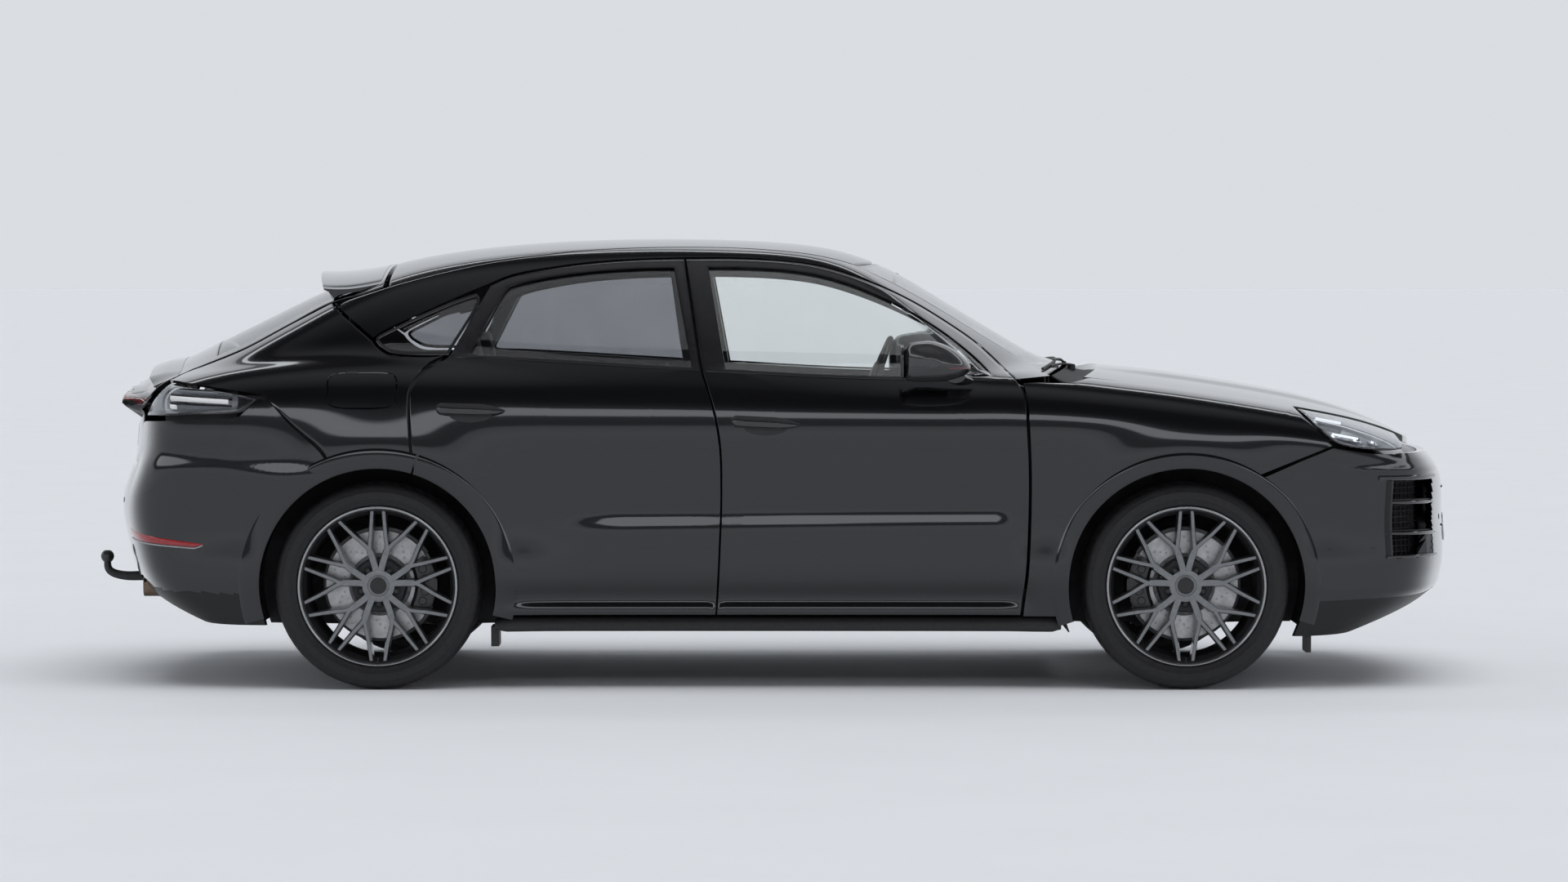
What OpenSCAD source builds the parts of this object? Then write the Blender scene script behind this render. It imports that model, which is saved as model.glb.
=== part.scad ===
// Five-door coupe sport utility vehicle, +X forward, +Y left, +Z up, standing on its tyres at Z = 0.

/* [Chassis] */
// Distance between the axles
wheelbase = 2895; // [2890:1:2900]
// Outer radius of the tyres
tyre_r = 371; // [368:1:373]
// Width of the tyres
tyre_w = 285; // [275:1:290]
// Middle plane of the tyres from the centre of the car
half_track = 826; // [820:1:830]
// Radius of the wheel arch openings
arch_r = 428; // [425:1:432]
// Diameter of the tow ball
ball_d = 50; // [50:1:50]

/* [Body] */
// Gap between neighbouring panels
panel_gap = 6; // [6:0.5:8]
// Thickness of the door panels
door_t = 110; // [90:5:120]
// Thickness of the window frames
frame_t = 44; // [36:2:50]
// Wall of the outer panels
wall = 22; // [18:1:26]
// Thickness of the glass
glass_t = 5; // [4:0.5:6]

/* [Hidden] */
$fn = 64;
shift = 48;
wb2 = wheelbase / 2;
wz = tyre_r;
g2 = panel_gap / 2;

// ---- smooth curves through hand-chosen heights and widths at even stations
function quasi(c) = [for (i = [0:len(c) - 1]) (i == 0 || i == len(c) - 1) ? c[i] : c[i] - (c[i - 1] - 2 * c[i] + c[i + 1]) / 6];
function bsp(d, u) = let (i = max(1, min(len(d) - 3, floor(u))), t = max(0, min(1, u - i)), s = 1 - t)
  (s * s * s * d[i - 1] + (3 * t * t * t - 6 * t * t + 4) * d[i] + (3 * s * s * s - 6 * s * s + 4) * d[i + 1] + t * t * t * d[i + 2]) / 6;
function smax(a, b, k) = let (h = max(k - abs(a - b), 0) / k) max(a, b) + h * h * h * k / 6;
function smin(a, b, k) = -smax(-a, -b, k);

// roof and screens on the centre line, X -2600 to 1600
ROOF = quasi([985, 1085, 1188, 1288, 1386, 1476, 1537, 1573, 1596, 1610, 1617, 1619, 1615, 1605, 1578, 1508, 1391, 1272, 1154, 1036, 918, 800]);
// hood and shoulder deck on the centre line, X -2600 to 2800
DECK = quasi([1020, 1100, 1150, 1195, 1225, 1245, 1250, 1243, 1233, 1223, 1214, 1206, 1198, 1191, 1186, 1182, 1180, 1180, 1168, 1147, 1124, 1095, 1061, 1017, 950, 838, 660, 450]);
// half width of the body side, X -2800 to 2800
PLAN = quasi([830, 893, 945, 974, 966, 954, 950, 950, 953, 960, 970, 974, 945, 880, 790]);
// section of the body side, Z 0 to 1400
PROF = quasi([-80, -62, -46, -28, 0, -8, -15, -7, 0, 0, -14, -46, -110, -200, -300]);
// nose line, Z 0 to 1200
NOSE = quasi([1800, 1950, 2190, 2395, 2462, 2470, 2464, 2466, 2472, 2478, 2480, 2480, 2480]);
// tail line, Z 0 to 1400
TAIL = quasi([-1750, -1900, -2120, -2320, -2404, -2432, -2455, -2452, -2412, -2398, -2392, -2378, -2350, -2330, -2300]);
// half width of the cabin at the belt, X -2800 to 2000
BELT = quasi([520, 640, 745, 818, 854, 868, 872, 868, 856, 830, 784, 726, 660]);

function gauss(t) = exp(-t * t);
function flare(x, z) = 15 * gauss((norm([x - wb2, z - wz]) - 455) / 105) + 17 * gauss((norm([x + wb2, z - wz]) - 460) / 120);
function lower(x, y, z) = smax(smax(smax(
    y - bsp(PLAN, (x + 2800) / 400) - bsp(PROF, z / 100) - flare(x, z),
    x - bsp(NOSE, z / 100) + 0.00022 * y * y, 260),
    bsp(TAIL, z / 100) + 0.00018 * y * y - x, 220),
    z - bsp(DECK, (x + 2600) / 200) + 0.00008 * y * y, 170);
function green(x, y, z) = let (dz = z - 1130, xs = x * (1 + (x > 0 ? 0.0000004 : 0.00000014) * y * y))
  max(1000 - z, -2400 - x, x - 1400, smax(y - bsp(BELT, (x + 2800) / 400) + 0.42 * dz + (dz > 0 ? 0.0004 : 0.003) * dz * dz,
    z - bsp(ROOF, (xs + 2600) / 200) + 0.00012 * y * y, 110));
function skinf(p) = let (y = abs(p[1])) smin(lower(p[0], y, p[2]), green(p[0], y, p[2]), 60);

// the skin on a line from p along d, inside at 0 and outside at tm
function hit(p, d, tm) = hit2(p, d, 0, skinf(p), tm, skinf(p + d * tm), 24);
function hit2(p, d, a, fa, b, fb, n) = let (c = (a * fb - b * fa) / (fb - fa), fc = skinf(p + d * c))
  (n == 0 || abs(fc) < 0.01) ? c : fc * fb < 0 ? hit2(p, d, b, fb, c, fc, n - 1) : hit2(p, d, a, fa / 2, c, fc, n - 1);
function sy(x, z) = hit([x, 0, z], [0, 1, 0], 1300);
function tz(x, y) = 620 + hit([x, y, 620], [0, 0, 1], 1300);

// which way the skin faces, and a point set back into the car: level on the flanks, straight down on top
function facing(p) = let (g = [skinf(p + [1, 0, 0]) - skinf(p - [1, 0, 0]), skinf(p + [0, 1, 0]) - skinf(p - [0, 1, 0]), skinf(p + [0, 0, 1]) - skinf(p - [0, 0, 1])]) g / norm(g);
function tuck(p, t) = let (n = facing(p), s = max(0, min(1, (n[2] - 0.3) / 0.4))) p - t * [0, 1 - s, s];

// ---- outlines
function dist(l) = [for (i = 0, s = 0; i < len(l); s = s + (i + 1 < len(l) ? norm(l[i + 1] - l[i]) : 0), i = i + 1) s];
function at(l, q, s, i = 0) = (i >= len(l) - 2 || s <= q[i + 1]) ? l[i] + (l[i + 1] - l[i]) * (s - q[i]) / (q[i + 1] - q[i]) : at(l, q, s, i + 1);
// n even steps along a line, without its last point
function seg(l, n) = let (q = dist(l), e = q[len(q) - 1]) [for (i = [0:n - 1]) at(l, q, e * i / n)];
function rev(l) = [for (i = [len(l) - 1:-1:0]) l[i]];
function join(a) = [for (l = a) for (p = l) p];
function inset(l, d) = let (n = len(l)) [for (k = [0:n - 1]) let (
    a = l[k] - l[(k + n - 1) % n], b = l[(k + 1) % n] - l[k],
    u = [-a[1], a[0]] / norm(a), v = [-b[1], b[0]] / norm(b), w = u + v, c = max(0.5, w * w / 4))
    l[k] + w / 2 * d / c];
function lerp(a, b, t) = a + (b - a) * t;
function tri(a, b, c, d) = [[a, b, c], [a, c, d]];

// a closed ring of panel: O and I are lists of loops from the rim to the hole
module ring(O, I) {
  K = len(O[0]); M = len(O) - 1; N = K * (M + 1);
  P = concat(join(O), join(I));
  function o(k, m) = m * K + k % K;
  polyhedron(P, join(concat(
    [for (m = [0:M - 1], k = [0:K - 1]) tri(o(k, m), o(k + 1, m), o(k + 1, m + 1), o(k, m + 1))],
    [for (m = [0:M - 1], k = [0:K - 1]) tri(N + o(k, m), N + o(k, m + 1), N + o(k + 1, m + 1), N + o(k + 1, m))],
    [for (k = [0:K - 1]) tri(o(k + 1, 0), o(k, 0), N + o(k, 0), N + o(k + 1, 0))],
    [for (k = [0:K - 1]) tri(o(k, M), o(k + 1, M), N + o(k + 1, M), N + o(k, M))])), convexity = 8);
}
// a plain sheet of panel: O and I are rows of points, H are blocks of cells left open [u0, u1, v0, v1]
module sheet(O, I, H = []) {
  U = len(O[0]) - 1; V = len(O) - 1; N = (U + 1) * (V + 1);
  P = concat(join(O), join(I));
  function o(u, v) = v * (U + 1) + u;
  function open(u, v) = u < 0 || v < 0 || u >= U || v >= V || len([for (h = H) if (u >= h[0] && u < h[1] && v >= h[2] && v < h[3]) 1]) > 0;
  polyhedron(P, join([for (v = [0:V - 1], u = [0:U - 1]) if (!open(u, v)) join([
    tri(o(u, v), o(u + 1, v), o(u + 1, v + 1), o(u, v + 1)),
    tri(N + o(u, v), N + o(u, v + 1), N + o(u + 1, v + 1), N + o(u + 1, v)),
    open(u, v - 1) ? tri(o(u + 1, v), o(u, v), N + o(u, v), N + o(u + 1, v)) : [],
    open(u, v + 1) ? tri(o(u, v + 1), o(u + 1, v + 1), N + o(u + 1, v + 1), N + o(u, v + 1)) : [],
    open(u - 1, v) ? tri(o(u, v), o(u, v + 1), N + o(u, v + 1), N + o(u, v)) : [],
    open(u + 1, v) ? tri(o(u + 1, v + 1), o(u + 1, v), N + o(u + 1, v), N + o(u + 1, v + 1)) : []])]), convexity = 8);
}
function rows(A, B, M, e = 1) = [for (m = [0:M]) let (t = 1 - pow(1 - m / M, e)) [for (k = [0:len(A) - 1]) lerp(A[k], B[k], t)]];
function side(r, t) = [for (l = r) [for (p = l) [p[0], sy(p[0], p[1]) - t, p[1]]]];
module both() { children(); mirror([0, 1, 0]) children(); }

// side view lines (X, Z)
b_line = [[-236, 262], [-224, 480], [-217, 715], [-224, 890], [-250, 1020], [-284, 1125], [-353, 1545]];
b_low = [[-236, 262], [-224, 480], [-217, 715], [-224, 890], [-250, 1020], [-284, 1125]];
b_up = [[-284, 1125], [-319, 1335], [-353, 1545]];
fd_line = [[857, 262], [878, 451], [886, 715], [880, 920], [868, 1060], [842, 1108]];
f_top = [[842, 1108], [800, 1152], [711, 1236], [593, 1318], [476, 1388], [359, 1444], [242, 1488], [125, 1520], [7, 1536], [-168, 1545], [-353, 1545]];
r_top = [[-353, 1545], [-520, 1541], [-696, 1529], [-871, 1505], [-990, 1478], [-1060, 1448]];
r_shut = [[-1060, 1448], [-1120, 1340], [-1205, 1190], [-1250, 1165], [-1300, 1120], [-1330, 1070], [-1334, 1008], [-1330, 930], [-1318, 783]];
function arc(cx, r, a0, a1, n) = [for (i = [0:n]) let (a = lerp(a0, a1, i / n)) [cx + r * cos(a), wz + r * sin(a)]];
r_arch = arc(-wb2, arch_r + 4, 72.56, -14.6, 12);
// front door: bottom, front edge, top, rear edge
fd_loop = join([seg([[-236, 262], [857, 262]], 6), seg(fd_line, 8), seg(f_top, 14), seg(rev(b_up), 3), seg(rev(b_low), 6)]);
fw_loop = join([seg([[0, 1134], [300, 1121], [600, 1117]], 6), seg([[600, 1117], [735, 1118], [752, 1122], [754, 1132], [738, 1153]], 8),
  seg([[738, 1153], [690, 1200], [580, 1286], [470, 1354], [354, 1411], [240, 1456], [124, 1488], [7, 1505], [-168, 1514], [-270, 1514]], 14), seg([[-270, 1514], [-205, 1146]], 3), seg([[-205, 1146], [-100, 1140], [0, 1134]], 6)]);
// rear door: bottom, front edge, top, shut line and arch
rd_loop = join([seg([[-1029.4, 262], [-236, 262]], 5), seg(b_low, 6), seg(b_up, 3), seg(r_top, 8), seg(r_shut, 12), seg(r_arch, 9)]);
rw_loop = join([seg([[-800, 1180], [-520, 1163]], 5), seg([[-520, 1163], [-322, 1151]], 6), seg([[-322, 1151], [-390, 1512]], 3),
  seg([[-390, 1512], [-520, 1510], [-690, 1498], [-860, 1475], [-985, 1446]], 8), seg([[-985, 1446], [-1010, 1415], [-1110, 1232], [-1125, 1205]], 5), seg([[-1125, 1205], [-1120, 1198], [-1000, 1191]], 7), seg([[-1000, 1191], [-800, 1180]], 9)]);

// thickness of a door at a height
function dt(z) = lerp(door_t, frame_t, max(0, min(1, (z - 1075) / 60)));
module door(L, W) {
  A = inset(L, g2); M = 6;
  R = rows(A, W, M);
  S = rows(inset(L, 16), inset(W, -6), M);
  ring(side(R, 0), [for (l = S) [for (p = l) [p[0], sy(p[0], p[1]) - dt(p[1]), p[1]]]]);
}
// a pane in a loop
module pane(W, d, tucked = false) {
  A = inset(W, 3); c = [for (k = [0:len(A) - 1]) 1] * A / len(A);
  O = rows(A, [for (p = A) c + (p - c) * 0.04], 4);
  // the pane stands back from the panel by d
  m = side([[c]], d)[0][0];
  P = concat(join(side(O, d)), tucked ? [for (p = join(side(O, d))) tuck(p, glass_t)] : join(side(O, d + glass_t)), [m, tucked ? tuck(m, glass_t) : m - [0, glass_t, 0]]);
  K = len(A); N = 5 * K;
  function o(k, m) = m * K + k % K;
  polyhedron(P, join(concat(
    [for (m = [0:3], k = [0:K - 1]) tri(o(k, m), o(k + 1, m), o(k + 1, m + 1), o(k, m + 1))],
    [for (m = [0:3], k = [0:K - 1]) tri(N + o(k, m), N + o(k, m + 1), N + o(k + 1, m + 1), N + o(k + 1, m))],
    [for (k = [0:K - 1]) tri(o(k + 1, 0), o(k, 0), N + o(k, 0), N + o(k + 1, 0))],
    [for (k = [0:K - 1]) [[2 * N, o(k, 4), o(k + 1, 4)]]],
    [for (k = [0:K - 1]) [[2 * N + 1, N + o(k + 1, 4), N + o(k, 4)]]])), convexity = 6);
}

// ---- hood gap, across the car at each X
function hy(x) = x < 1700 ? 742 - 20 * pow(max(0, x - 1150) / 550, 2) : 722 - 0.00076 * pow(x - 1700, 2) - 0.03 * (x - 1700);
hood_back = 1178; hood_front = 2340;
function hood_x(u, v) = lerp(hood_back - 90 * v * v, hood_front - 60 * v * v, u);
module hood_skin(d, t) {
  R = [for (i = [0:12]) [for (j = [-6:6]) let (v = -j / 6, x = hood_x(i / 12, v), y = v * (hy(hood_x(i / 12, 1)) - g2)) [x, y, tz(x, y)]]];
  sheet(R, [for (l = R) [for (p = l) p - [0, 0, t]]]);
}
// fender: arch to door line, hood gap and lamp
function gapline(x) = [x, tz(x, hy(x) + g2)];
fen_out = concat(seg([[863, 262], [884, 451], [892, 715], [886, 920], [876, 1050], [866, 1096]], 7), [[866, 1096], [915, 1098], [975, 1096], [1040, 1098]],
  [for (x = [1110, 1250, 1380, 1510, 1640, 1760]) gapline(x)], seg([gapline(1848), [1850, 1003], [1900, 945], [1974, 876]], 4), [[1974, 876]]);
fen_in = let (n = len(fen_out) - 1) [for (i = [0:n]) let (a = lerp(194.6, 62, i / n)) [wb2 + arch_r * cos(a), wz + arch_r * sin(a)]];
module fender() {
  R = rows(fen_in, fen_out, 7, 2);
  O = [for (l = side(R, 0)) rev(l)];
  sheet(O, [for (l = O) [for (p = l) tuck(p, wall)]]);
}
// headlight between fender, hood and bumper
lamp_top = concat([for (x = [1866, 1924, 1992, 2060, 2120, 2180, 2236]) let (p = [x, tz(x, hy(x) + g2)]) p]);
lamp_bot = [[1866, 1002], [1915, 952], [1984, 888], [2050, 868], [2120, 862], [2180, 860], [2236, 866]];
module headlight() {
  R = rows([for (p = lamp_bot) p], [for (p = lamp_top) p - [0, 4]], 4, 2);
  O = side(R, 0);
  sheet(O, [for (l = O) [for (p = l) tuck(p, 14)]]);
}
// four-sided patch between bottom, top, start and end lines
function coons(B, T, L, R) = let (U = len(B) - 1, V = len(L) - 1) [for (j = [0:V]) [for (i = [0:U]) let (u = i / U, v = j / V)
  (1 - v) * B[i] + v * T[i] + (1 - u) * L[j] + u * R[j] - ((1 - u) * (1 - v) * B[0] + u * (1 - v) * B[U] + (1 - u) * v * T[0] + u * v * T[U])]];
function full(l, n) = concat(seg(l, n), [l[len(l) - 1]]);
function mir(l) = concat([for (p = rev(l)) [-p[0], p[1]]], [for (i = [1:len(l) - 1]) l[i]]);
// round the ends of the car: (angle, Z) about an upright line at x0, towards s
function about(x0, s, p, t) = let (d = [s * cos(p[0]), sin(p[0]), 0], r = hit([x0, 0, p[1]], d, 1600)) [x0, 0, p[1]] + d * (r - t);
function ang(x0, s, x, z) = [atan2(sy(x, z), s * (x - x0)), z];
function archx(c, s, z) = c + s * sqrt(max(0, arch_r * arch_r - (z - wz) * (z - wz)));
module bumper(x0, s, edge, top, zb, H, t) {
  R = [for (q = edge) ang(x0, s, q[0], q[1])];
  T = concat([for (q = top) q], [[0, top[len(top) - 1][1]]]);
  half = s > 0 ? full(T, 14) : T;
  Tt = concat([for (p = half) [-p[0], p[1]]], [for (i = [len(half) - 2:-1:0]) half[i]]);
  n = len(Tt) - 1;
  B = [for (i = [0:n]) [lerp(-R[0][0], R[0][0], i / n), zb]];
  Rr = full(R, 10);
  G = coons(B, Tt, [for (p = Rr) [-p[0], p[1]]], Rr);
  f = s < 0 ? 0 : 1;
  O = [for (l = G) let (k = f == 1 ? rev(l) : l) [for (p = k) about(x0, s, p, 0)]];
  I = [for (l = G) let (k = f == 1 ? rev(l) : l) [for (p = k) about(x0, s, p, t)]];
  sheet(O, I, H);
}
fb_edge = [for (z = [190, 260, 330, 400, 500, 600, 680, 742]) [archx(wb2, 1, z), z]];
fb_top = concat([for (q = [[1662, 742], [1740, 768], [1850, 815], [1974, 866], [2050, 858], [2120, 848], [2180, 845], [2240, 850]]) ang(1700, 1, q[0], q[1])], [[30, 846], [20, 848], [10, 850]]);
rb_edge = [for (z = [230, 300, 372, 450, 550, 650, 720, 766]) [archx(-wb2, -1, z), z]];
rb_top = concat([for (q = [[-1610, 766], [-1648, 838], [-1755, 935], [-1866, 1034], [-1950, 978], [-2100, 972], [-2225, 966]]) ang(-1700, -1, q[0], q[1])], [[47.6, 958], [46.8, 900], [45.4, 830], [43, 794], [36, 787], [27, 786], [18, 786], [9, 786]]);

// roof edge, windshield and roof
rail_up = [[966, 1123], [892, 1167], [774, 1238], [656, 1311], [538, 1382], [420, 1447], [302, 1503], [243, 1528], [125, 1556], [7, 1571], [-170, 1583], [-347, 1586], [-524, 1583], [-700, 1574], [-878, 1556], [-1055, 1532], [-1217, 1498], [-1400, 1450], [-1541, 1407], [-1627, 1384]];
rail_low = concat(f_top, [for (i = [1:len(r_top) - 1]) r_top[i]], [[-1165, 1404], [-1330, 1330], [-1428, 1286], [-1474, 1260]]);
function ry(x) = sy(x, lookup(x, rail_up));
module rail() {
  A = full([for (p = rail_low) p + [0, g2]], 30); B = full([for (p = rail_up) p - [0, g2 / 2]], 30);
  R = rows(rev(A), rev(B), 3);
  O = side(R, 0);
  // level at the doors, straight down at the roof
  sheet(O, [for (m = [0:3]) [for (p = O[m]) p - [0, 40 * (1 - m / 3), 26 * m / 3]]]);
}
module across(c0, e0, c1, e1, n, t, d = 0) {
  R = [for (i = [0:n]) let (u = i / n, xe = lerp(e0, e1, u), ye = ry(xe) - g2, xc = lerp(c0, c1, u)) [for (j = [6:-1:-6]) let (v = j / 6, x = xc - (xc - xe) * v * v, y = v * ye) [x, y, tz(x, y) - d]]];
  sheet([for (l = R) rev(l)], [for (l = R) rev([for (p = l) p - [0, 0, t]])]);
}

// rear quarter panel with the filler opening
tg_side = [[-1640, 1386], [-1800, 1302], [-1956, 1218], [-2100, 1160], [-2175, 1132], [-2225, 1103]];
q_loop = join([seg([[-1318, 780], [-1330, 930], [-1334, 1008], [-1330, 1070], [-1303, 1124], [-1256, 1173], [-1214, 1198]], 12),
  seg([[-1214, 1198], [-1311, 1195], [-1414, 1202], [-1462, 1232], [-1476, 1250]], 6), seg([[-1476, 1250], [-1640, 1386]], 4), seg(tg_side, 7),
  seg([[-2225, 1103], [-2060, 1080], [-1862, 1050]], 4), seg([[-1862, 1050], [-1750, 945], [-1639, 848], [-1608, 772]], 4), seg(arc(-wb2, arch_r, 112, 72.6, 6), 3)]);
// filler flap: a rounded rectangle with one point towards each of the panel's
flap = [for (p = q_loop) let (d = [p[0] + 1503, p[1] - 1072] / norm([p[0] + 1503, p[1] - 1072])) [-1503, 1072] + d / pow(pow(abs(d[0]) / 124, 4.8) + pow(abs(d[1]) / 64, 4.8), 1 / 4.8)];
module quarter(hole) {
  A = inset(q_loop, g2 + 2); K = len(A);
  H = hole ? flap : [for (p = flap) [-1503, 1072] + (p - [-1503, 1072]) * 0.02];
  O = side(rows(A, H, 5), 0); I = side(rows(inset(q_loop, g2 + 9), H, 5), 0);
  ring(O, [for (l = I) [for (p = l) tuck(p, 14)]]);
}
qw_loop = join([seg([[-1206, 1206], [-1300, 1206], [-1405, 1214], [-1446, 1236]], 6), seg([[-1446, 1236], [-1456, 1252], [-1444, 1262]], 3), seg([[-1444, 1262], [-1318, 1324], [-1172, 1387], [-1110, 1408]], 8), seg([[-1110, 1408], [-1102, 1396], [-1206, 1206]], 6)]);

// tailgate: (Y, angle) about a cross line inside the car
function tgp(p, t) = let (d = [cos(p[1]), 0, sin(p[1])], r = hit([-1500, p[0], 800], d, 1300)) [-1500, p[0], 800] + d * (r - t);
function tga(x, z, m) = [sy(x, z) - m, atan2(z - 800, x + 1500)];
tg_rim = concat([for (q = seg(concat([[-1450, 1437], [-1520, 1414]], [for (i = [0:3]) tg_side[i]]), 10)) tga(q[0], q[1], 11)],
  full(concat([for (i = [3:5]) tga(tg_side[i][0], tg_side[i][1], 11)], [[676, 164], [630, 170], [618, 175], [585, 178.5], [540, 180]]), 8));
function rw_side(i) = [tg_rim[i][0] - 53, lerp(88.2, 146, (tg_rim[i][1] - tg_rim[0][1]) / (tg_rim[10][1] - tg_rim[0][1]))];
function rw_low(v) = [v * rw_side(10)[0], lerp(143.5, 146, v * v)];
n_rim = len(tg_rim) - 1;
function flip(p) = [-p[0], p[1]];
tg_loop = concat([for (i = [-5:4]) [i / 5 * tg_rim[0][0], tg_rim[0][1]]], [for (i = [0:n_rim - 1]) tg_rim[i]], [for (i = [5:-1:-4]) [i / 5 * 540, 180]], [for (i = [n_rim:-1:1]) flip(tg_rim[i])]);
rwin = concat([for (i = [-5:4]) [i / 5 * rw_side(0)[0], 88.2]], [for (i = [0:n_rim - 1]) i < 10 ? rw_side(i) : rw_low(1 - 0.5 * (i - 10) / 8)],
  [for (i = [5:-1:-4]) rw_low(i / 10)], [for (i = [n_rim:-1:1]) flip(i < 10 ? rw_side(i) : rw_low(1 - 0.5 * (i - 10) / 8))]);
module tailgate_ring() {
  R = rows(rev(tg_loop), rev(rwin), 5);
  O = [for (l = R) [for (p = l) tgp(p, 0)]];
  ring(O, [for (l = O) [for (p = l) p - 22 * facing(p)]]);
}
module rear_glass() {
  R = [for (i = [0:10]) [for (j = [6:-1:-6]) let (v = j / 6, e = rw_side(i), c = lerp(88.2, 143.5, i / 10)) [v * (e[0] - 5), lerp(c, e[1], v * v) + (i == 0 ? 0.5 : i == 10 ? -0.5 : 0)]]];
  sheet([for (l = R) [for (p = l) tgp(p, 3)]], [for (l = R) [for (p = l) tgp(p, 3 + glass_t)]]);
}

// ---- running gear
module tyre() {
  h = tyre_w / 2;
  rotate([90, 0, 0]) rotate_extrude($fn = 96) polygon([[284, -h + 22], [300, -h + 8], [325, -h], [tyre_r - 14, -h + 8], [tyre_r - 2, -h + 28],
    [tyre_r, -h + 60], [tyre_r, h - 60], [tyre_r - 2, h - 28], [tyre_r - 14, h - 8], [325, h], [300, h - 8], [284, h - 22], [271, h - 24], [271, h - 40], [271, -h + 40], [271, -h + 24]]);
}
// rim with spokes and brake disc, outer face towards +Y
module rim() {
  h = tyre_w / 2;
  rotate([-90, 0, 0]) {
    rotate_extrude($fn = 96) polygon([[252, -h + 30], [283, -h + 18], [283.5, -h + 21], [270.5, -h + 23], [270.5, h - 23], [283.5, h - 21], [283, h - 12], [276, h - 13], [262, h - 26], [258, h - 40], [256, 0], [254, -h + 40]]);
    // hub, hat and brake disc
    difference() {
      rotate_extrude($fn = 96) polygon([[0, 26], [112, 26], [112, -22], [193, -22], [193, 8], [118, 8], [118, 38], [92, 38], [92, 88], [0, 88]]);
      for (i = [0:4]) rotate(36 + 72 * i) translate([65, 0, 60]) cylinder(r = 9, h = 40, $fn = 24);
    }
    for (i = [0:9]) rotate(36 * i) translate([0, 0, 56]) linear_extrude(27) polygon([[84, -12], [84, 12], [264, 26], [264, -26]]);
  }
}
// wheel carrier and caliper, outer face towards +Y; c is the caliper side
module knuckle(c) {
  rotate([-90, 0, 0]) translate([0, 0, -96]) cylinder(r = 62, h = 62);
  translate([-40, -126, -150]) cube([80, 40, 300]);
  translate([c * 60 - 45, -112, -40]) cube([90, 30, 120]);
  translate([c * 118 - 20, -112, -35]) cube([40, 26, 90]);
  translate([c * 170 - 55, -112, -78]) cube([110, 78, 156]);
}
module at_wheel(x, y) translate([x, y, wz]) children();

// doors, glass and mirrors
module front_door_l() { door(fd_loop, fw_loop); }
module rear_door_l() { door(rd_loop, rw_loop); }
module mirror_l() {
  difference() {
    translate([575, 1000, 1168]) scale([1.3, 0.95, 0.86]) sphere(r = 100, $fn = 48);
    translate([350, 860, 1000]) cube([110, 320, 320]);
  }
  translate([590, 914, 1088]) cube([70, 60, 40]);
}
module right_front_door() color("dimgray") mirror([0, 1, 0]) front_door_l();
module left_front_door() color("dimgray") front_door_l();
module right_rear_door() color("dimgray") mirror([0, 1, 0]) rear_door_l();
module left_rear_door() color("dimgray") rear_door_l();
module right_front_window() color("lightblue") mirror([0, 1, 0]) pane(fw_loop, 14);
module left_front_window() color("lightblue") pane(fw_loop, 14);
module right_rear_window() color("darkslategray") mirror([0, 1, 0]) pane(rw_loop, 14);
module left_rear_window() color("darkslategray") pane(rw_loop, 14);
module right_mirror() color("black") mirror([0, 1, 0]) mirror_l();
module left_mirror() color("black") mirror_l();
module hood() color("dimgray") hood_skin(0, 20);
module tailgate() color("dimgray") tailgate_ring();
module rear_window() color("darkslategray") rear_glass();
module roof_spoiler() color("black") {
  R = [for (x = [-1462, -1520, -1590, -1660, -1716]) [for (j = [6:-1:-6]) let (v = j / 6, y = v * 560, u = (x + 1462) / -254) [x + 40 * v * v * u, y, tz(x, y) + lerp(6, 14, u) + 60 * u * u]]];
  sheet([for (l = R) l], [for (l = R) [for (p = l) p - [0, 0, lerp(3, 14, (p[0] + 1462) / -254)]]]);
}
module fuel_door() color("dimgray") mirror([0, 1, 0]) pane(flap, 0, true);

// fixed body
module floor_pan() color("dimgray") {
  translate([0, 0, 222]) linear_extrude(30) polygon([[-2060, -380], [-1900, -480], [-985, -480], [-985, -690], [960, -690], [1010, -600], [1010, 600], [960, 690], [-985, 690], [-985, 480], [-1900, 480], [-2060, 380]]);
  translate([0, 0, 222]) linear_extrude(14) polygon([[1625, -430], [2080, -430], [2080, 430], [1625, 430]]);
}
module firewall() color("dimgray") translate([962, 0, 0]) rotate([90, 0, 90]) linear_extrude(25) polygon([[-690, 253], [690, 253], [690, 900], [640, 1010], [-640, 1010], [-690, 900]]);
module engine_block() color("gray") translate([1230, -300, 300]) cube([640, 600, 600]);
module sills() color("black") both() {
  translate([-1022, 692, 204]) cube([2028, 208, 52]);
  translate([-1000, 692, 256]) cube([2000, 70, 90]);
}
module b_pillars() color("black") both() {
  zs = [352, 400, 600, 800, 1000, 1080, 1150, 1250, 1400, 1520];
  R = [for (z = zs) [for (d = [-62, 62]) [lookup(z, [for (p = b_line) [p[1], p[0]]]) + d, z]]];
  sheet([for (l = R) [for (p = l) [p[0], sy(p[0], p[1]) - dt(p[1]) - 34, p[1]]]], [for (l = R) [for (p = l) [p[0], sy(p[0], p[1]) - dt(p[1]) - 64, p[1]]]]);
}
module roof_rails() color("dimgray") both() rail();
module roof_panel() color("black") across(338, 258, -1428, -1428, 14, 24);
module windshield() color("lightblue") across(1048, 958, 348, 268, 10, 6, 2);
module rear_quarter_panels() color("dimgray") { quarter(false); mirror([0, 1, 0]) quarter(true); }
module rear_quarter_windows() color("darkslategray") both() pane(rev(qw_loop), 6);
module front_fenders() color("dimgray") both() fender();
module headlights() color("white") both() headlight();
module front_bumper() color("dimgray") bumper(1700, 1, fb_edge, fb_top, 190, [[11, 17, 3, 6], [18, 22, 4, 8], [6, 10, 4, 8]], 34);
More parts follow.
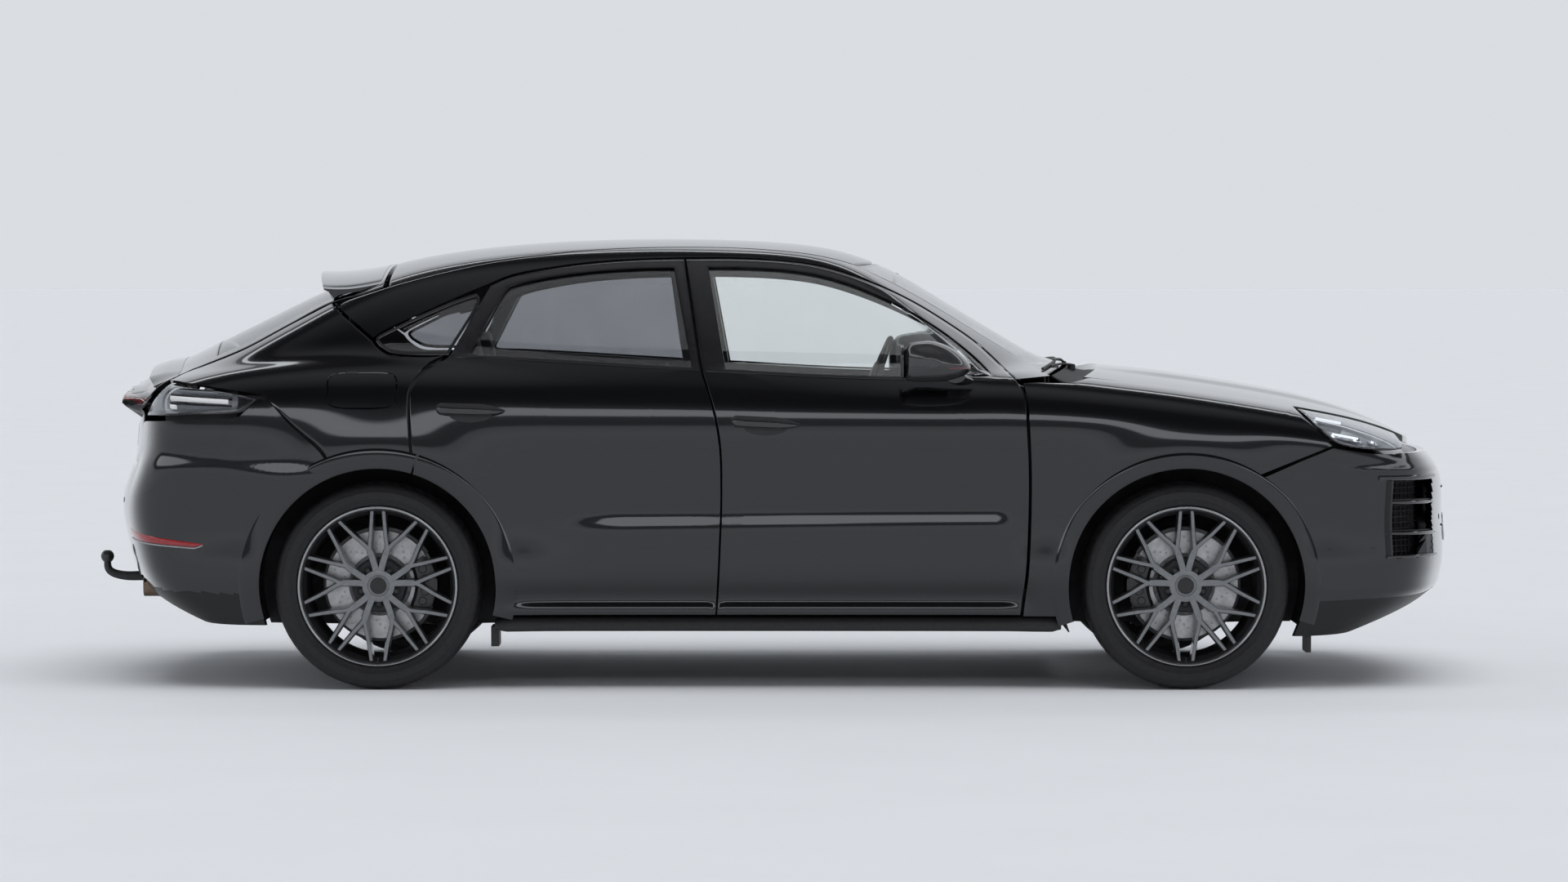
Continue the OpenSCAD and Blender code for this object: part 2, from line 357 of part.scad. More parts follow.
module rear_bumper() color("dimgray") bumper(-1700, -1, rb_edge, rb_top, 230, [[14, 16, 0, 3], [21, 24, 0, 3], [6, 9, 0, 3]], 34);
module wheel_arch_liners() color("black") both() for (x = [-wb2, wb2]) translate([x, 560, wz]) rotate([-90, 0, 0]) difference() {
  cylinder(r = 452, h = x < 0 ? 246 : 330); translate([0, 0, -1]) cylinder(r = 446, h = 332); translate([-500, -60, -1]) cube([1000, 600, 340]);
}
module front_subframe() color("darkslategray") {
  translate([wb2 - 160, -380, 190]) cube([320, 760, 60]);
  both() for (a = [-1, 1]) translate([wb2, 330, 206]) rotate([0, 0, a * 14]) translate([a * 112 - 20, 0, 0]) cube([40, 300, 28]);
}
module rear_subframe() color("darkslategray") {
  translate([-wb2 - 150, -400, 262]) cube([300, 800, 60]);
  both() for (a = [-1, 1]) translate([-wb2 + a * 70 - 22, 390, 262]) cube([44, 285, 30]);
}
module rear_knuckles() color("dimgray") both() at_wheel(-wb2, half_track) knuckle(1);
module seat(w) {
  translate([0, w / 2, 0]) rotate([90, 0, 0]) linear_extrude(w) polygon([[-260, 540], [250, 560], [290, 600], [270, 660], [-150, 620], [-320, 1160], [-400, 1180], [-430, 1140], [-300, 560]]);
  translate([-440, -130, 1205]) cube([90, 260, 170]);
  translate([-412, -50, 1140]) cube([24, 100, 80]);
  translate([-220, -190, 300]) cube([420, 380, 260]);
}
module front_seats() color("black") for (y = [-390, 390]) translate([60, y, 0]) seat(500);
module rear_bench() color("black") translate([-760, 0, 0]) {
  translate([0, 640, 0]) rotate([90, 0, 0]) linear_extrude(1280) polygon([[-230, 300], [250, 300], [280, 590], [-130, 610], [-330, 1150], [-420, 1150], [-230, 565]]);
}
module dashboard() color("black") translate([0, 690, 0]) rotate([90, 0, 0]) linear_extrude(1380) polygon([[600, 840], [680, 640], [956, 620], [956, 1040], [760, 1100], [640, 1080]]);
module steering_wheel() color("black") translate([350, 390, 1075]) rotate([0, -68, 0]) {
  rotate_extrude($fn = 64) translate([172, 0]) circle(r = 15, $fn = 24);
  cylinder(r = 62, h = 40, center = true);
  for (a = [0, 120, 240]) rotate(a + 180) translate([50, -18, -8]) cube([116, 36, 16]);
  translate([0, 0, -280]) cylinder(r = 28, h = 272);
}
module exhaust() color("silver") both() {
  translate([-2330, 560, 338]) rotate([0, 90, 0]) difference() { cylinder(r = 46, h = 330, center = false); translate([0, 0, -1]) cylinder(r = 42, h = 60); }
}
module tow_bar() color("black") {
  translate([-2262, -330, 325]) cube([60, 660, 80]);
  translate([-2500, -20, 345]) cube([220, 40, 40]);
  translate([-2542, 0, 345]) cylinder(r = 14, h = 70);
  translate([-2556, -20, 345]) cube([70, 40, 40]);
  translate([-2542, 0, 425]) sphere(d = ball_d, $fn = 48);
}
module front_grille() color("black") {
  for (z = [430, 480, 530]) translate([2372, -320, z]) cube([18, 640, 12]);
  both() for (z = [530, 630]) translate([2310, 690, z]) rotate(140.2) cube([234, 16, 12]);
}
module load_floor() color("black") translate([-2180, -540, 590]) cube([960, 1080, 20]);
// black panel with the wiper spindles between hood and windshield
module cowl_panel() color("black") {
  R = [for (i = [0:3]) [for (j = [6:-1:-6]) let (v = j / 6, u = i / 3, x = lerp(1168, 1068, u) - 90 * v * v, y = v * lerp(722, 690, u)) [x, y, tz(x, y) - 8 - 20 * pow(v, 4) * (1 - 0.5 * u)]]];
  sheet(R, [for (l = R) [for (p = l) p - [0, 0, 12]]]);
}
module tail_lights() color("red") both() {
  R = rows([[-1955, 990], [-2090, 984], [-2205, 980]], [[-1885, 1040], [-2060, 1066], [-2205, 1088]], 3);
  O = [for (l = side(R, 0)) rev(l)];
  sheet(O, [for (l = O) [for (p = l) tuck(p, 14)]]);
}

// steering and wheels
module right_front_knuckle() color("dimgray") at_wheel(wb2, -half_track) mirror([0, 1, 0]) knuckle(-1);
module left_front_knuckle() color("dimgray") at_wheel(wb2, half_track) knuckle(-1);
module right_front_tyre() color("black") at_wheel(wb2, -half_track) tyre();
module right_front_rim() color("silver") at_wheel(wb2, -half_track) mirror([0, 1, 0]) rim();
module right_rear_tyre() color("black") at_wheel(-wb2, -half_track) tyre();
module right_rear_rim() color("silver") at_wheel(-wb2, -half_track) mirror([0, 1, 0]) rim();
module left_front_tyre() color("black") at_wheel(wb2, half_track) tyre();
module left_front_rim() color("silver") at_wheel(wb2, half_track) rim();
module left_rear_tyre() color("black") at_wheel(-wb2, half_track) tyre();
module left_rear_rim() color("silver") at_wheel(-wb2, half_track) rim();

translate([shift, 0, 0]) right_front_door();
translate([shift, 0, 0]) left_front_door();
translate([shift, 0, 0]) right_rear_door();
translate([shift, 0, 0]) left_rear_door();
translate([shift, 0, 0]) right_front_window();
translate([shift, 0, 0]) left_front_window();
translate([shift, 0, 0]) right_rear_window();
translate([shift, 0, 0]) left_rear_window();
translate([shift, 0, 0]) right_mirror();
translate([shift, 0, 0]) left_mirror();
translate([shift, 0, 0]) hood();
translate([shift, 0, 0]) tailgate();
translate([shift, 0, 0]) rear_window();
translate([shift, 0, 0]) roof_spoiler();
translate([shift, 0, 0]) fuel_door();
translate([shift, 0, 0]) floor_pan();
translate([shift, 0, 0]) firewall();
translate([shift, 0, 0]) engine_block();
translate([shift, 0, 0]) sills();
translate([shift, 0, 0]) b_pillars();
translate([shift, 0, 0]) roof_rails();
translate([shift, 0, 0]) roof_panel();
translate([shift, 0, 0]) windshield();
translate([shift, 0, 0]) rear_quarter_panels();
translate([shift, 0, 0]) rear_quarter_windows();
translate([shift, 0, 0]) front_fenders();
translate([shift, 0, 0]) headlights();
translate([shift, 0, 0]) front_bumper();
translate([shift, 0, 0]) rear_bumper();
translate([shift, 0, 0]) wheel_arch_liners();
translate([shift, 0, 0]) front_subframe();
translate([shift, 0, 0]) rear_subframe();
translate([shift, 0, 0]) rear_knuckles();
translate([shift, 0, 0]) front_seats();
translate([shift, 0, 0]) rear_bench();
translate([shift, 0, 0]) dashboard();
translate([shift, 0, 0]) steering_wheel();
translate([shift, 0, 0]) exhaust();
translate([shift, 0, 0]) tow_bar();
translate([shift, 0, 0]) front_grille();
translate([shift, 0, 0]) tail_lights();
translate([shift, 0, 0]) load_floor();
translate([shift, 0, 0]) cowl_panel();
translate([shift, 0, 0]) right_front_knuckle();
translate([shift, 0, 0]) left_front_knuckle();
translate([shift, 0, 0]) right_front_tyre();
translate([shift, 0, 0]) right_front_rim();
translate([shift, 0, 0]) right_rear_tyre();
translate([shift, 0, 0]) right_rear_rim();
translate([shift, 0, 0]) left_front_tyre();
translate([shift, 0, 0]) left_front_rim();
translate([shift, 0, 0]) left_rear_tyre();
translate([shift, 0, 0]) left_rear_rim();
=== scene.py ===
import bpy, bmesh, math, random
import numpy as np
from mathutils import Vector, Matrix


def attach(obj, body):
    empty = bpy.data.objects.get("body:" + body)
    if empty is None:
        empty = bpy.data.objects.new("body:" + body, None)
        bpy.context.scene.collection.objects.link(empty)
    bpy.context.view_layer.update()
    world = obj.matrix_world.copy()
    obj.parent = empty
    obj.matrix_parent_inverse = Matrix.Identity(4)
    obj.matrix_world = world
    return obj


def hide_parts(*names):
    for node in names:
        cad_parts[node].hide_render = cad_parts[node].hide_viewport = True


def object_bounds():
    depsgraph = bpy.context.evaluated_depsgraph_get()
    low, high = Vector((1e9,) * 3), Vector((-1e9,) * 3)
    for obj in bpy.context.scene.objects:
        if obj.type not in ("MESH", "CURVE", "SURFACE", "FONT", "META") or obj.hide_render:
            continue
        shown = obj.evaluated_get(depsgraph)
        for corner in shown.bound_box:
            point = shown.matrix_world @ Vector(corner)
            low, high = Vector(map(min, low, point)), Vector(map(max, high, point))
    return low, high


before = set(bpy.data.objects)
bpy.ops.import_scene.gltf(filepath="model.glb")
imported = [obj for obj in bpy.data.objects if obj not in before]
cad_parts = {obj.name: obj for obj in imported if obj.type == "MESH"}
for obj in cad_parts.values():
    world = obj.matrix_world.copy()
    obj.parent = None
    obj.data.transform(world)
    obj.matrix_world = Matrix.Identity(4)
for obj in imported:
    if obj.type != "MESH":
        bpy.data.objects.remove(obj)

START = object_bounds()
SHIFT = 48.0
WB2, WZ, TR, TW, HT, AR = 1447.5, 371.0, 371.0, 285.0, 826.0, 428.0
GAP = 3.0
rng = np.random.default_rng(7)

# ------------------------------------------------------------------ the body skin, in millimetres
def quasi(c):
    c = np.array(c, float); d = c.copy()
    d[1:-1] = c[1:-1] - (c[:-2] - 2 * c[1:-1] + c[2:]) / 6
    return d

def bsp(d, u):
    i = np.clip(np.floor(u), 1, len(d) - 3).astype(int); t = np.clip(u - i, 0, 1); s = 1 - t
    return (s**3 * d[i - 1] + (3 * t**3 - 6 * t * t + 4) * d[i] + (3 * s**3 - 6 * s * s + 4) * d[i + 1] + t**3 * d[i + 2]) / 6

def smax(a, b, k):
    h = np.maximum(k - np.abs(a - b), 0) / k
    return np.maximum(a, b) + h**3 * k / 6

def smooth(a, b, x):
    t = np.clip((x - a) / (b - a), 0, 1)
    return t * t * (3 - 2 * t)

ROOF = quasi([985, 1085, 1188, 1288, 1386, 1476, 1537, 1573, 1596, 1610, 1617, 1619, 1615, 1605, 1578, 1508, 1391, 1272, 1154, 1036, 918, 800])
DECK = quasi([1020, 1100, 1150, 1195, 1225, 1245, 1250, 1243, 1233, 1223, 1214, 1206, 1198, 1191, 1186, 1182, 1180, 1180, 1168, 1147, 1124, 1095, 1061, 1017, 950, 838, 660, 450])
PLAN = quasi([830, 893, 945, 974, 966, 954, 950, 950, 953, 960, 970, 974, 945, 880, 790])
PROF = quasi([-80, -62, -46, -28, 0, -8, -15, -7, 0, 0, -14, -46, -110, -200, -300])
NOSE = quasi([1800, 1950, 2190, 2395, 2462, 2470, 2464, 2466, 2472, 2478, 2480, 2480, 2480])
TAIL = quasi([-1750, -1900, -2120, -2320, -2404, -2432, -2455, -2452, -2412, -2398, -2392, -2378, -2350, -2330, -2300])
BELT = quasi([520, 640, 745, 818, 854, 868, 872, 868, 856, 830, 784, 726, 660])

def flare(x, z):
    return 15 * np.exp(-((np.hypot(x - WB2, z - WZ) - 455) / 105)**2) + 17 * np.exp(-((np.hypot(x + WB2, z - WZ) - 460) / 120)**2)

def undercut(x, z):
    # crease low on the doors, with the surface turned under it
    return (-30 * smooth(392, 330, z) + 24 * smooth(322, 268, z)) * smooth(-1080, -900, x) * smooth(960, 800, x)

def lower(x, y, z):
    return smax(smax(smax(
        y - bsp(PLAN, (x + 2800) / 400) - bsp(PROF, z / 100) - flare(x, z) - undercut(x, z),
        x - bsp(NOSE, z / 100) + 0.00022 * y * y, 260.),
        bsp(TAIL, z / 100) + 0.00018 * y * y - x, 220.),
        z - bsp(DECK, (x + 2600) / 200) + 0.00008 * y * y, 170.)

def green(x, y, z):
    dz = z - 1130; xs = x * (1 + np.where(x > 0, 0.4e-6, 0.14e-6) * y * y)
    g = smax(y - bsp(BELT, (x + 2800) / 400) + 0.42 * dz + np.where(dz > 0, 0.0004, 0.003) * dz * dz,
             z - bsp(ROOF, (xs + 2600) / 200) + 0.00012 * y * y, 110.)
    return np.maximum(np.maximum(g, 1000 - z), np.maximum(-2400 - x, x - 1400))

def skinf(P):
    y = np.abs(P[..., 1])
    return -smax(-lower(P[..., 0], y, P[..., 2]), -green(P[..., 0], y, P[..., 2]), 60.)

def hit(P, D, tm):
    P = np.asarray(P, float); D = np.broadcast_to(np.asarray(D, float), P.shape)
    lo = np.zeros(P.shape[:-1]); hi = np.full(P.shape[:-1], float(tm))
    for _ in range(34):
        m = (lo + hi) / 2; f = skinf(P + D * m[..., None])
        lo = np.where(f < 0, m, lo); hi = np.where(f < 0, hi, m)
    return (lo + hi) / 2

def sy(x, z):
    x, z = np.broadcast_arrays(np.asarray(x, float), np.asarray(z, float))
    return hit(np.stack([x, 0 * x, z], -1), (0, 1, 0), 1300)

def tz(x, y):
    x, y = np.broadcast_arrays(np.asarray(x, float), np.asarray(y, float))
    return 620 + hit(np.stack([x, y, 0 * x + 620], -1), (0, 0, 1), 1300)

def normal(P, e=1.0):
    g = np.stack([skinf(P + np.eye(3)[i] * e) - skinf(P - np.eye(3)[i] * e) for i in range(3)], -1)
    return g / np.maximum(np.linalg.norm(g, axis=-1, keepdims=True), 1e-9)

# ------------------------------------------------------------------ lines
def dense(p, n=24):
    """a smooth line through given points"""
    p = np.array(p, float)
    if len(p) < 3: return p
    q = np.vstack([2 * p[0] - p[1], p, 2 * p[-1] - p[-2]]); out = []
    for i in range(1, len(q) - 2):
        a, b, c, d = q[i - 1:i + 3]
        ta = max(np.linalg.norm(b - a), 1e-6)**.5; tb = max(np.linalg.norm(c - b), 1e-6)**.5; tc = max(np.linalg.norm(d - c), 1e-6)**.5
        m1 = tb * ((b - a) / ta - (c - a) / (ta + tb) + (c - b) / tb); m2 = tb * ((c - b) / tb - (d - b) / (tb + tc) + (d - c) / tc)
        t = np.linspace(0, 1, n, endpoint=False)[:, None]
        out.append((2 * t**3 - 3 * t * t + 1) * b + (t**3 - 2 * t * t + t) * m1 + (-2 * t**3 + 3 * t * t) * c + (t**3 - t * t) * m2)
    return np.vstack(out + [p[-1:]])

def even(p, n):
    s = np.concatenate([[0], np.cumsum(np.linalg.norm(np.diff(p, axis=0), axis=1))])
    t = np.linspace(0, s[-1], n + 1)
    return np.stack([np.interp(t, s, p[:, k]) for k in range(p.shape[1])], -1)

def seg(p, n, curve=True):
    """n even steps along a line, without its last point"""
    return even(dense(p) if curve else np.array(p, float), n)[:-1]

def full(p, n, curve=True):
    return even(dense(p) if curve else np.array(p, float), n)

def inset(l, d):
    a = l - np.roll(l, 1, 0); b = np.roll(l, -1, 0) - l
    u = np.stack([-a[:, 1], a[:, 0]], -1) / np.maximum(np.linalg.norm(a, axis=1), 1e-9)[:, None]
    v = np.stack([-b[:, 1], b[:, 0]], -1) / np.maximum(np.linalg.norm(b, axis=1), 1e-9)[:, None]
    w = u + v; c = np.maximum(0.5, (w * w).sum(1) / 4)
    return l + w / 2 * (d / c)[:, None]

def ts(*parts):
    return np.concatenate([np.linspace(a, b, n, endpoint=False) for a, b, n in parts] + [[parts[-1][1]]])

# ------------------------------------------------------------------ meshes
OBJ = {}
def mesh(name, V, F, mat, body, node=None, slot=None, flat=False, mirror=False, auto=None, mats=None, fmat=None):
    V = np.asarray(V, float)
    me = bpy.data.meshes.new(name)
    F = [tuple(int(i) for i in f) for f in F]
    if mirror:
        V = V * np.array([1, -1, 1]); F = [f[::-1] for f in F]
    W = (V + np.array([SHIFT, 0, 0])) / 1000
    me.from_pydata([tuple(v) for v in W], [], F)
    bm = bmesh.new(); bm.from_mesh(me); bmesh.ops.recalc_face_normals(bm, faces=bm.faces); bm.to_mesh(me); bm.free()
    o = bpy.data.objects.new(name, me); bpy.context.scene.collection.objects.link(o)
    for m in (mats or [mat]): me.materials.append(m)
    if fmat is not None: me.polygons.foreach_set("material_index", np.array(fmat, np.int32))
    me.polygons.foreach_set("use_smooth", [not flat] * len(me.polygons))
    me.update()
    if auto is not None and not flat:
        me.set_sharp_from_angle(angle=math.radians(auto))
    finish_obj(o, body, node)
    return o

def finish_obj(o, body, node=None):
    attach(o, body)
    if node:
        for n in ([node] if isinstance(node, str) else node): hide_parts(n)
    OBJ[o.name] = o
    return o

def grid_faces(U, V, off=0, flip=False, wrap=False):
    out = []
    K = U if wrap else U + 1
    for v in range(V):
        for u in range(U):
            a = off + v * K + u; b = off + v * K + (u + 1) % K; c = off + (v + 1) * K + (u + 1) % K; d = off + (v + 1) * K + u
            out.append((a, d, c, b) if flip else (a, b, c, d))
    return out

def ring_mesh(O, I):
    """closed shell between loops of the outer and inner skin, rim to hole"""
    M, K = O.shape[0] - 1, O.shape[1]; N = (M + 1) * K
    V = np.concatenate([O.reshape(-1, 3), I.reshape(-1, 3)])
    F = grid_faces(K, M, 0, True, True) + grid_faces(K, M, N, False, True)
    for k in range(K):
        k2 = (k + 1) % K
        F.append((k, k2, N + k2, N + k)); F.append((M * K + k2, M * K + k, N + M * K + k, N + M * K + k2))
    return V, F

def sheet_mesh(O, I):
    V_, U_ = O.shape[0] - 1, O.shape[1] - 1; N = (U_ + 1) * (V_ + 1)
    V = np.concatenate([O.reshape(-1, 3), I.reshape(-1, 3)])
    o = lambda u, v: v * (U_ + 1) + u
    F = grid_faces(U_, V_, 0, True) + grid_faces(U_, V_, N, False)
    for u in range(U_):
        F.append((o(u, 0), o(u + 1, 0), N + o(u + 1, 0), N + o(u, 0))); F.append((o(u + 1, V_), o(u, V_), N + o(u, V_), N + o(u + 1, V_)))
    for v in range(V_):
        F.append((o(0, v + 1), o(0, v), N + o(0, v), N + o(0, v + 1))); F.append((o(U_, v), o(U_, v + 1), N + o(U_, v + 1), N + o(U_, v)))
    return V, F

# ------------------------------------------------------------------ materials
def mat(name, col, rough=0.5, metal=0.0, coat=0.0, coat_rough=0.04, var=(30, 0.06), bump=None, rvar=0.0, trans=0.0, ior=1.45, emit=None, alpha=1.0, spec=0.5, grain=None, sheen=0.0):
    """a surface with its own fine colour change, grain and finish"""
    m = bpy.data.materials.new(name); m.use_nodes = True
    nt = m.node_tree; b = nt.nodes["Principled BSDF"]
    L = nt.links.new
    tc = nt.nodes.new("ShaderNodeTexCoord")
    n = nt.nodes.new("ShaderNodeTexNoise"); n.inputs["Scale"].default_value = var[0]; n.inputs["Detail"].default_value = 4
    L(tc.outputs["Object"], n.inputs["Vector"])
    r = nt.nodes.new("ShaderNodeValToRGB")
    c = np.array(col[:3]); k = var[1]
    r.color_ramp.elements[0].position = 0.3; r.color_ramp.elements[1].position = 0.7
    r.color_ramp.elements[0].color = (*np.clip(c * (1 - k), 0, 1), 1); r.color_ramp.elements[1].color = (*np.clip(c * (1 + k), 0, 1), 1)
    L(n.outputs["Fac"], r.inputs["Fac"]); L(r.outputs["Color"], b.inputs["Base Color"])
    b.inputs["Roughness"].default_value = rough; b.inputs["Metallic"].default_value = metal
    b.inputs["Coat Weight"].default_value = coat; b.inputs["Coat Roughness"].default_value = coat_rough
    b.inputs["Specular IOR Level"].default_value = spec; b.inputs["IOR"].default_value = ior
    b.inputs["Transmission Weight"].default_value = trans; b.inputs["Alpha"].default_value = alpha
    b.inputs["Sheen Weight"].default_value = sheen
    if rvar:
        q = nt.nodes.new("ShaderNodeTexNoise"); q.inputs["Scale"].default_value = var[0] * 2.3; q.inputs["Detail"].default_value = 3
        L(tc.outputs["Object"], q.inputs["Vector"])
        mr = nt.nodes.new("ShaderNodeMapRange"); mr.inputs["To Min"].default_value = max(0, rough - rvar); mr.inputs["To Max"].default_value = rough + rvar
        L(q.outputs["Fac"], mr.inputs["Value"]); L(mr.outputs["Result"], b.inputs["Roughness"])
    if bump:
        g = nt.nodes.new("ShaderNodeTexVoronoi" if grain == "cell" else "ShaderNodeTexNoise"); g.inputs["Scale"].default_value = bump[0]
        if grain == "brush":
            mp = nt.nodes.new("ShaderNodeMapping"); mp.inputs["Scale"].default_value = (1, 1, 12); L(tc.outputs["Object"], mp.inputs["Vector"]); L(mp.outputs["Vector"], g.inputs["Vector"])
        else: L(tc.outputs["Object"], g.inputs["Vector"])
        bp = nt.nodes.new("ShaderNodeBump"); bp.inputs["Strength"].default_value = bump[1]; bp.inputs["Distance"].default_value = bump[2]
        L(g.outputs["Distance" if grain == "cell" else "Fac"], bp.inputs["Height"]); L(bp.outputs["Normal"], b.inputs["Normal"])
    if emit:
        b.inputs["Emission Color"].default_value = (*emit[0], 1); b.inputs["Emission Strength"].default_value = emit[1]
    return m

PAINT = mat("grey_metallic_paint", (0.019, 0.0205, 0.0225), 0.20, 0.9, 1.0, 0.008, (2400, 0.25), bump=(1800, 0.015, 0.0001))
BLACKP = mat("gloss_black", (0.012, 0.012, 0.013), 0.22, 0.0, 0.8, 0.03, (40, 0.25), rvar=0.05, bump=(900, 0.03, 0.0002))
SATIN = mat("satin_black_plastic", (0.022, 0.022, 0.023), 0.48, 0.0, 0.0, 0.1, (160, 0.2), bump=(1400, 0.25, 0.0004), grain="cell", rvar=0.06)
LOWB = mat("lower_black_plastic", (0.005, 0.005, 0.0055), 0.36, 0.0, 0.0, 0.1, (160, 0.2), bump=(1400, 0.2, 0.0003), grain="cell", rvar=0.05)
DARKP = mat("dark_grained_plastic", (0.03, 0.03, 0.032), 0.6, var=(220, 0.18), bump=(1100, 0.4, 0.0006), grain="cell", rvar=0.05)
UNDER = mat("underbody_coating", (0.035, 0.036, 0.037), 0.75, var=(14, 0.3), bump=(260, 0.4, 0.001), rvar=0.08)
GLASS = mat("clear_glass", (0.90, 0.925, 0.92), 0.0, trans=1.0, var=(3, 0.02))
TINT = mat("dark_privacy_glass", (0.475, 0.485, 0.50), 0.0, trans=1.0, var=(3, 0.06))
SHADE = mat("windscreen_band", (0.01, 0.01, 0.011), 0.12, coat=0.6, var=(30, 0.2))
RUBBER = mat("seal_rubber", (0.016, 0.016, 0.016), 0.62, var=(120, 0.2), bump=(700, 0.25, 0.0004))
TYRE = mat("tyre_rubber", (0.011, 0.011, 0.012), 0.60, var=(60, 0.22), bump=(500, 0.3, 0.0006), rvar=0.08)
ALLOY = mat("dark_satin_alloy", (0.20, 0.206, 0.214), 0.30, 0.85, 0.35, 0.12, (80, 0.1), bump=(1200, 0.06, 0.0002), rvar=0.05)
# darker copy of the rim alloy: painted shade for the rim's recesses
RIM_RECESS_SHADE = mat("rim_alloy_recess_shade", (0.03, 0.03, 0.032), 0.45, 0.7, var=(60, 0.2), rvar=0.08, bump=(500, 0.1, 0.0003))
# brighter copy of the rim alloy: painted highlight for the rim's lip
RIM_LIP_HIGHLIGHT = mat("bright_rim_edge", (0.34, 0.345, 0.35), 0.27, 0.95, 0.3, 0.1, (90, 0.08), bump=(700, 0.08, 0.0003), grain="brush")
DISC = mat("turned_iron", (0.42, 0.42, 0.425), 0.34, 1.0, var=(50, 0.14), bump=(900, 0.25, 0.0003), grain="brush", rvar=0.08)
HATM = mat("disc_hat_coating", (0.16, 0.16, 0.165), 0.5, 0.8, var=(60, 0.2), rvar=0.06, bump=(400, 0.15, 0.0004))
CALIPER = mat("black_caliper_paint", (0.02, 0.02, 0.021), 0.34, 0.1, 0.5, 0.08, (70, 0.2), bump=(260, 0.08, 0.0006))
CAST = mat("cast_metal", (0.20, 0.20, 0.205), 0.55, 0.8, var=(45, 0.25), bump=(380, 0.4, 0.0008), rvar=0.1)
STEEL = mat("painted_steel", (0.03, 0.031, 0.032), 0.5, 0.3, var=(40, 0.25), bump=(300, 0.2, 0.0006), rvar=0.1)
CHROME = mat("polished_steel", (0.62, 0.62, 0.63), 0.14, 1.0, var=(70, 0.06), rvar=0.05, bump=(600, 0.03, 0.0002))
PIPE = mat("exhaust_steel", (0.30, 0.29, 0.28), 0.34, 1.0, var=(30, 0.2), rvar=0.1, bump=(300, 0.1, 0.0004))
LEATHER = mat("black_leather", (0.024, 0.024, 0.025), 0.46, var=(36, 0.22), bump=(520, 0.45, 0.0008), grain="cell", rvar=0.07)
LEATHER2 = mat("perforated_leather", (0.03, 0.03, 0.031), 0.52, var=(30, 0.2), bump=(260, 0.6, 0.0008), grain="cell", rvar=0.06)
STITCH = mat("stitch_thread", (0.10, 0.10, 0.105), 0.75, var=(300, 0.3), bump=(900, 0.4, 0.0004))
CARPET = mat("carpet", (0.018, 0.018, 0.019), 0.95, var=(420, 0.45), bump=(900, 0.9, 0.002), sheen=0.15)
CLOTH = mat("headliner_cloth", (0.16, 0.158, 0.155), 0.92, var=(500, 0.2), bump=(1200, 0.4, 0.0006), sheen=0.2)
LENS = mat("clear_lens", (0.93, 0.95, 0.96), 0.0, trans=1.0, var=(3, 0.01), ior=1.4)
LAMPIN = mat("lamp_bezel", (0.035, 0.035, 0.038), 0.25, 0.5, 0.4, 0.05, (90, 0.2), bump=(300, 0.06, 0.0004))
REFL = mat("lamp_reflector", (0.72, 0.73, 0.75), 0.1, 1.0, var=(60, 0.06), bump=(500, 0.04, 0.0003))
LED = mat("led_bar", (0.93, 0.95, 1.0), 0.2, var=(120, 0.04), emit=((0.93, 0.96, 1.0), 1.6))
REDL = mat("red_lens", (0.30, 0.008, 0.012), 0.08, 0.0, 0.8, 0.02, (120, 0.25), bump=(700, 0.12, 0.0006), grain="cell")
SMOKE = mat("smoked_red_lens", (0.07, 0.006, 0.008), 0.06, 0.0, 1.0, 0.02, (90, 0.25), bump=(600, 0.05, 0.0004), grain="cell")
AMBER = mat("amber_lens", (0.55, 0.18, 0.02), 0.12, 0.0, 0.6, 0.03, (120, 0.2), bump=(700, 0.1, 0.0005), grain="cell")
PLATE = mat("blank_plate", (0.62, 0.63, 0.64), 0.38, var=(60, 0.05), bump=(500, 0.05, 0.0003))
SCREEN = mat("display_glass", (0.008, 0.009, 0.011), 0.08, coat=0.8, var=(20, 0.3))
MIRRORG = mat("mirror_glass", (0.75, 0.77, 0.79), 0.02, 1.0, var=(12, 0.03))
WEAVE = mat("woven_dark_cap", (0.03, 0.03, 0.032), 0.3, 0.2, 0.9, 0.03, (500, 0.5), bump=(420, 0.08, 0.0003), grain="cell")
ENGINE = mat("engine_casting", (0.16, 0.165, 0.17), 0.55, 0.7, var=(25, 0.25), bump=(180, 0.5, 0.001), rvar=0.1)

# ------------------------------------------------------------------ outer panels
def arc(cx, r, a0, a1, n):
    a = np.radians(np.linspace(a0, a1, n + 1)); return np.stack([cx + r * np.cos(a), WZ + r * np.sin(a)], -1)

b_line = [[-236, 262], [-224, 480], [-217, 715], [-224, 890], [-250, 1020], [-284, 1125], [-353, 1545]]
fd_line = [[857, 262], [878, 451], [886, 715], [880, 920], [868, 1060], [842, 1108]]
f_top = [[842, 1108], [800, 1152], [711, 1236], [593, 1318], [476, 1388], [359, 1444], [242, 1488], [125, 1520], [7, 1536], [-168, 1545], [-353, 1545]]
r_top = [[-353, 1545], [-520, 1541], [-696, 1529], [-871, 1505], [-990, 1478], [-1060, 1448]]
r_shut = [[-1060, 1448], [-1120, 1340], [-1205, 1190], [-1250, 1165], [-1300, 1120], [-1330, 1070], [-1334, 1008], [-1330, 930], [-1318, 783]]
r_arch = arc(-WB2, AR + 4, 72.56, -14.6, 40)
b_low = b_line[:6]; b_up = [[-284, 1125], [-319, 1335], [-353, 1545]]
fd_loop = np.vstack([seg([[-236, 262], [857, 262]], 44), seg(fd_line, 40), seg(f_top, 84), seg(b_up[::-1], 22), seg(b_low[::-1], 38)])
fw_loop = np.vstack([seg([[0, 1134], [300, 1121], [600, 1117]], 44), seg([[600, 1117], [735, 1118], [752, 1122], [754, 1132], [738, 1153]], 40),
    seg([[738, 1153], [690, 1200], [580, 1286], [470, 1354], [354, 1411], [240, 1456], [124, 1488], [7, 1505], [-168, 1514], [-270, 1514]], 84), seg([[-270, 1514], [-205, 1146]], 22), seg([[-205, 1146], [-100, 1140], [0, 1134]], 38)])
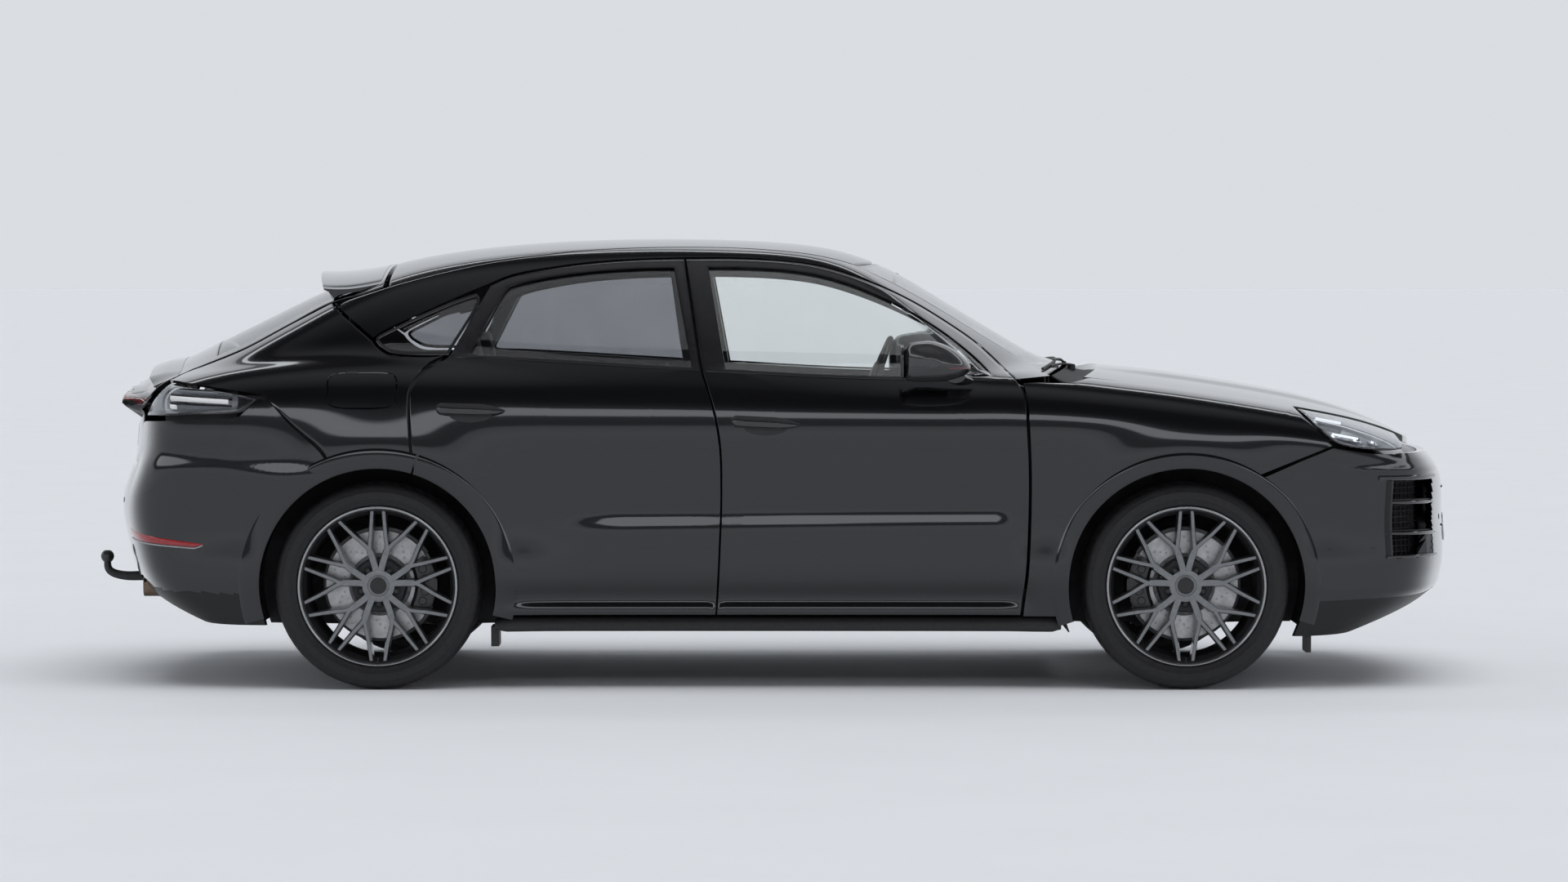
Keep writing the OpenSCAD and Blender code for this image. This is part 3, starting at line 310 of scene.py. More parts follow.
rd_loop = np.vstack([seg([[-1029.4, 262], [-236, 262]], 40), seg(b_low, 38), seg(b_up, 22), seg(r_top, 50), seg(r_shut, 50), seg(r_arch, 50, False)])
rw_loop = np.vstack([seg([[-800, 1180], [-520, 1163]], 40), seg([[-520, 1163], [-322, 1151]], 38), seg([[-322, 1151], [-390, 1512]], 22),
    seg([[-390, 1512], [-520, 1510], [-690, 1498], [-860, 1475], [-985, 1446]], 50), seg([[-985, 1446], [-1010, 1415], [-1110, 1232], [-1125, 1205]], 21), seg([[-1125, 1205], [-1120, 1198], [-1000, 1191]], 29), seg([[-1000, 1191], [-800, 1180]], 50)])

def rows(A, B, t):
    return A[None] + (B - A)[None] * np.asarray(t)[:, None, None]

def onside(R, depth):
    """points on the left side of the car from (X, Z), set back by depth"""
    y = sy(R[..., 0], R[..., 1])
    return np.stack([R[..., 0], y - depth, R[..., 1]], -1)

def ledge(x, z):
    """swage along the lower doors and the flare above the skirt"""
    x = np.asarray(x, float); zc = 566 + 14 * smooth(-900, 900, x)
    w = smooth(-930, -560, x) * (1 - smooth(760, 880, x))
    up = np.clip((z - zc) / 80, 0, 1); dn = np.clip((zc - z) / 210, 0, 1)
    return 15.0 * w * np.where(z > zc, (1 - up)**2 * (1 + 2 * up), (1 - dn)**2 * (1 + 2 * dn)) + 7.0 * np.exp(-((z - 300) / 26)**2) * (z > 250) * smooth(-1000, -930, x) * (1 - smooth(840, 880, x))

def hem(t, edge, width):
    """depth of a rounded edge: t runs from the rim, in mm"""
    return edge * (1 - np.sqrt(np.clip(1 - (1 - np.clip(t / width, 0, 1))**2, 0, 1)))

def tuck(P, t):
    """inner skin: level behind the flanks, straight down below the top"""
    n = normal(P); k = np.clip((n[..., 2] - .3) / .4, 0, 1)
    return P - np.stack([0 * k, t * (1 - k), t * k], -1)
DOOR_T, FRAME_T = 110., 44.
def door_depth(z): return DOOR_T + (FRAME_T - DOOR_T) * np.clip((z - 1075) / 60, 0, 1)

def door_panel(name, L, W, node, body, mirror):
    A = inset(L, GAP)
    t = ts((0, .004, 3), (.004, .02, 2), (.02, .2, 20), (.2, .6, 24), (.6, 1, 14))
    R = rows(A, W, t)
    span = np.linalg.norm(W - A, axis=1)[None] * t[:, None]
    d = hem(span, 4.0, 3.5) + hem(np.linalg.norm(W - A, axis=1)[None] * (1 - t[:, None]), 4.0, 4.0)
    O = onside(R, 0); O[..., 1] += ledge(R[..., 0], R[..., 1]) - d
    t2 = np.linspace(0, 1, 14)
    S = rows(inset(L, 16), inset(W, -6), t2)
    I = onside(S, 0); I[..., 1] -= door_depth(S[..., 1])
    M, K = len(t), L.shape[0]
    V = np.concatenate([O.reshape(-1, 3), I.reshape(-1, 3)]); N = M * K; M2 = len(t2)
    F = grid_faces(K, M - 1, 0, True, True) + grid_faces(K, M2 - 1, N, False, True)
    nout = len(F) - K * (M2 - 1)
    for k in range(K):
        k2 = (k + 1) % K
        F.append((k, k2, N + k2, N + k)); F.append(((M - 1) * K + k2, (M - 1) * K + k, N + (M2 - 1) * K + k, N + (M2 - 1) * K + k2))
    fm = [2 if all(i >= N for i in f) else 0 for f in F]
    return mesh(name, V, F, PAINT, body, node, "paint", mirror=mirror, auto=38, mats=[PAINT, BLACKP, DARKP], fmat=fm)

def pane_mesh(W, d, th, ins=2.0, t=None):
    A = inset(W, ins); c = A.mean(0)
    t = np.linspace(0, .97, 12) if t is None else t
    R = np.stack([A + (c - A) * k for k in t])
    O = onside(R, d); I = onside(R, d + th)
    V, F = ring_mesh(O, I)
    M, K = O.shape[:2]
    # the ring's inner rim is closed by two small caps
    F = [f for f in F if not (len(f) == 4 and {f[0] // K, f[1] // K} == {M - 1} and {f[2] // K, f[3] // K} == {2 * M - 1})]
    F.append(tuple(range((M - 1) * K, M * K))[::-1]); F.append(tuple(range((2 * M - 1) * K, 2 * M * K)))
    return V, F

for sd, mir in (("right", True), ("left", False)):
    door_panel(f"{sd}_front_door_panel", fd_loop, fw_loop, f"{sd}_front_door", f"{sd}_front_door", mir)
    door_panel(f"{sd}_rear_door_panel", rd_loop, rw_loop, f"{sd}_rear_door", f"{sd}_rear_door", mir)
    V, F = pane_mesh(fw_loop, 10, 5); mesh(f"{sd}_front_glass", V, F, GLASS, f"{sd}_front_door", f"{sd}_front_window", "clear_glass", mirror=mir, auto=40)
    V, F = pane_mesh(rw_loop, 10, 5); mesh(f"{sd}_rear_glass", V, F, TINT, f"{sd}_rear_door", f"{sd}_rear_window", "dark_glass", mirror=mir, auto=40)

# hood
def hy(x):
    x = np.asarray(x, float)
    return np.where(x < 1700, 742 - 20 * (np.maximum(0, x - 1150) / 550)**2, 722 - 0.00076 * (x - 1700)**2 - 0.03 * (x - 1700))
HB, HF = 1178., 2340.
def hood_dome(x, y):
    # two soft ridges towards the nose
    w = smooth(HB - 100, HB + 250, x) * smooth(HF + 10, HF - 420, x)
    return w * (9 * (1 - smooth(300, 430, np.abs(y))) - 3)
def hood_grid(nu, nv):
    u = ts((0, .004, 3), (.004, .03, 3), (.03, .97, nu), (.97, .996, 3), (.996, 1, 3))
    v = ts((-1, -.994, 3), (-.994, -.95, 3), (-.95, .95, nv), (.95, .994, 3), (.994, 1, 3))
    U, Vv = np.meshgrid(u, v, indexing="ij")
    x = HB - 90 * Vv**2 + (HF - 60 * Vv**2 - HB + 90 * Vv**2) * U
    y = Vv * (hy(HB - 90 + (HF - 60 - HB + 90) * U) - GAP)
    z = tz(x, y) + hood_dome(x, y)
    du = np.minimum(U, 1 - U) * 1160; dv = (1 - np.abs(Vv)) * 730
    z = z - hem(np.minimum(du, dv), 4, 4)
    return np.stack([x, y, z], -1)
O = hood_grid(70, 70)
I = O.copy(); I[..., 2] -= 20 - 0.0 * O[..., 2]
V, F = sheet_mesh(O, I)
mesh("hood_skin", V, [f[::-1] for f in F], PAINT, "hood", "hood", "paint", auto=38)

# fenders
def gapline(x): return np.stack([x, tz(x, hy(x) + GAP)], -1)
fen_out = np.vstack([seg([[863, 262], [884, 451], [892, 715], [886, 920], [876, 1050], [866, 1096]], 40), seg([[866, 1096], [915, 1098], [975, 1096], [1040, 1098]], 16),
    even(np.vstack([[[1040, 1098]], gapline(np.array([1110., 1250, 1380, 1510, 1640, 1760, 1848]))]), 50)[:-1], full(np.vstack([gapline(np.array([1848.])), [[1852, 1000], [1900, 945], [1974, 876]]]), 16)])
nf = len(fen_out) - 1
fen_in = arc(WB2, AR, 194.6, 62, nf)
tf = ts((0, .006, 2), (.006, .3, 14), (.3, .85, 20), (.85, 1, 12))
RF = rows(fen_in, fen_out, tf)
OF = onside(RF, 0)
spanf = np.linalg.norm(fen_out - fen_in, axis=1)[None]
OF[..., 1] -= hem(spanf * tf[:, None], 5, 5) + hem(spanf * (1 - tf[:, None]), 4, 4)
IF = tuck(onside(RF, 0), 22.)
V, F = sheet_mesh(OF, IF)
V2 = V * np.array([1, -1, 1]); nV = len(V)
Fb = [f[::-1] for f in F]
mesh("front_fender_skins", np.vstack([V, V2]), Fb + [tuple(i + nV for i in f[::-1]) for f in Fb], PAINT, "body", "front_fenders", "paint", auto=38)

# roof edge, roof, windshield
rail_up = [[966, 1123], [892, 1167], [774, 1238], [656, 1311], [538, 1382], [420, 1447], [302, 1503], [243, 1528], [125, 1556], [7, 1571], [-170, 1583], [-347, 1586], [-524, 1583], [-700, 1574], [-878, 1556], [-1055, 1532], [-1217, 1498], [-1400, 1450], [-1541, 1407], [-1627, 1384]]
rail_low = f_top + r_top[1:] + [[-1165, 1404], [-1330, 1330], [-1428, 1284], [-1476, 1256]]
RU = dense(rail_up)[::-1]
def ry(x): return sy(x, np.interp(x, RU[:, 0], RU[:, 1]))
A = full(np.array(rail_low) + [0, GAP], 150); B = full(np.array(rail_up) - [0, 1.5], 150)
tr = ts((0, .06, 3), (.06, .94, 12), (.94, 1, 3))
R = rows(A[::-1], B[::-1], tr); sp = np.linalg.norm(B - A, axis=1)[::-1][None]
O = onside(R, 0); O[..., 1] -= hem(sp * tr[:, None], 4, 4) + hem(sp * (1 - tr[:, None]), 3, 4)
I = onside(R, 0) - np.stack([0 * R[..., 0], 40 * (1 - tr)[:, None] + 0 * R[..., 0] + 4, 26 * tr[:, None] + 0 * R[..., 0] + 3], -1)
V, F = sheet_mesh(O, I); nV = len(V)
def rail_fm(F, V):
    # every face takes the paint
    return [0 for f in F]
mesh("roof_rail_skins", np.vstack([V, V * [1, -1, 1]]), F + [tuple(i + nV for i in f[::-1]) for f in F], PAINT, "body", "roof_rails", "paint", auto=38)

def across(c0, e0, c1, e1, nu, nv, d=0., edge=3.):
    u = ts((0, .006, 3), (.006, .994, nu), (.994, 1, 3)); v = ts((-1, -.994, 3), (-.994, .994, nv), (.994, 1, 3))
    U, Vv = np.meshgrid(u, v, indexing="ij")
    xe = e0 + (e1 - e0) * U; ye = ry(xe[:, 0])[:, None] - GAP; xc = c0 + (c1 - c0) * U
    x = xc - (xc - xe) * Vv**2; y = Vv * ye
    z = tz(x, y) - d
    du = np.minimum(U, 1 - U) * abs(c1 - c0); dv = (1 - np.abs(Vv)) * 600
    return np.stack([x, y, z - hem(np.minimum(du, dv), edge, 4)], -1)
O = across(338, 258, -1428, -1428, 70, 60)
V, F = sheet_mesh(O, O - [0, 0, 24]); mesh("roof_skin", V, F, BLACKP, "body", "roof_panel", "gloss_black", auto=38)
O = across(1048, 958, 348, 268, 50, 60, 2.)
V, F = sheet_mesh(O, O - [0, 0, 6]); mesh("windshield_glass", V, F, GLASS, "body", "windshield", "clear_glass", auto=38)

# rear quarter panels
ang36 = np.radians(np.arange(36) * 10 - 70.)
def flap_loop(n, a=124, b=64):
    t = np.radians(np.linspace(-70, 290, n, endpoint=False)); c, s = np.cos(t), np.sin(t)
    return np.stack([-1503 + a * np.sign(c) * np.abs(c)**.42, 1072 + b * np.sign(s) * np.abs(s)**.42], -1)
tg_side = [[-1640, 1386], [-1800, 1302], [-1956, 1218], [-2100, 1160], [-2175, 1132], [-2225, 1103]]
QN = (44, 34, 20, 40, 24, 26, 22)
q_loop = np.vstack([seg([[-1318, 780], [-1330, 930], [-1334, 1008], [-1330, 1070], [-1303, 1124], [-1256, 1173], [-1214, 1198]], QN[0]),
    seg([[-1214, 1198], [-1311, 1195], [-1414, 1202], [-1462, 1232], [-1476, 1250]], QN[1]), seg([[-1476, 1250], [-1640, 1386]], QN[2]), seg(tg_side, QN[3]),
    seg([[-2225, 1103], [-2060, 1080], [-1862, 1050]], QN[4]), seg([[-1862, 1050], [-1750, 945], [-1639, 848], [-1608, 772]], QN[5]), seg(arc(-WB2, AR, 112, 72.6, 30), QN[6], False)])
def quarter(hole):
    A = inset(q_loop, GAP + 2); K = len(A)
    d = q_loop - [-1503, 1072]; d = d / np.linalg.norm(d, axis=1)[:, None]
    H = np.array([-1503, 1072]) + d / ((np.abs(d[:, :1]) / 124)**4.8 + (np.abs(d[:, 1:]) / 64)**4.8)**(1 / 4.8)
    if not hole: H = np.array([-1503, 1072]) + (H - [-1503, 1072]) * .02
    t = ts((0, .01, 3), (.01, .97, 30), (.97, 1, 3)); R = rows(A, H, t); sp = np.linalg.norm(H - A, axis=1)[None]
    O = onside(R, 0); O[..., 1] -= hem(sp * t[:, None], 4, 4) + (hem(sp * (1 - t[:, None]), 3, 3) if hole else 0)
    t2 = np.linspace(0, 1, 8); S = rows(inset(q_loop, GAP + 9), H, t2)
    I = tuck(onside(S, 0), 14.)
    N, M, M2 = len(t) * K, len(t), len(t2)
    V = np.concatenate([O.reshape(-1, 3), I.reshape(-1, 3)])
    F = grid_faces(K, M - 1, 0, True, True) + grid_faces(K, M2 - 1, N, False, True)
    for k in range(K):
        k2 = (k + 1) % K
        F.append((k, k2, N + k2, N + k)); F.append(((M - 1) * K + k2, (M - 1) * K + k, N + (M2 - 1) * K + k, N + (M2 - 1) * K + k2))
    return V, F
VL, FL = quarter(False); VR, FR = quarter(True)
mesh("rear_quarter_skins", np.vstack([VL, VR * [1, -1, 1]]), FL + [tuple(i + len(VL) for i in f[::-1]) for f in FR], PAINT, "body", "rear_quarter_panels", "paint", auto=38)
V, F = pane_mesh(flap_loop(120), 0, 5, 2.5); mesh("fuel_flap", V, F, PAINT, "fuel_door", "fuel_door", "paint", mirror=True, auto=40)
qw_loop = np.vstack([seg([[-1206, 1206], [-1300, 1206], [-1405, 1214], [-1446, 1236]], 30), seg([[-1446, 1236], [-1456, 1252], [-1444, 1262]], 12),
    seg([[-1444, 1262], [-1318, 1324], [-1172, 1387], [-1110, 1408]], 40), seg([[-1110, 1408], [-1102, 1396], [-1206, 1206]], 30)])
qw_loop = qw_loop[::-1]
V, F = pane_mesh(qw_loop, 4, 5, 2); nV = len(V)
mesh("rear_quarter_glass", np.vstack([V, V * [1, -1, 1]]), F + [tuple(i + nV for i in f[::-1]) for f in F], TINT, "body", "rear_quarter_windows", "dark_glass", auto=40)

# tailgate
def tgp(R, t=0.):
    a = np.radians(R[..., 1]); D = np.stack([np.cos(a), 0 * a, np.sin(a)], -1); P = np.stack([0 * a - 1500, R[..., 0], 0 * a + 800], -1)
    return P + D * (hit(P, D, 1300) - t)[..., None]
def tga(x, z, m): return [float(sy(x, z)) - m, math.degrees(math.atan2(z - 800, x + 1500))]
NS, NC = 60, 40
tg_s = np.array([tga(x, z, 11) for x, z in full([[-1450, 1437], [-1520, 1414]] + tg_side[:4], NS)])
tg_c = full([tga(x, z, 11) for x, z in tg_side[3:]] + [[676, 164], [630, 170], [618, 175], [585, 178.5], [540, 180]], NC)
tgr = np.vstack([tg_s[:-1], tg_c])
rw_s = np.stack([tg_s[:, 0] - 53, 88.2 + (146 - 88.2) * (tg_s[:, 1] - tg_s[0, 1]) / (tg_s[-1, 1] - tg_s[0, 1])], -1)
def rw_low(v): return np.stack([v * rw_s[-1, 0], 143.5 + 2.5 * v * v], -1)
rwr = np.vstack([rw_s[:-1], rw_low(1 - .5 * np.linspace(0, 1, NC + 1))])
k = np.linspace(-1, 1, 60, endpoint=False)
tg_loop = np.vstack([np.stack([k * tgr[0, 0], 0 * k + tgr[0, 1]], -1), tgr[:-1], np.stack([-k * 540, 0 * k + 180.], -1), (tgr[::-1] * [-1, 1])[:-1]])
rwin = np.vstack([np.stack([k * rwr[0, 0], 0 * k + 88.2], -1), rwr[:-1], rw_low(-k * .5), (rwr[::-1] * [-1, 1])[:-1]])
t = ts((0, .01, 3), (.01, .98, 30), (.98, 1, 3))
R = rows(tg_loop[::-1], rwin[::-1], t)
dd = np.minimum(t, 1 - t)[:, None] * 220
O = tgp(R, hem(dd + 0 * R[..., 0], 4, 4)); I = tgp(R); I = I - 22 * normal(I)
V, F = ring_mesh(O, I); mesh("tailgate_skin", V, F, PAINT, "tailgate", "tailgate", "paint", auto=38)
v = np.linspace(1, -1, 49); c = np.linspace(88.2, 143.5, NS + 1)
Rg = np.stack([v[None] * (rw_s[:, :1] - 5), c[:, None] + (rw_s[:, 1:2] - c[:, None]) * v[None]**2], -1); Rg[0, :, 1] += .5; Rg[-1, :, 1] -= .5
V, F = sheet_mesh(tgp(Rg, 3.), tgp(Rg, 8.)); mesh("rear_glass", V, F, TINT, "tailgate", "rear_window", "dark_glass", auto=40)

# bumpers: (angle, Z) about an upright line inside each end
def coons(Bt, T, Lf, Rt):
    U, Vn = len(Bt) - 1, len(Lf) - 1
    u = np.linspace(0, 1, U + 1)[None, :, None]; v = np.linspace(0, 1, Vn + 1)[:, None, None]
    return (1 - v) * Bt[None] + v * T[None] + (1 - u) * Lf[:, None] + u * Rt[:, None] - ((1 - u) * (1 - v) * Bt[0] + u * (1 - v) * Bt[-1] + (1 - u) * v * T[0] + u * v * T[-1])
def about(x0, s, G, t=0.):
    a = np.radians(G[..., 0]); D = np.stack([s * np.cos(a), np.sin(a), 0 * a], -1); P = np.stack([0 * a + x0, 0 * a, G[..., 1]], -1)
    return P + D * (hit(P, D, 1600) - t)[..., None]
def angp(x0, s, x, z): return [math.degrees(math.atan2(float(sy(x, z)), s * (x - x0))), z]
def archx(c, s, z): return c + s * math.sqrt(max(0, AR * AR - (z - WZ)**2))
def bumper_grid(x0, s, edge, top, zb, nu, nv, stepped):
    Rr = full([angp(x0, s, x, z) for x, z in edge], nv)
    T = np.vstack([np.array(top), [[0, top[-1][1]]]])
    T = dense(T, nu // (len(T) - 1)) if stepped else full(T, nu, False)
    Tt = np.vstack([T * [-1, 1], T[::-1][1:]])
    n = len(Tt) - 1
    Bt = np.stack([np.linspace(-Rr[0, 0], Rr[0, 0], n + 1), np.full(n + 1, float(zb))], -1)
    return coons(Bt, Tt, Rr * [-1, 1], Rr)
fb_edge = [[archx(WB2, 1, z), z] for z in (190, 260, 330, 400, 500, 600, 680, 742)]
fb_top = [angp(1700, 1, x, z) for x, z in [[1661, 747], [1739, 773], [1848, 820], [1973, 870], [2050, 858], [2120, 848], [2180, 845], [2240, 850]]] + [[30, 846], [20, 848], [10, 850]]
rb_edge = [[archx(-WB2, -1, z), z] for z in (230, 300, 372, 450, 550, 650, 720, 766)]
rb_top = [angp(-1700, -1, x, z) for x, z in [[-1606, 772], [-1639, 850], [-1747, 948], [-1861, 1048], [-1950, 980], [-2100, 972], [-2225, 966]]] + [[47.6, 958], [46.8, 900], [45.4, 830], [43, 794], [36, 787], [27, 786], [18, 786], [9, 786]]
GF = bumper_grid(1700, 1, fb_edge, fb_top, 190, 110, 80, False)
GR = bumper_grid(-1700, -1, rb_edge, rb_top, 230, 105, 80, True)

def holed(O, I, keep):
    """sheet with cells left out, walled all round"""
    Vn, Un = O.shape[0] - 1, O.shape[1] - 1; N = (Un + 1) * (Vn + 1)
    V = np.concatenate([O.reshape(-1, 3), I.reshape(-1, 3)]); F = []; src = []
    o = lambda u, v: v * (Un + 1) + u
    def on(u, v): return 0 <= u < Un and 0 <= v < Vn and keep[v, u]
    for v in range(Vn):
        for u in range(Un):
            if not keep[v, u]: continue
            a, b, c, d = o(u, v), o(u + 1, v), o(u + 1, v + 1), o(u, v + 1)
            q = [(a, b, c, d), (N + a, N + d, N + c, N + b)]
            if not on(u, v - 1): q.append((b, a, N + a, N + b))
            if not on(u, v + 1): q.append((d, c, N + c, N + d))
            if not on(u - 1, v): q.append((a, d, N + d, N + a))
            if not on(u + 1, v): q.append((c, b, N + b, N + c))
            F += q; src += [(u, v)] * len(q)
    used = np.unique(np.concatenate([np.array(f) for f in F])); back = -np.ones(len(V), int); back[used] = np.arange(len(used))
    return V[used], [tuple(back[i] for i in f) for f in F], src
def cell_mask(G, lim):
    """cells whose middle lies in any of the (|angle| from, to, Z from, to) blocks"""
    c = (G[:-1, :-1] + G[1:, :-1] + G[:-1, 1:] + G[1:, 1:]) / 4; m = np.zeros(c.shape[:2], bool)
    for a0, a1, z0, z1 in lim: m |= (np.abs(c[..., 0]) >= a0) & (np.abs(c[..., 0]) < a1) & (c[..., 1] >= z0) & (c[..., 1] < z1)
    return m
FH = [(46.5, 62.5, 470, 752), (0, 30, 372, 560), (0, 27, 610, 700)]
RH = [(0, 8, 0, 372), (35.5, 46.5, 0, 392)]
for nm, x0, s, G, holes, zcut in (("front_bumper", 1700, 1, GF, FH, 300.), ("rear_bumper", -1700, -1, GR, RH, 372.)):
    O = about(x0, s, G); I = about(x0, s, G, 30.)
    a_, z_ = np.abs(G[..., 0]), G[..., 1]
    if s < 0:
        # ledge round the corner under the lamps
        zl = np.interp(a_, [40, 55, 70, 85, 105], [796, 788, 772, 756, 742]); win = smooth(108, 92, a_) * smooth(44, 56, a_)
        up = np.clip((z_ - zl) / 75, 0, 1); dn = np.clip((zl - z_) / 220, 0, 1)
        h_ = 11 * win * np.where(z_ > zl, (1 - up)**2 * (1 + 2 * up), (1 - dn)**2 * (1 + 2 * dn))
    else:
        # brow over the side intakes and the lower lip
        h_ = 5 * np.exp(-((z_ - 782) / 16)**2) * smooth(80, 66, a_) * smooth(30, 42, a_) + 7 * np.exp(-((z_ - 352) / 22)**2) * smooth(92, 70, a_)
    O = O + h_[..., None] * normal(O); I = I + np.minimum(h_, 0)[..., None] * normal(I)
    keep = ~cell_mask(G, holes)
    V, F, src = holed(O, I, keep)
    cz = np.array([G[v, :, 1].mean() for v in range(G.shape[0] - 1)]); zl_ = (lambda a: np.interp(a, [30, 100], [352, 296])) if s > 0 else (lambda a: np.interp(a, [35, 60, 110], [392, 350, 322]))
    fm = [1 if G[v, u, 1] + 3 < zl_(abs(G[v, u, 0])) else 0 for u, v in src]
    mesh(nm + "_skin", V, F, PAINT, "body", nm, "paint", auto=38, mats=[PAINT, LOWB], fmat=fm)

# ------------------------------------------------------------------ wheels
def revolve(prof, n, rmod=None):
    """closed (radius, out) profile turned about the axle"""
    prof = np.array(prof, float); K = len(prof); a = np.radians(np.linspace(0, 360, n, endpoint=False))
    R = np.broadcast_to(prof[:, 0], (n, K)).copy()
    if rmod is not None: R = R - rmod(np.arange(n)[:, None], prof[None, :, 0], prof[None, :, 1])
    V = np.stack([R * np.cos(a)[:, None], np.broadcast_to(prof[:, 1], (n, K)), R * np.sin(a)[:, None]], -1).reshape(-1, 3)
    F = [(i * K + k, i * K + (k + 1) % K, ((i + 1) % n) * K + (k + 1) % K, ((i + 1) % n) * K + k) for i in range(n) for k in range(K)]
    return V, F

def merge(*parts):
    V, F, M, off = [], [], [], 0
    for p in parts:
        v, f = p[0], p[1]; V.append(np.asarray(v, float)); F += [tuple(i + off for i in q) for q in f]; M += [p[2] if len(p) > 2 else 0] * len(f); off += len(v)
    return np.vstack(V), F, M

def loft(secs, cap=True):
    """closed sections of equal count joined into a solid"""
    S = np.array(secs, float); m, K = S.shape[:2]
    F = [(i * K + k, i * K + (k + 1) % K, (i + 1) * K + (k + 1) % K, (i + 1) * K + k) for i in range(m - 1) for k in range(K)]
    if cap: F += [tuple(range(K))[::-1], tuple(range((m - 1) * K, m * K))]
    return S.reshape(-1, 3), F

def cyl(p, d, r, h, n=24, bev=0.0, r2=None):
    """round bar from p along d, with its ends eased"""
    d = np.array(d, float); d /= np.linalg.norm(d); u = np.cross(d, [0, 0, 1.] if abs(d[2]) < .9 else [1., 0, 0]); u /= np.linalg.norm(u); v = np.cross(d, u)
    a = np.radians(np.linspace(0, 360, n, endpoint=False))
    ring = lambda rr, t: np.array(p, float) + d * t + rr * (np.cos(a)[:, None] * u + np.sin(a)[:, None] * v)
    r2 = r if r2 is None else r2
    s = [ring(r - bev, 0), ring(r, bev), ring(r2, h - bev), ring(r2 - bev, h)] if bev else [ring(r, 0), ring(r2, h)]
    return loft(s)

def box(lo, hi, bev=3.0):
    """a block with chamfered edges"""
    lo, hi = np.array(lo, float), np.array(hi, float); b = min(bev, *(0.45 * (hi - lo)))
    def ring(x, i):
        y0, y1, z0, z1 = lo[1] + i, hi[1] - i, lo[2] + i, hi[2] - i
        return [[x, y0 + b, z0], [x, y1 - b, z0], [x, y1, z0 + b], [x, y1, z1 - b], [x, y1 - b, z1], [x, y0 + b, z1], [x, y0, z1 - b], [x, y0, z0 + b]]
    return loft([ring(lo[0], b * .9), ring(lo[0] + b, 0), ring(hi[0] - b, 0), ring(hi[0], b * .9)])

def turn(V, deg, c=(0, 0)):
    a = math.radians(deg); x, z = V[:, 0] - c[0], V[:, 2] - c[1]
    return np.stack([c[0] + x * math.cos(a) - z * math.sin(a), V[:, 1], c[1] + x * math.sin(a) + z * math.cos(a)], -1)

half = TW / 2
side_prof = [(271, 112), (274, 118), (283, 121), (289, 127), (291, 131), (296, 134.5), (299, 134.2), (303, 137), (312, 140.5), (313, 141.6), (326, 142.3), (338, 141.2), (339, 140), (348, 136.5), (356, 130.5), (361, 124.5), (365, 116), (367.6, 107)]
tread_o = [98, 88, 80, 74, 73, 63, 62, 50, 40, 29, 28, 18, 17, 8]
groove = lambda o: 7.0 if 62.5 <= abs(o) <= 73.5 and abs(o) in (73, 63) else (7.0 if abs(o) in (28, 18) else 0.0)
crown = lambda o: 371 - 0.00028 * o * o
outer_half = side_prof + [(crown(o) - groove(o), o) for o in tread_o]
tprof = outer_half + [(r, -o) for r, o in outer_half[::-1]] + [(269.5, -104), (269.5, 104)]
def tread(i, r, o):
    ao = np.abs(o); on = (r > 360)
    ph = np.where(o > 0, i + np.floor((ao - 60) / 14), i + 3 - np.floor((ao - 60) / 14))
    sh = on & (ao > 74.5) & (ao < 118) & (np.mod(ph, 6) == 0)
    mid = on & (ao < 62.5) & (ao > 28.5) & (np.mod(i + np.floor(ao / 12), 6) == 2)
    return 5.0 * sh + 3.0 * mid
TYV, TYF = revolve(tprof, 300, tread)

# rim: barrel, twin-leg spokes, hub, cap and bolts
barrel = [(282, 121), (285.5, 123.5), (287, 128), (285.5, 132), (282, 133), (278.5, 131.5), (276.5, 127.5), (272, 125.5), (270.5, 121), (268, 108), (262, 100), (259.5, 92), (256, 60), (254, 10), (252, -60), (252, -96), (257, -108), (268, -114), (281, -118), (286, -124), (284.5, -129), (280, -130), (287, -131.5), (289, -126), (286, -119), (270.3, -112), (262, -96), (262, 90), (270.3, 112)]
fo = lambda r: 90 + 25 * smooth(55, 290, r)
def spoke(path, w, depth, dip=0.0):
    P = np.array(path, float); secs = []
    T = np.gradient(P, axis=0); T /= np.linalg.norm(T, axis=1)[:, None]; Nn = np.stack([-T[:, 1], T[:, 0]], -1)
    for p, n, ww, dd in zip(P, Nn, w, depth):
        o = float(fo(np.hypot(*p))) - dip
        pts = [(-.5 * ww, 0), (-.5 * ww - 1.6, -1.6), (-.5 * ww - 2.6, -9), (-.5 * ww - 5.5, -dd), (.5 * ww + 5.5, -dd), (.5 * ww + 2.6, -9), (.5 * ww + 1.6, -1.6), (.5 * ww, 0)]
        secs.append([[p[0] + n[0] * a, o + b, p[1] + n[1] * a] for a, b in pts])
    return loft(secs)
def line(a, b, n): return [np.array(a) + (np.array(b) - np.array(a)) * t for t in np.linspace(0, 1, n)]
parts_face = []
node = np.array([31., 126.])
for sgn in (1, -1):
    m = np.array([sgn, 1.])
    stem = dense([m * (7, 44), m * (13, 70), m * (22, 100), m * node], 4)
    a = dense([m * (24.5, 106), m * (31, 130), m * (27, 180), m * (20.3, 276)], 6)
    b = dense([m * (25, 108), m * (37, 134), m * (90, 183), m * (144.6, 238)], 6)
    k = len(stem); parts_face.append(spoke(stem, np.linspace(21, 20, k), np.linspace(34, 36, k)))
    k = len(a); parts_face.append(spoke(a, np.interp(np.linspace(0, 1, k), [0, .3, 1], [16, 11.5, 9.5]), np.linspace(36, 42, k)))
    k = len(b); parts_face.append(spoke(b, np.interp(np.linspace(0, 1, k), [0, .3, 1], [16, 11.5, 9.5]), np.linspace(36, 42, k)))
faceV, faceF, _ = merge(*parts_face)
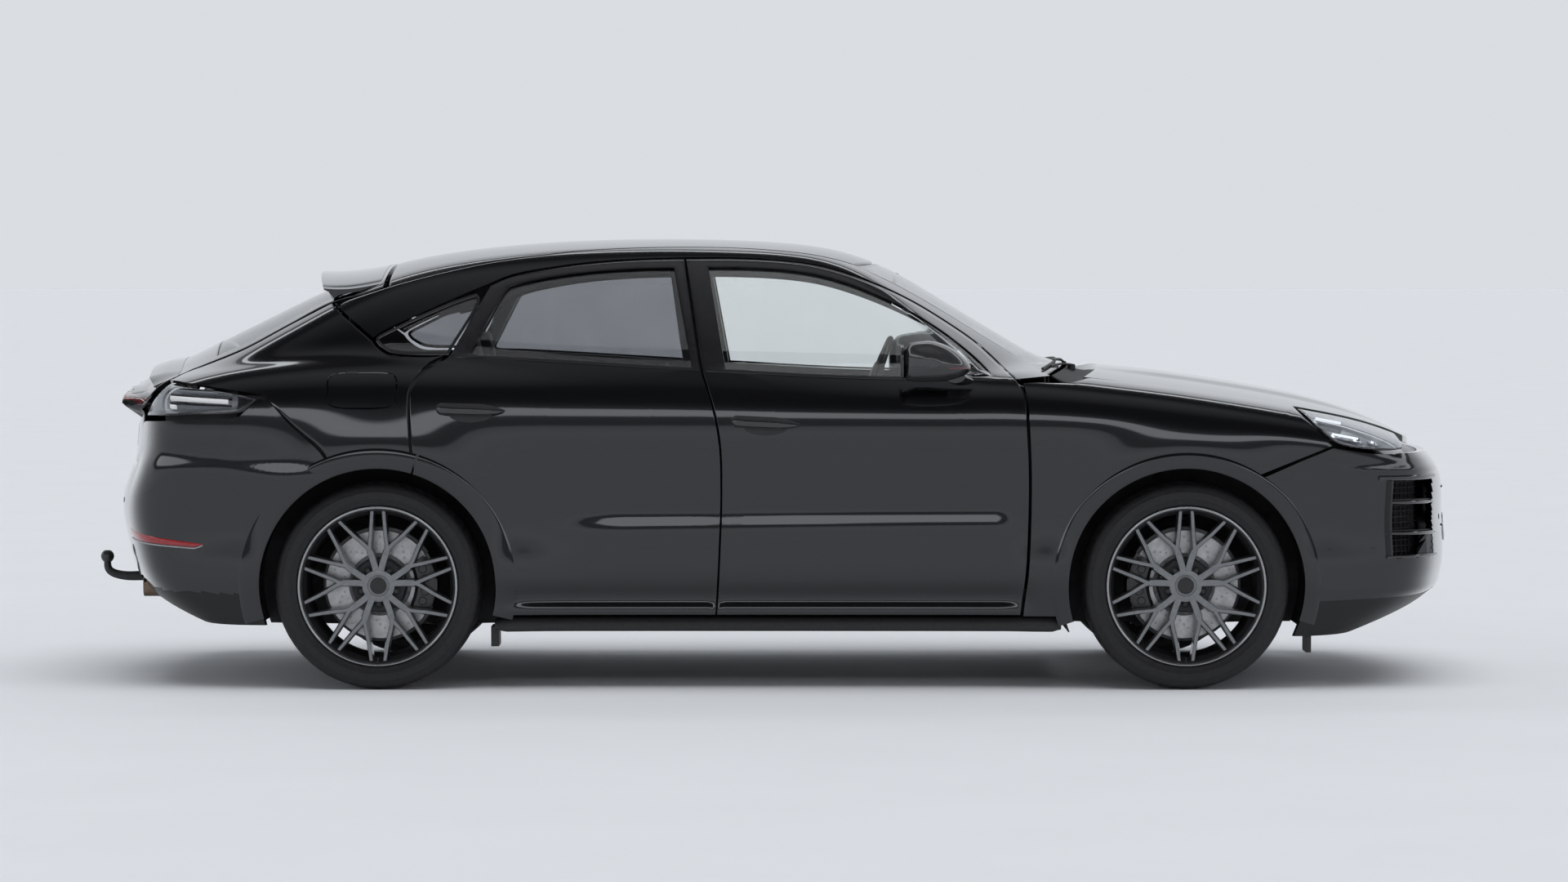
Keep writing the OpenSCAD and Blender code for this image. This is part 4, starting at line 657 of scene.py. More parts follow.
spokes = [(turn(faceV, 72 * i), faceF) for i in range(5)]
hub = [(0, 93), (30, 93.5), (33, 92), (34, 89.5), (37, 89.5), (39, 91.5), (52, 91), (58, 88), (61, 78), (61, 44), (0, 44)]
pads = []
for i in range(5):
    # seat of a bolt between two stems
    q = [[-31, 46], [31, 46], [36, 92], [34, 95], [-34, 95], [-36, 92]]
    s = [[[x, o, z] for x, z in q] for o in (46, 66)] + [[[x * .965, 68.5, 46 + (z - 46) * .965] for x, z in q]]
    v, f = loft(s); pads.append((turn(v, -36 + 72 * i), f))
cap = [(0, 97.5), (14, 97.2), (24, 95.8), (29.5, 94), (31, 92.5), (31, 90), (0, 90)]
bolts = []
for i in range(5):
    for pr in ([(0, 84), (7.2, 84), (8.6, 82.6), (8.8, 72), (12.5, 70), (13.5, 66), (0, 66)],):
        v, f = revolve(pr, 12); v = v + [0, 0, 0]; c = np.array([65 * math.cos(math.radians(54 + 72 * i)), 0, 65 * math.sin(math.radians(54 + 72 * i))]); bolts.append((v + c, f, 2))
    # dark ring round each bolt: painted shade of the hole it sits in
    v, f = revolve([(13.8, 69.2), (16.5, 69.2), (17.2, 71), (15.2, 71.2), (14.2, 70.4)], 24); bolts.append((v + c, f, 1))
valve = cyl([0, 112, -258], (0, .55, -.5), 3.4, 26, 12, .6)
# barrel, bolt seats and bolt rings take the darker alloy copy: painted shade in the rim's recesses
RV, RF, RM = merge((*revolve(barrel, 144), 1), *[(v, f, 0) for v, f in spokes], (*revolve(hub, 72), 0), *[(v, f, 1) for v, f in pads], (*revolve(cap, 48), 3), *bolts, (*valve, 2))
# the outer lip of the barrel takes a brighter copy of the alloy: a painted highlight
cent = np.array([RV[list(f)].mean(0) for f in RF]); cr = np.hypot(cent[:, 0], cent[:, 2])
RM = [4 if (m == 1 and r > 274.5 and o > 119) else m for m, r, o in zip(RM, cr, cent[:, 1])]

# brake disc: two rings, vanes between, hat and bolts
disc = [(112, 8), (194, 8), (195.5, 6.5), (195.5, -3), (112, -3)]
disc2 = [(112, -11), (195.5, -11), (195.5, -20.5), (194, -22), (112, -22)]
hat = [(0, 40), (84, 40), (92, 37), (96, 30), (100, 12), (113, 9), (114, 5), (112, 2), (96, 2), (88, 30), (0, 30)]
dp = [(*revolve(disc, 120), 0), (*revolve(disc2, 120), 0), (*revolve(hat, 96), 1)]
for i in range(48):
    v, f = box([116, -12, -2.2], [194, -2, 2.2], .8); dp.append((turn(v, 7.5 * i), f, 1))
for i in range(10):
    a = math.radians(36 * i + 18); dp.append((*cyl([101 * math.cos(a), 8, 101 * math.sin(a)], (0, 1, 0), 5.5, 9, 10, 1), 1))
# small drilled dimples round the ring
for i in range(60):
    a = math.radians(6 * i); r = 130 + 14 * (i % 4)
    v, f = revolve([(2.4, 7.6), (3.8, 7.6), (3.9, 8.5), (2.4, 8.3)], 8); dp.append((v + [r * math.cos(a), 0, r * math.sin(a)], f, 1))
DV, DF, DM = merge(*dp)

# caliper about the axle, centred on angle 180
def caliper():
    ps = []
    def sector(a0, a1, prof, n=14, taper=0.0):
        secs = []
        for t in np.linspace(0, 1, n):
            a = math.radians(a0 + (a1 - a0) * t); e = 1 - taper * (abs(2 * t - 1)**4)
            pm = np.array(prof, float).mean(0)
            secs.append([[(pm[0] + (r - pm[0]) * e) * math.cos(a), pm[1] + (o - pm[1]) * e, (pm[0] + (r - pm[0]) * e) * math.sin(a)] for r, o in prof])
        return loft(secs)
    ps.append((*sector(146, 214, [(128, 16), (134, 12), (186, 12), (206, 16), (210, 26), (204, 44), (190, 50), (140, 48), (128, 38)], 20, .12), 0))
    ps.append((*sector(148, 212, [(130, -28), (200, -28), (206, -36), (200, -56), (138, -58), (130, -46)], 14, .1), 0))
    for a in (152, 180, 208):
        ps.append((*sector(a - 6, a + 6, [(198, -52), (204, -50), (213, -20), (214, 20), (208, 44), (199, 46), (199, 14), (198, -30)], 5), 0))
    for a in (160, 172, 188, 200):
        c = math.radians(a); ps.append((*cyl([166 * math.cos(c), 44, 166 * math.sin(c)], (0, 1, 0), 15, 9, 24, 2.5), 0))
    for a in (150, 210):
        c = math.radians(a); ps.append((*cyl([192 * math.cos(c), 44, 192 * math.sin(c)], (0, 1, 0), 7, 12, 6, 1), 1))
    for a in (154, 206):
        c = math.radians(a); ps.append((*cyl([203 * math.cos(c), 20, 203 * math.sin(c)], (math.cos(c), 0, math.sin(c)), 4.5, 16, 8, .8), 1))
    # pads
    ps.append((*sector(150, 210, [(128, 8.6), (192, 8.6), (192, 11.8), (128, 11.8)], 12), 1)); ps.append((*sector(150, 210, [(128, -27.6), (192, -27.6), (192, -22.6), (128, -22.6)], 12), 1))
    return merge(*ps)
CV, CF, CM = caliper()

# wheel carrier: hub bearing, upright, arms' eyes and dust shield
def carrier(c):
    ps = [(*revolve([(0, 28), (46, 28), (50, 24), (50, -6), (66, -10), (68, -40), (60, -96), (44, -110), (0, -110)], 48), 0)]
    ps.append((*revolve([(70, -27), (205, -27), (207, -25), (205, -24), (70, -24)], 72), 1))
    up = [(-46, -150), (-26, -168), (26, -168), (46, -150), (60, -60), (66, 0), (60, 70), (34, 150), (22, 186), (-22, 186), (-34, 150), (-60, 70), (-66, 0), (-60, -60)]
    s = [[[x * k, o, z * k] for x, z in up] for o, k in ((-122, .93), (-116, 1), (-84, 1), (-78, .93))]
    ps.append((*loft(s), 0))
    for z, x in ((176, 0), (-150, -30), (-150, 30), (-60, -c * 58)):
        ps.append((*cyl([x - 26, -100, z], (1, 0, 0), 19, 52, 20, 2), 0)); ps.append((*cyl([x - 30, -100, z], (1, 0, 0), 9, 60, 12, 1), 1))
    # bracket to the caliper
    for zz in (-52, 52):
        ps.append((*box([min(c * 40, c * 176), -104, zz - 16], [max(c * 40, c * 176), -62, zz + 16], 6), 0))
    return merge(*ps)

for sd, mir in (("right", True), ("left", False)):
    for en, x in (("front", WB2), ("rear", -WB2)):
        C = np.array([x, HT, WZ]); nm = f"{sd}_{en}"
        mesh(f"{nm}_tyre_tread", TYV + C, TYF, TYRE, f"{nm}_wheel", f"{nm}_tyre", "tyre", mirror=mir, auto=32)
        mesh(f"{nm}_rim_face", RV + C, RF, ALLOY, f"{nm}_wheel", f"{nm}_rim", "alloy", mirror=mir, auto=30, mats=[ALLOY, RIM_RECESS_SHADE, STEEL, SATIN, RIM_LIP_HIGHLIGHT], fmat=RM)
        mesh(f"{nm}_brake_disc", DV + C, DF, DISC, f"{nm}_wheel", None, "alloy", mirror=mir, auto=30, mats=[DISC, HATM], fmat=DM)
        c = -1 if en == "front" else 1
        cv = CV * ([1, 1, 1] if c < 0 else [-1, 1, 1]); cf = CF if c < 0 else [f[::-1] for f in CF]
        kv, kf, km = carrier(c)
        V, F, M = merge((cv, cf, 0), (kv, kf, 1))
        M = list(CM) + [2 + k for k in km]
        if en == "front":
            mesh(f"{nm}_carrier", V + C, F, CAST, f"{nm}_knuckle", f"{nm}_knuckle", "castings", mirror=mir, auto=32, mats=[CALIPER, STEEL, CAST, HATM], fmat=M)
        else:
            mesh(f"{nm}_carrier", V + C, F, CAST, "body", "rear_knuckles", "castings", mirror=mir, auto=32, mats=[CALIPER, STEEL, CAST, HATM], fmat=M)

# ------------------------------------------------------------------ trim on the sides
def both_sides(V, F):
    n = len(V); return np.vstack([V, np.asarray(V) * [1, -1, 1]]), list(F) + [tuple(i + n for i in f[::-1]) for f in F]
def pair(name, V, F, mat_, body="body", node=None, slot=None, **k):
    V, F = both_sides(V, F); fm = k.pop("fmat", None)
    return mesh(name, V, F, mat_, body, node, slot, fmat=None if fm is None else list(fm) * 2, **k)

def patch(loop, off, back=2.0, n=8, inner=0.03):
    """closed lid over the side skin: off(t) is its height from rim (0) to middle (1)"""
    A = np.asarray(loop, float); c = A.mean(0)
    t = np.linspace(0, 1 - inner, n); R = np.stack([A + (c - A) * k for k in t])
    O = onside(R, 0) + np.stack([0 * R[..., 0], np.array([off(k) for k in t])[:, None] + 0 * R[..., 0], 0 * R[..., 0]], -1)
    I = onside(R, back); M, K = O.shape[:2]; N = M * K
    V = np.concatenate([O.reshape(-1, 3), I.reshape(-1, 3)])
    F = grid_faces(K, M - 1, 0, True, True) + grid_faces(K, M - 1, N, False, True)
    F += [(k, (k + 1) % K, N + (k + 1) % K, N + k) for k in range(K)]
    F += [tuple(range((M - 1) * K, M * K))[::-1], tuple(range(N + (M - 1) * K, N + M * K))]
    return V, F

def band(A, B, off, back=3.0, n=4):
    """closed band over the side skin between two loops"""
    t = np.linspace(0, 1, n + 1); R = rows(np.asarray(A, float), np.asarray(B, float), t)
    O = onside(R, 0); O[..., 1] += np.array([off(k) for k in t])[:, None]
    return ring_mesh(O, onside(R, back))

# wheel arch mouldings
def arch(cx, a0, a1, r1, n, proud=7.0):
    a = np.radians(np.linspace(a0, a1, n + 1))
    rr = [421.5, 421.5, 423, 427, 436, 452, 470, r1 - 10, r1 - 3, r1, r1]
    hh = [-44, 2, 5, 7.2, 8.2, 8.4, 7.4, 5.2, 3.6, 1.5, -8]
    O = []
    for r, h in zip(rr, hh):
        x, z = cx + r * np.cos(a), WZ + r * np.sin(a); xs, zs = cx + max(r, 430) * np.cos(a), WZ + max(r, 430) * np.sin(a)
        O.append(np.stack([x, sy(xs, zs) + h, z], -1))
    O = np.array(O); I = O.copy(); I[..., 1] -= np.interp(np.arange(len(rr)), [0, 2, 9, 10], [6, 12, 10, 3])[:, None]
    I[0, :, 1] = O[0, :, 1] - 4
    return sheet_mesh(O, I)
V, F = arch(WB2, -17, 197.5, 480, 120); pair("front_arch_mouldings", V, F, PAINT, auto=40)
V, F = arch(-WB2, 73.2, 196, 496, 80); pair("rear_arch_mouldings", V, F, PAINT, auto=40)
V, F = arch(-WB2, -14.2, 72.2, 496, 60)
for sd, mir in (("right", True), ("left", False)):
    mesh(f"{sd}_rear_door_arch_moulding", V, F, PAINT, f"{sd}_rear_door", None, "paint", mirror=mir, auto=40)

# side skirts and deflectors
xs = np.concatenate([np.linspace(-1030, -960, 6), np.linspace(-900, 900, 40), np.linspace(950, 1000, 6)])
secs = []
for x in xs:
    e = 1.0 - 0.35 * smooth(-985, -1030, x) - 0.3 * smooth(965, 1000, x)
    yo = min(float(sy(x, 300)) - 6, 936)
    secs.append([[x, 700, 206], [x, yo - 60, 204], [x, yo - 22, 205], [x, yo - 4, 211], [x, yo + 2, 222], [x, yo - 2, 236], [x, yo - 9, 248], [x, yo - 22, 256], [x, yo - 60, 258], [x, 700, 258]])
    secs[-1] = [[p[0], p[1] if p[1] <= 700 else 700 + (p[1] - 700) * (1 - 0.03 * (1 - e)), 230 + (p[2] - 230) * e] for p in secs[-1]]
V, F = loft(secs); ps = [(V, F)]
inner = loft([[[x, 700, 256], [x, 756, 256], [x, 764, 264], [x, 762, 340], [x, 754, 346], [x, 700, 346]] for x in np.linspace(-1000, 1000, 12)])
ps.append(inner)
for x0, x1, zb in ((-1046, -1018, 150), (1884, 1902, 128)):
    # small deflectors ahead of the wheels
    ps.append(loft([[[x, 742, 222], [x, 880, 222], [x, 880 - 4, zb + k], [x, 876, zb], [x, 750, zb], [x, 742, zb + k]] for x, k in ((x0, 6), (x0 + 3, 3), (x1 - 3, 3), (x1, 6))]))
V, F, _ = merge(*ps); pair("side_skirts", V, F, SATIN, node="sills", slot="underbody", auto=35)

# window surrounds, gloss black
def expand(l, d): return inset(l, -d)
f_e = np.vstack([seg([[0, 1125], [300, 1112], [560, 1107], [700, 1106]], 44), seg([[700, 1106], [800, 1107], [826, 1111], [822, 1122]], 40),
    seg([[822, 1122]] + [[x - 3, z - 6] for x, z in f_top[1:-1]] + [[-346, 1539]], 84), seg([[-346, 1539], [-277, 1138]], 22), seg([[-277, 1138], [-140, 1132], [0, 1125]], 38)])
r_e = np.vstack([seg([[-800, 1171], [-520, 1154]], 40), seg([[-520, 1154], [-296, 1142]], 38), seg([[-296, 1142], [-360, 1538]], 22),
    seg([[-360, 1538]] + [[x, z - 6] for x, z in r_top[1:-1]] + [[-1052, 1444]], 50), seg([[-1052, 1444], [-1062, 1432], [-1120, 1328], [-1192, 1200]], 21), seg([[-1192, 1200], [-1184, 1192], [-1060, 1186]], 29), seg([[-1060, 1186], [-800, 1171]], 50)])
lip = lambda t: 2.4 - 2.2 * (2 * t - 1)**6
for sd, mir in (("right", True), ("left", False)):
    V, F = band(f_e, inset(fw_loop, 2), lip, 14, 6); mesh(f"{sd}_front_window_surround", V, F, BLACKP, f"{sd}_front_door", None, "gloss_black", mirror=mir, auto=40)
    V, F = band(r_e, inset(rw_loop, 2), lip, 14, 6); mesh(f"{sd}_rear_window_surround", V, F, BLACKP, f"{sd}_rear_door", None, "gloss_black", mirror=mir, auto=40)
V, F = band(expand(qw_loop, 9), inset(qw_loop, 2), lip, 12, 3); pair("quarter_window_surrounds", V, F, BLACKP, auto=40)

# pull handles
def handle(x0, x1, zc, sl):
    ps = []
    L = x1 - x0
    u = np.linspace(0, 1, 60)
    def zline(t): return zc - sl * (t - .5) * L
    prof = lambda t: 19 * np.clip(t / .06, 0, 1)**.5 * (1 - np.clip((t - .62) / .38, 0, 1)**1.7) + 1.5
    up = np.stack([x0 + u * L, zline(u) + 4 + prof(u)], -1); dn = np.stack([x0 + u[::-1] * L, zline(u[::-1]) + 2 - prof(u[::-1])], -1)
    ps.append((*patch(np.vstack([dn[::-1], up[::-1]]), lambda t: .9, 2, 4), 0))
    a = np.radians(np.linspace(0, 360, 48, endpoint=False)); moon = np.stack([x0 + .5 * L + 78 * np.cos(a), zline(.5) - 12 + 30 * np.sin(a)], -1)
    ps.append((*patch(moon, lambda t: 1.0, 2, 4), 0))
    secs = []
    for t in np.linspace(0, 1, 26):
        x = x0 + 4 + t * (L - 8); z = zline(t); h = 13.5 * min(1, (t / .05 + .25))**.5 * (1 - max(0, (t - .55) / .45)**2 * .82); y = float(sy(x, z)); st = 26 * (1 - (2 * abs(t - .5))**5) + 2; d = 7.5
        ring = [(-1, 0), (-.8, .75), (0, 1.05), (.6, .9), (1, .25), (.95, -.5), (.5, -.95), (-.5, -.95)]
        secs.append([[x, y + st + d * q, z + h * p] for p, q in ring])
    ps.append((*loft(secs), 1))
    return merge(*ps)
for sd, mir in (("right", True), ("left", False)):
    for nm, a in (("rear", (-1238, -990, 1000, .03)), ("front", (-182, 66, 953, .05))):
        V, F, M = handle(*a); mesh(f"{sd}_{nm}_pull_handle", V, F, BLACKP, f"{sd}_{nm}_door", None, "gloss_black", mirror=mir, auto=45, mats=[SATIN, BLACKP], fmat=M)

# door mirrors
mo = full([[427, 1165], [434, 1210], [455, 1240], [499, 1250], [540, 1249], [600, 1228], [650, 1190], [672, 1160], [671, 1146], [655, 1128], [600, 1110], [514, 1104], [448, 1110], [430, 1128], [427, 1165]], 72)[:-1]
def mirror_mesh():
    c = np.array([545., 1170.]); secs = []
    ys = [918, 922, 930, 944, 962, 984, 1008, 1030, 1050, 1066, 1078, 1086, 1091, 1093]
    for y in ys:
        k = (1 - abs((y - 985) / 109.5)**2.6)**.5 if y > 985 else (1 - .5 * abs((y - 985) / 75)**2.2)
        sec = c + (mo - c) * max(k, .05)
        # keep the glass side flat and let the shell sweep back
        sec[:, 0] = np.maximum(sec[:, 0] - .10 * (y - 985), 431 - .05 * (y - 985))
        secs.append(np.stack([sec[:, 0], 0 * sec[:, 0] + y, sec[:, 1]], -1))
    V, F = loft(secs); M = [0 if np.mean([V[i][2] for i in f]) > 1163 else 1 for f in F]
    ps = [(V, F)]
    g = [[[430, 944 + 1.0 * q[0], q[1]] for q in full([[0, 1128], [20, 1116], [60, 1113], [104, 1118], [120, 1140], [122, 1180], [112, 1216], [80, 1232], [30, 1234], [6, 1220], [-4, 1180], [0, 1128]], 40)[:-1]]]
    gl = np.array(g[0]); gc = gl.mean(0); rim = [gl + [2, 0, 0], gl + [-5, 0, 0], gc + (gl - gc) * .93 + [-6, 0, 0], gc + (gl - gc) * .9 + [-2.5, 0, 0]]
    ps.append(loft(rim)); M += [1] * len(ps[-1][1])
    gq = gc + (gl - gc) * .9; ps.append(loft([gq + [2, 0, 0], gq + [-3.4, 0, 0]])); M += [2] * len(ps[-1][1])
    foot = []
    for t in np.linspace(0, 1, 8):
        y = 905 + t * 60; xc = 640 - 20 * t; zc = 1106 + 14 * t; a = 46 - 12 * t; b = 17 + 4 * t
        foot.append([[xc + a * math.cos(q), y, zc + b * math.sin(q)] for q in np.radians(np.linspace(0, 360, 24, endpoint=False))])
    ps.append(loft(foot)); M += [1] * len(ps[-1][1])
    # repeater strip
    st = []
    for y in np.linspace(1000, 1084, 10):
        k = (1 - abs((y - 985) / 109.5)**2.6)**.5; x = 545 + (672 - 545) * k - .10 * (y - 985)
        st.append([[x - 3, y, 1150], [x + 1.5, y, 1150], [x + 2, y, 1154], [x + 1.5, y, 1158], [x - 3, y, 1158]])
    ps.append(loft(st)); M += [3] * len(ps[-1][1])
    V, F, _ = merge(*ps); return V, F, M
MV, MF, MM = mirror_mesh()
for sd, mir in (("right", True), ("left", False)):
    mesh(f"{sd}_mirror_shell", MV, MF, WEAVE, f"{sd}_front_door", f"{sd}_mirror", "gloss_black", mirror=mir, auto=40, mats=[WEAVE, BLACKP, MIRRORG, SMOKE], fmat=MM)

# ------------------------------------------------------------------ front and rear ends
BRONZE = mat("bronze_tip_steel", (0.15, 0.105, 0.075), 0.24, 1.0, 0.3, 0.08, (40, 0.15), bump=(500, 0.08, 0.0003), rvar=0.06)
RADI = mat("radiator_core", (0.022, 0.022, 0.023), 0.55, 0.5, var=(300, 0.4), bump=(420, 0.7, 0.002), grain="cell")
HAZE = mat("lamp_lens", (0.93, 0.95, 0.97), 0.02, trans=1.0, var=(3, 0.01), ior=1.32)
SILVER = mat("lamp_silver_tub", (0.34, 0.345, 0.365), 0.42, 0.35, 0.4, 0.05, (110, 0.1), bump=(420, 0.10, 0.0004))
BARL = mat("light_bar", (0.80, 0.78, 0.78), 0.22, var=(120, 0.05), emit=((0.95, 0.93, 0.93), 0.35))

LEDS = mat("thin_led_bar", (0.93, 0.95, 1.0), 0.2, var=(120, 0.04), emit=((0.93, 0.96, 1.0), 0.8))
STRIPR = mat("dark_red_strip", (0.13, 0.012, 0.016), 0.10, 0.0, 1.0, 0.02, (120, 0.25), bump=(600, 0.08, 0.0004), grain="cell")

def sweep(P, N, prof, up=(0, 0, 1)):
    """profile (out, up) carried along a path with its own outward directions"""
    P = np.asarray(P, float); N = np.asarray(N, float); up = np.asarray(up, float)
    return loft([[p + a * n + b * up for a, b in prof] for p, n in zip(P, N)])
def rounded(w, h, k=.28):
    a = min(w, h) * k
    return [(-w / 2 + a, -h / 2), (w / 2 - a, -h / 2), (w / 2, -h / 2 + a), (w / 2, h / 2 - a), (w / 2 - a, h / 2), (-w / 2 + a, h / 2), (-w / 2, h / 2 - a), (-w / 2, -h / 2 + a)]
def flatn(P):
    n = normal(P); n[..., 2] = 0; return n / np.linalg.norm(n, axis=-1)[..., None]
def lidgrid(A, B, n):
    t = np.linspace(0, 1, n + 1)[:, None, None]; return A[None] + (B - A)[None] * t

# headlights: silver tub, light bars, modules, clear lens
lx = np.array([1866, 1924, 1992, 2060, 2120, 2180, 2236.])
ltop = full(np.stack([lx, gapline(lx)[:, 1] - 5], -1), 60)
lbot = full([[1866, 1002], [1915, 952], [1984, 888], [2050, 868], [2120, 862], [2180, 860], [2236, 866]], 60)
Rl = lidgrid(lbot, ltop, 30); Sl = onside(Rl, 0); Nl = normal(Sl)
uu = np.linspace(0, 1, 61)[None]; vv = np.linspace(0, 1, 31)[:, None]
ed = np.minimum(np.minimum(uu, 1 - uu) * 370, np.minimum(vv, 1 - vv) * (np.linalg.norm(ltop - lbot, axis=1)[None] + 6))
def lens_of(S, N, d0, th, edge):
    d = d0 + np.where(edge < 4, (1 - np.clip(edge / 4, 0, 1)) * 3, 0)
    return sheet_mesh(S - d[..., None] * N, S - (d + th)[..., None] * N)
V, F = lens_of(Sl, Nl, 0.6, 3.0, ed); pair("headlight_lenses", V, F, HAZE, slot="lamp", auto=40)
dep = 5.5 + 44 * smooth(3, 46, ed)
V, F = sheet_mesh(Sl - dep[..., None] * Nl, Sl - (dep + 4)[..., None] * Nl)
tubfm = [1 if ed.reshape(-1)[min(f) % ed.size] < 9 else 0 for f in F]
pair("headlight_tubs", V, F, SILVER, node="headlights", slot="lamp", auto=40, mats=[SILVER, LAMPIN], fmat=tubfm)
def bar_on(p0, p1, d, prof, n=10):
    q = np.array([np.array(p0) + (np.array(p1) - np.array(p0)) * t for t in np.linspace(0, 1, n)]); S = onside(q, 0); N = normal(S)
    return sweep(S - d * N, N, prof)
ps = [(*bar_on((1919, 976), (2013, 958), 9, rounded(7, 5)), 0), (*bar_on((1972, 920), (2066, 902), 9, rounded(7, 5)), 0)]
for p0, p1 in (((1915, 967), (2016, 947)), ((1968, 910), (2070, 891))): ps.append((*bar_on(p0, p1, 24, rounded(22, 4)), 3))
for x, z in ((1996, 934), (2076, 918), (2140, 912)):
    S = onside(np.array([[x, z]]), 0)[0]; N = normal(S[None])[0]
    ps += [(*cyl(S - 46 * N, N, 24, 12, 28, 2), 3), (*cyl(S - 36 * N, N, 17, 6, 28, 2, 12), 2)]
V, F, M = merge(*ps); pair("headlight_modules", V, F, LED, slot="lamp", auto=40, mats=[LEDS, LAMPIN, REFL, SILVER], fmat=M)

# tail lights: black frame, silver tub, long bar
tb = full([angp(-1700, -1, x, z) for x, z in [[-1885, 1038], [-1915, 1010], [-1955, 992], [-2090, 986], [-2205, 981]]] + [[53, 979], [49.4, 977]], 80)
tt = full([angp(-1700, -1, x, z) for x, z in [[-1885, 1042], [-1940, 1056], [-2060, 1074], [-2205, 1095]]] + [[57.2, 1098]], 80)
Rt = lidgrid(tb, tt, 24); St = about(-1700, -1, Rt); Nt = normal(St)
uu = np.linspace(0, 1, 81)[None]
et = np.minimum(np.minimum(uu, 1 - uu) * 420, np.minimum(np.linspace(0, 1, 25)[:, None], 1 - np.linspace(0, 1, 25)[:, None]) * (np.abs(tt - tb)[:, 1][None] + 3))
V, F = lens_of(St, Nt, 0.4, 3.0, et); pair("tail_light_lenses", V, F, HAZE, slot="lamp", auto=40)
dep = 5 + 24 * smooth(5, 26, et)
V, F = sheet_mesh(St - dep[..., None] * Nt, St - (dep + 4)[..., None] * Nt)
fx = (V[:, 0] > -1948)
tubfm = [1 if et.reshape(-1)[min(f) % et.size] < 9 or fx[min(f)] else 0 for f in F]
pair("tail_light_tubs", V, F, SILVER, node="tail_lights", slot="lamp", auto=40, mats=[SILVER, BLACKP], fmat=tubfm)
ps = [(*bar_on((-2202, 1047), (-1985, 1033), 10, rounded(12, 15)), 0), (*bar_on((-2200, 1016), (-2178, 1014), 10, rounded(12, 14)), 0), (*bar_on((-2203, 1060), (-1972, 1044), 13, rounded(16, 4)), 1), (*bar_on((-2203, 1030), (-1972, 1019), 13, rounded(16, 4)), 1)]
V, F, M = merge(*ps); pair("tail_light_bars", V, F, BARL, slot="lamp", auto=40, mats=[BARL, LAMPIN], fmat=M)

# full-width rear strip, lip blade, plate recess and blank plate on the tailgate
def rear_strip(w0, w1, a0, a1, proud, n=6):
    A = np.linspace(a0, a1, n + 1)[:, None]; v = np.linspace(-1, 1, 81)[None]; Y = v * (w0 + (w1 - w0) * (A - a0) / (a1 - a0)); R = np.stack([Y, A + 0 * Y], -1)
    e = np.minimum(np.linspace(0, 1, n + 1), 1 - np.linspace(0, 1, n + 1))[:, None] * 12 * (a1 - a0) + 0 * Y
    return sheet_mesh(tgp(R, -proud + proud * (1 - np.clip(e / 5, 0, 1))**2), tgp(R, 6.))

V, F = rear_strip(672, 640, 162.4, 167.2, 1.5); mesh("rear_strip_frame", V, F, BLACKP, "tailgate", None, "gloss_black", auto=40)
V, F = rear_strip(668, 652, 163.6, 165.6, 3.0); mesh("rear_light_strip", V, F, STRIPR, "tailgate", None, "red_lamp", auto=40)
yl = np.linspace(-640, 640, 65); secs = []
for y in yl:
    v = abs(y) / 640; r = np.array([[y, 152.5 + 3 * v * v]]); b = tgp(r, -1.)[0]; r2 = tgp(np.array([[y, 157.5 + 3 * v * v]]), -1.)[0]
    k = 1 - .75 * smooth(.8, 1, v); tip = r2 + np.array([-28, 0, 16]) * k
    mid = (b + tip) / 2 + np.array([2, 0, 5]) * k
    secs.append([b, mid, tip + [3, 0, 2], tip, tip + [2, 0, -4], r2 + [2, 0, -2 * k], (r2 + b) / 2 - [0, 0, 6]])
V, F = loft(secs); mesh("lip_blade", V, F, PAINT, "tailgate", None, "paint", auto=50)
def plate_on(f, w, z0, z1, proud, th, n=24, m=8):
    """thin blank plate with rolled edge bent to the panel"""
    A, Z = np.meshgrid(np.linspace(-1, 1, n + 1), np.linspace(0, 1, m + 1)); k = np.maximum(np.abs(A), np.abs(2 * Z - 1)); S = f(A * w, z0 + (z1 - z0) * Z); N = normal(S)
    h = proud + th - th * smooth(.93, 1, k) + .8 * np.exp(-((k - .93) / .02)**2); return sheet_mesh(S + h[..., None] * N, S - 2 * N)
on_gate = lambda y, a: tgp(np.stack(np.broadcast_arrays(y, a), -1))
V1 = plate_on(on_gate, 268, 170.6, 177.4, 0.5, 2.0); V2 = plate_on(on_gate, 256, 171.2, 176.8, 2.5, 1.5)
V, F, M = merge((*V1, 0), (*V2, 1)); mesh("rear_plate", V, F, BLACKP, "tailgate", None, "trim", auto=40, mats=[BLACKP, PLATE], fmat=M)

# roof spoiler: crowned blade with end vanes reaching down to the tailgate frame
secs = []
for y in np.linspace(-600, 600, 61):
    v = abs(y) / 560; e = smooth(.80, .93, v); c = smooth(.97, 1.075, v)
    us = np.linspace(0, 1, 12); xs_ = -1462 + (-1716 + 1462) * us; xs_ = xs_ + 40 * v * v * us
    base = tz(xs_, np.full(12, min(abs(y), 575.)))
    top = base + (6 + 8 * us) + 60 * us**2 - 3 * (1 - us)**6 - 10 * c
    low = top - (5 + 8 * np.minimum(1, us * 4) * (1 - us**6))
    vane = np.where(us < .78, np.maximum(base + 2.0, top - 88), low - 60 * (1 - smooth(.78, .94, us)))
    low = low + (np.minimum(vane, low) - low) * e * smooth(.02, .2, us) * (1 - .55 * c)
    secs.append([[x, y, z] for x, z in zip(xs_, top)] + [[xs_[-1] + 1.5, y, top[-1] - 5]] + [[x, y, z] for x, z in zip(xs_[::-1][1:], low[::-1][1:])])
V, F = loft(secs); mesh("roof_spoiler_blade", V, F, PAINT, "tailgate", "roof_spoiler", "paint", auto=45)
ys2 = np.linspace(-520, 520, 41); tipP = np.array([[-1716 + 40 * (y / 560)**2 + 30, y, float(tz(np.array([-1690.]), np.array([abs(y)]))[0]) + 42] for y in ys2[10:31]])
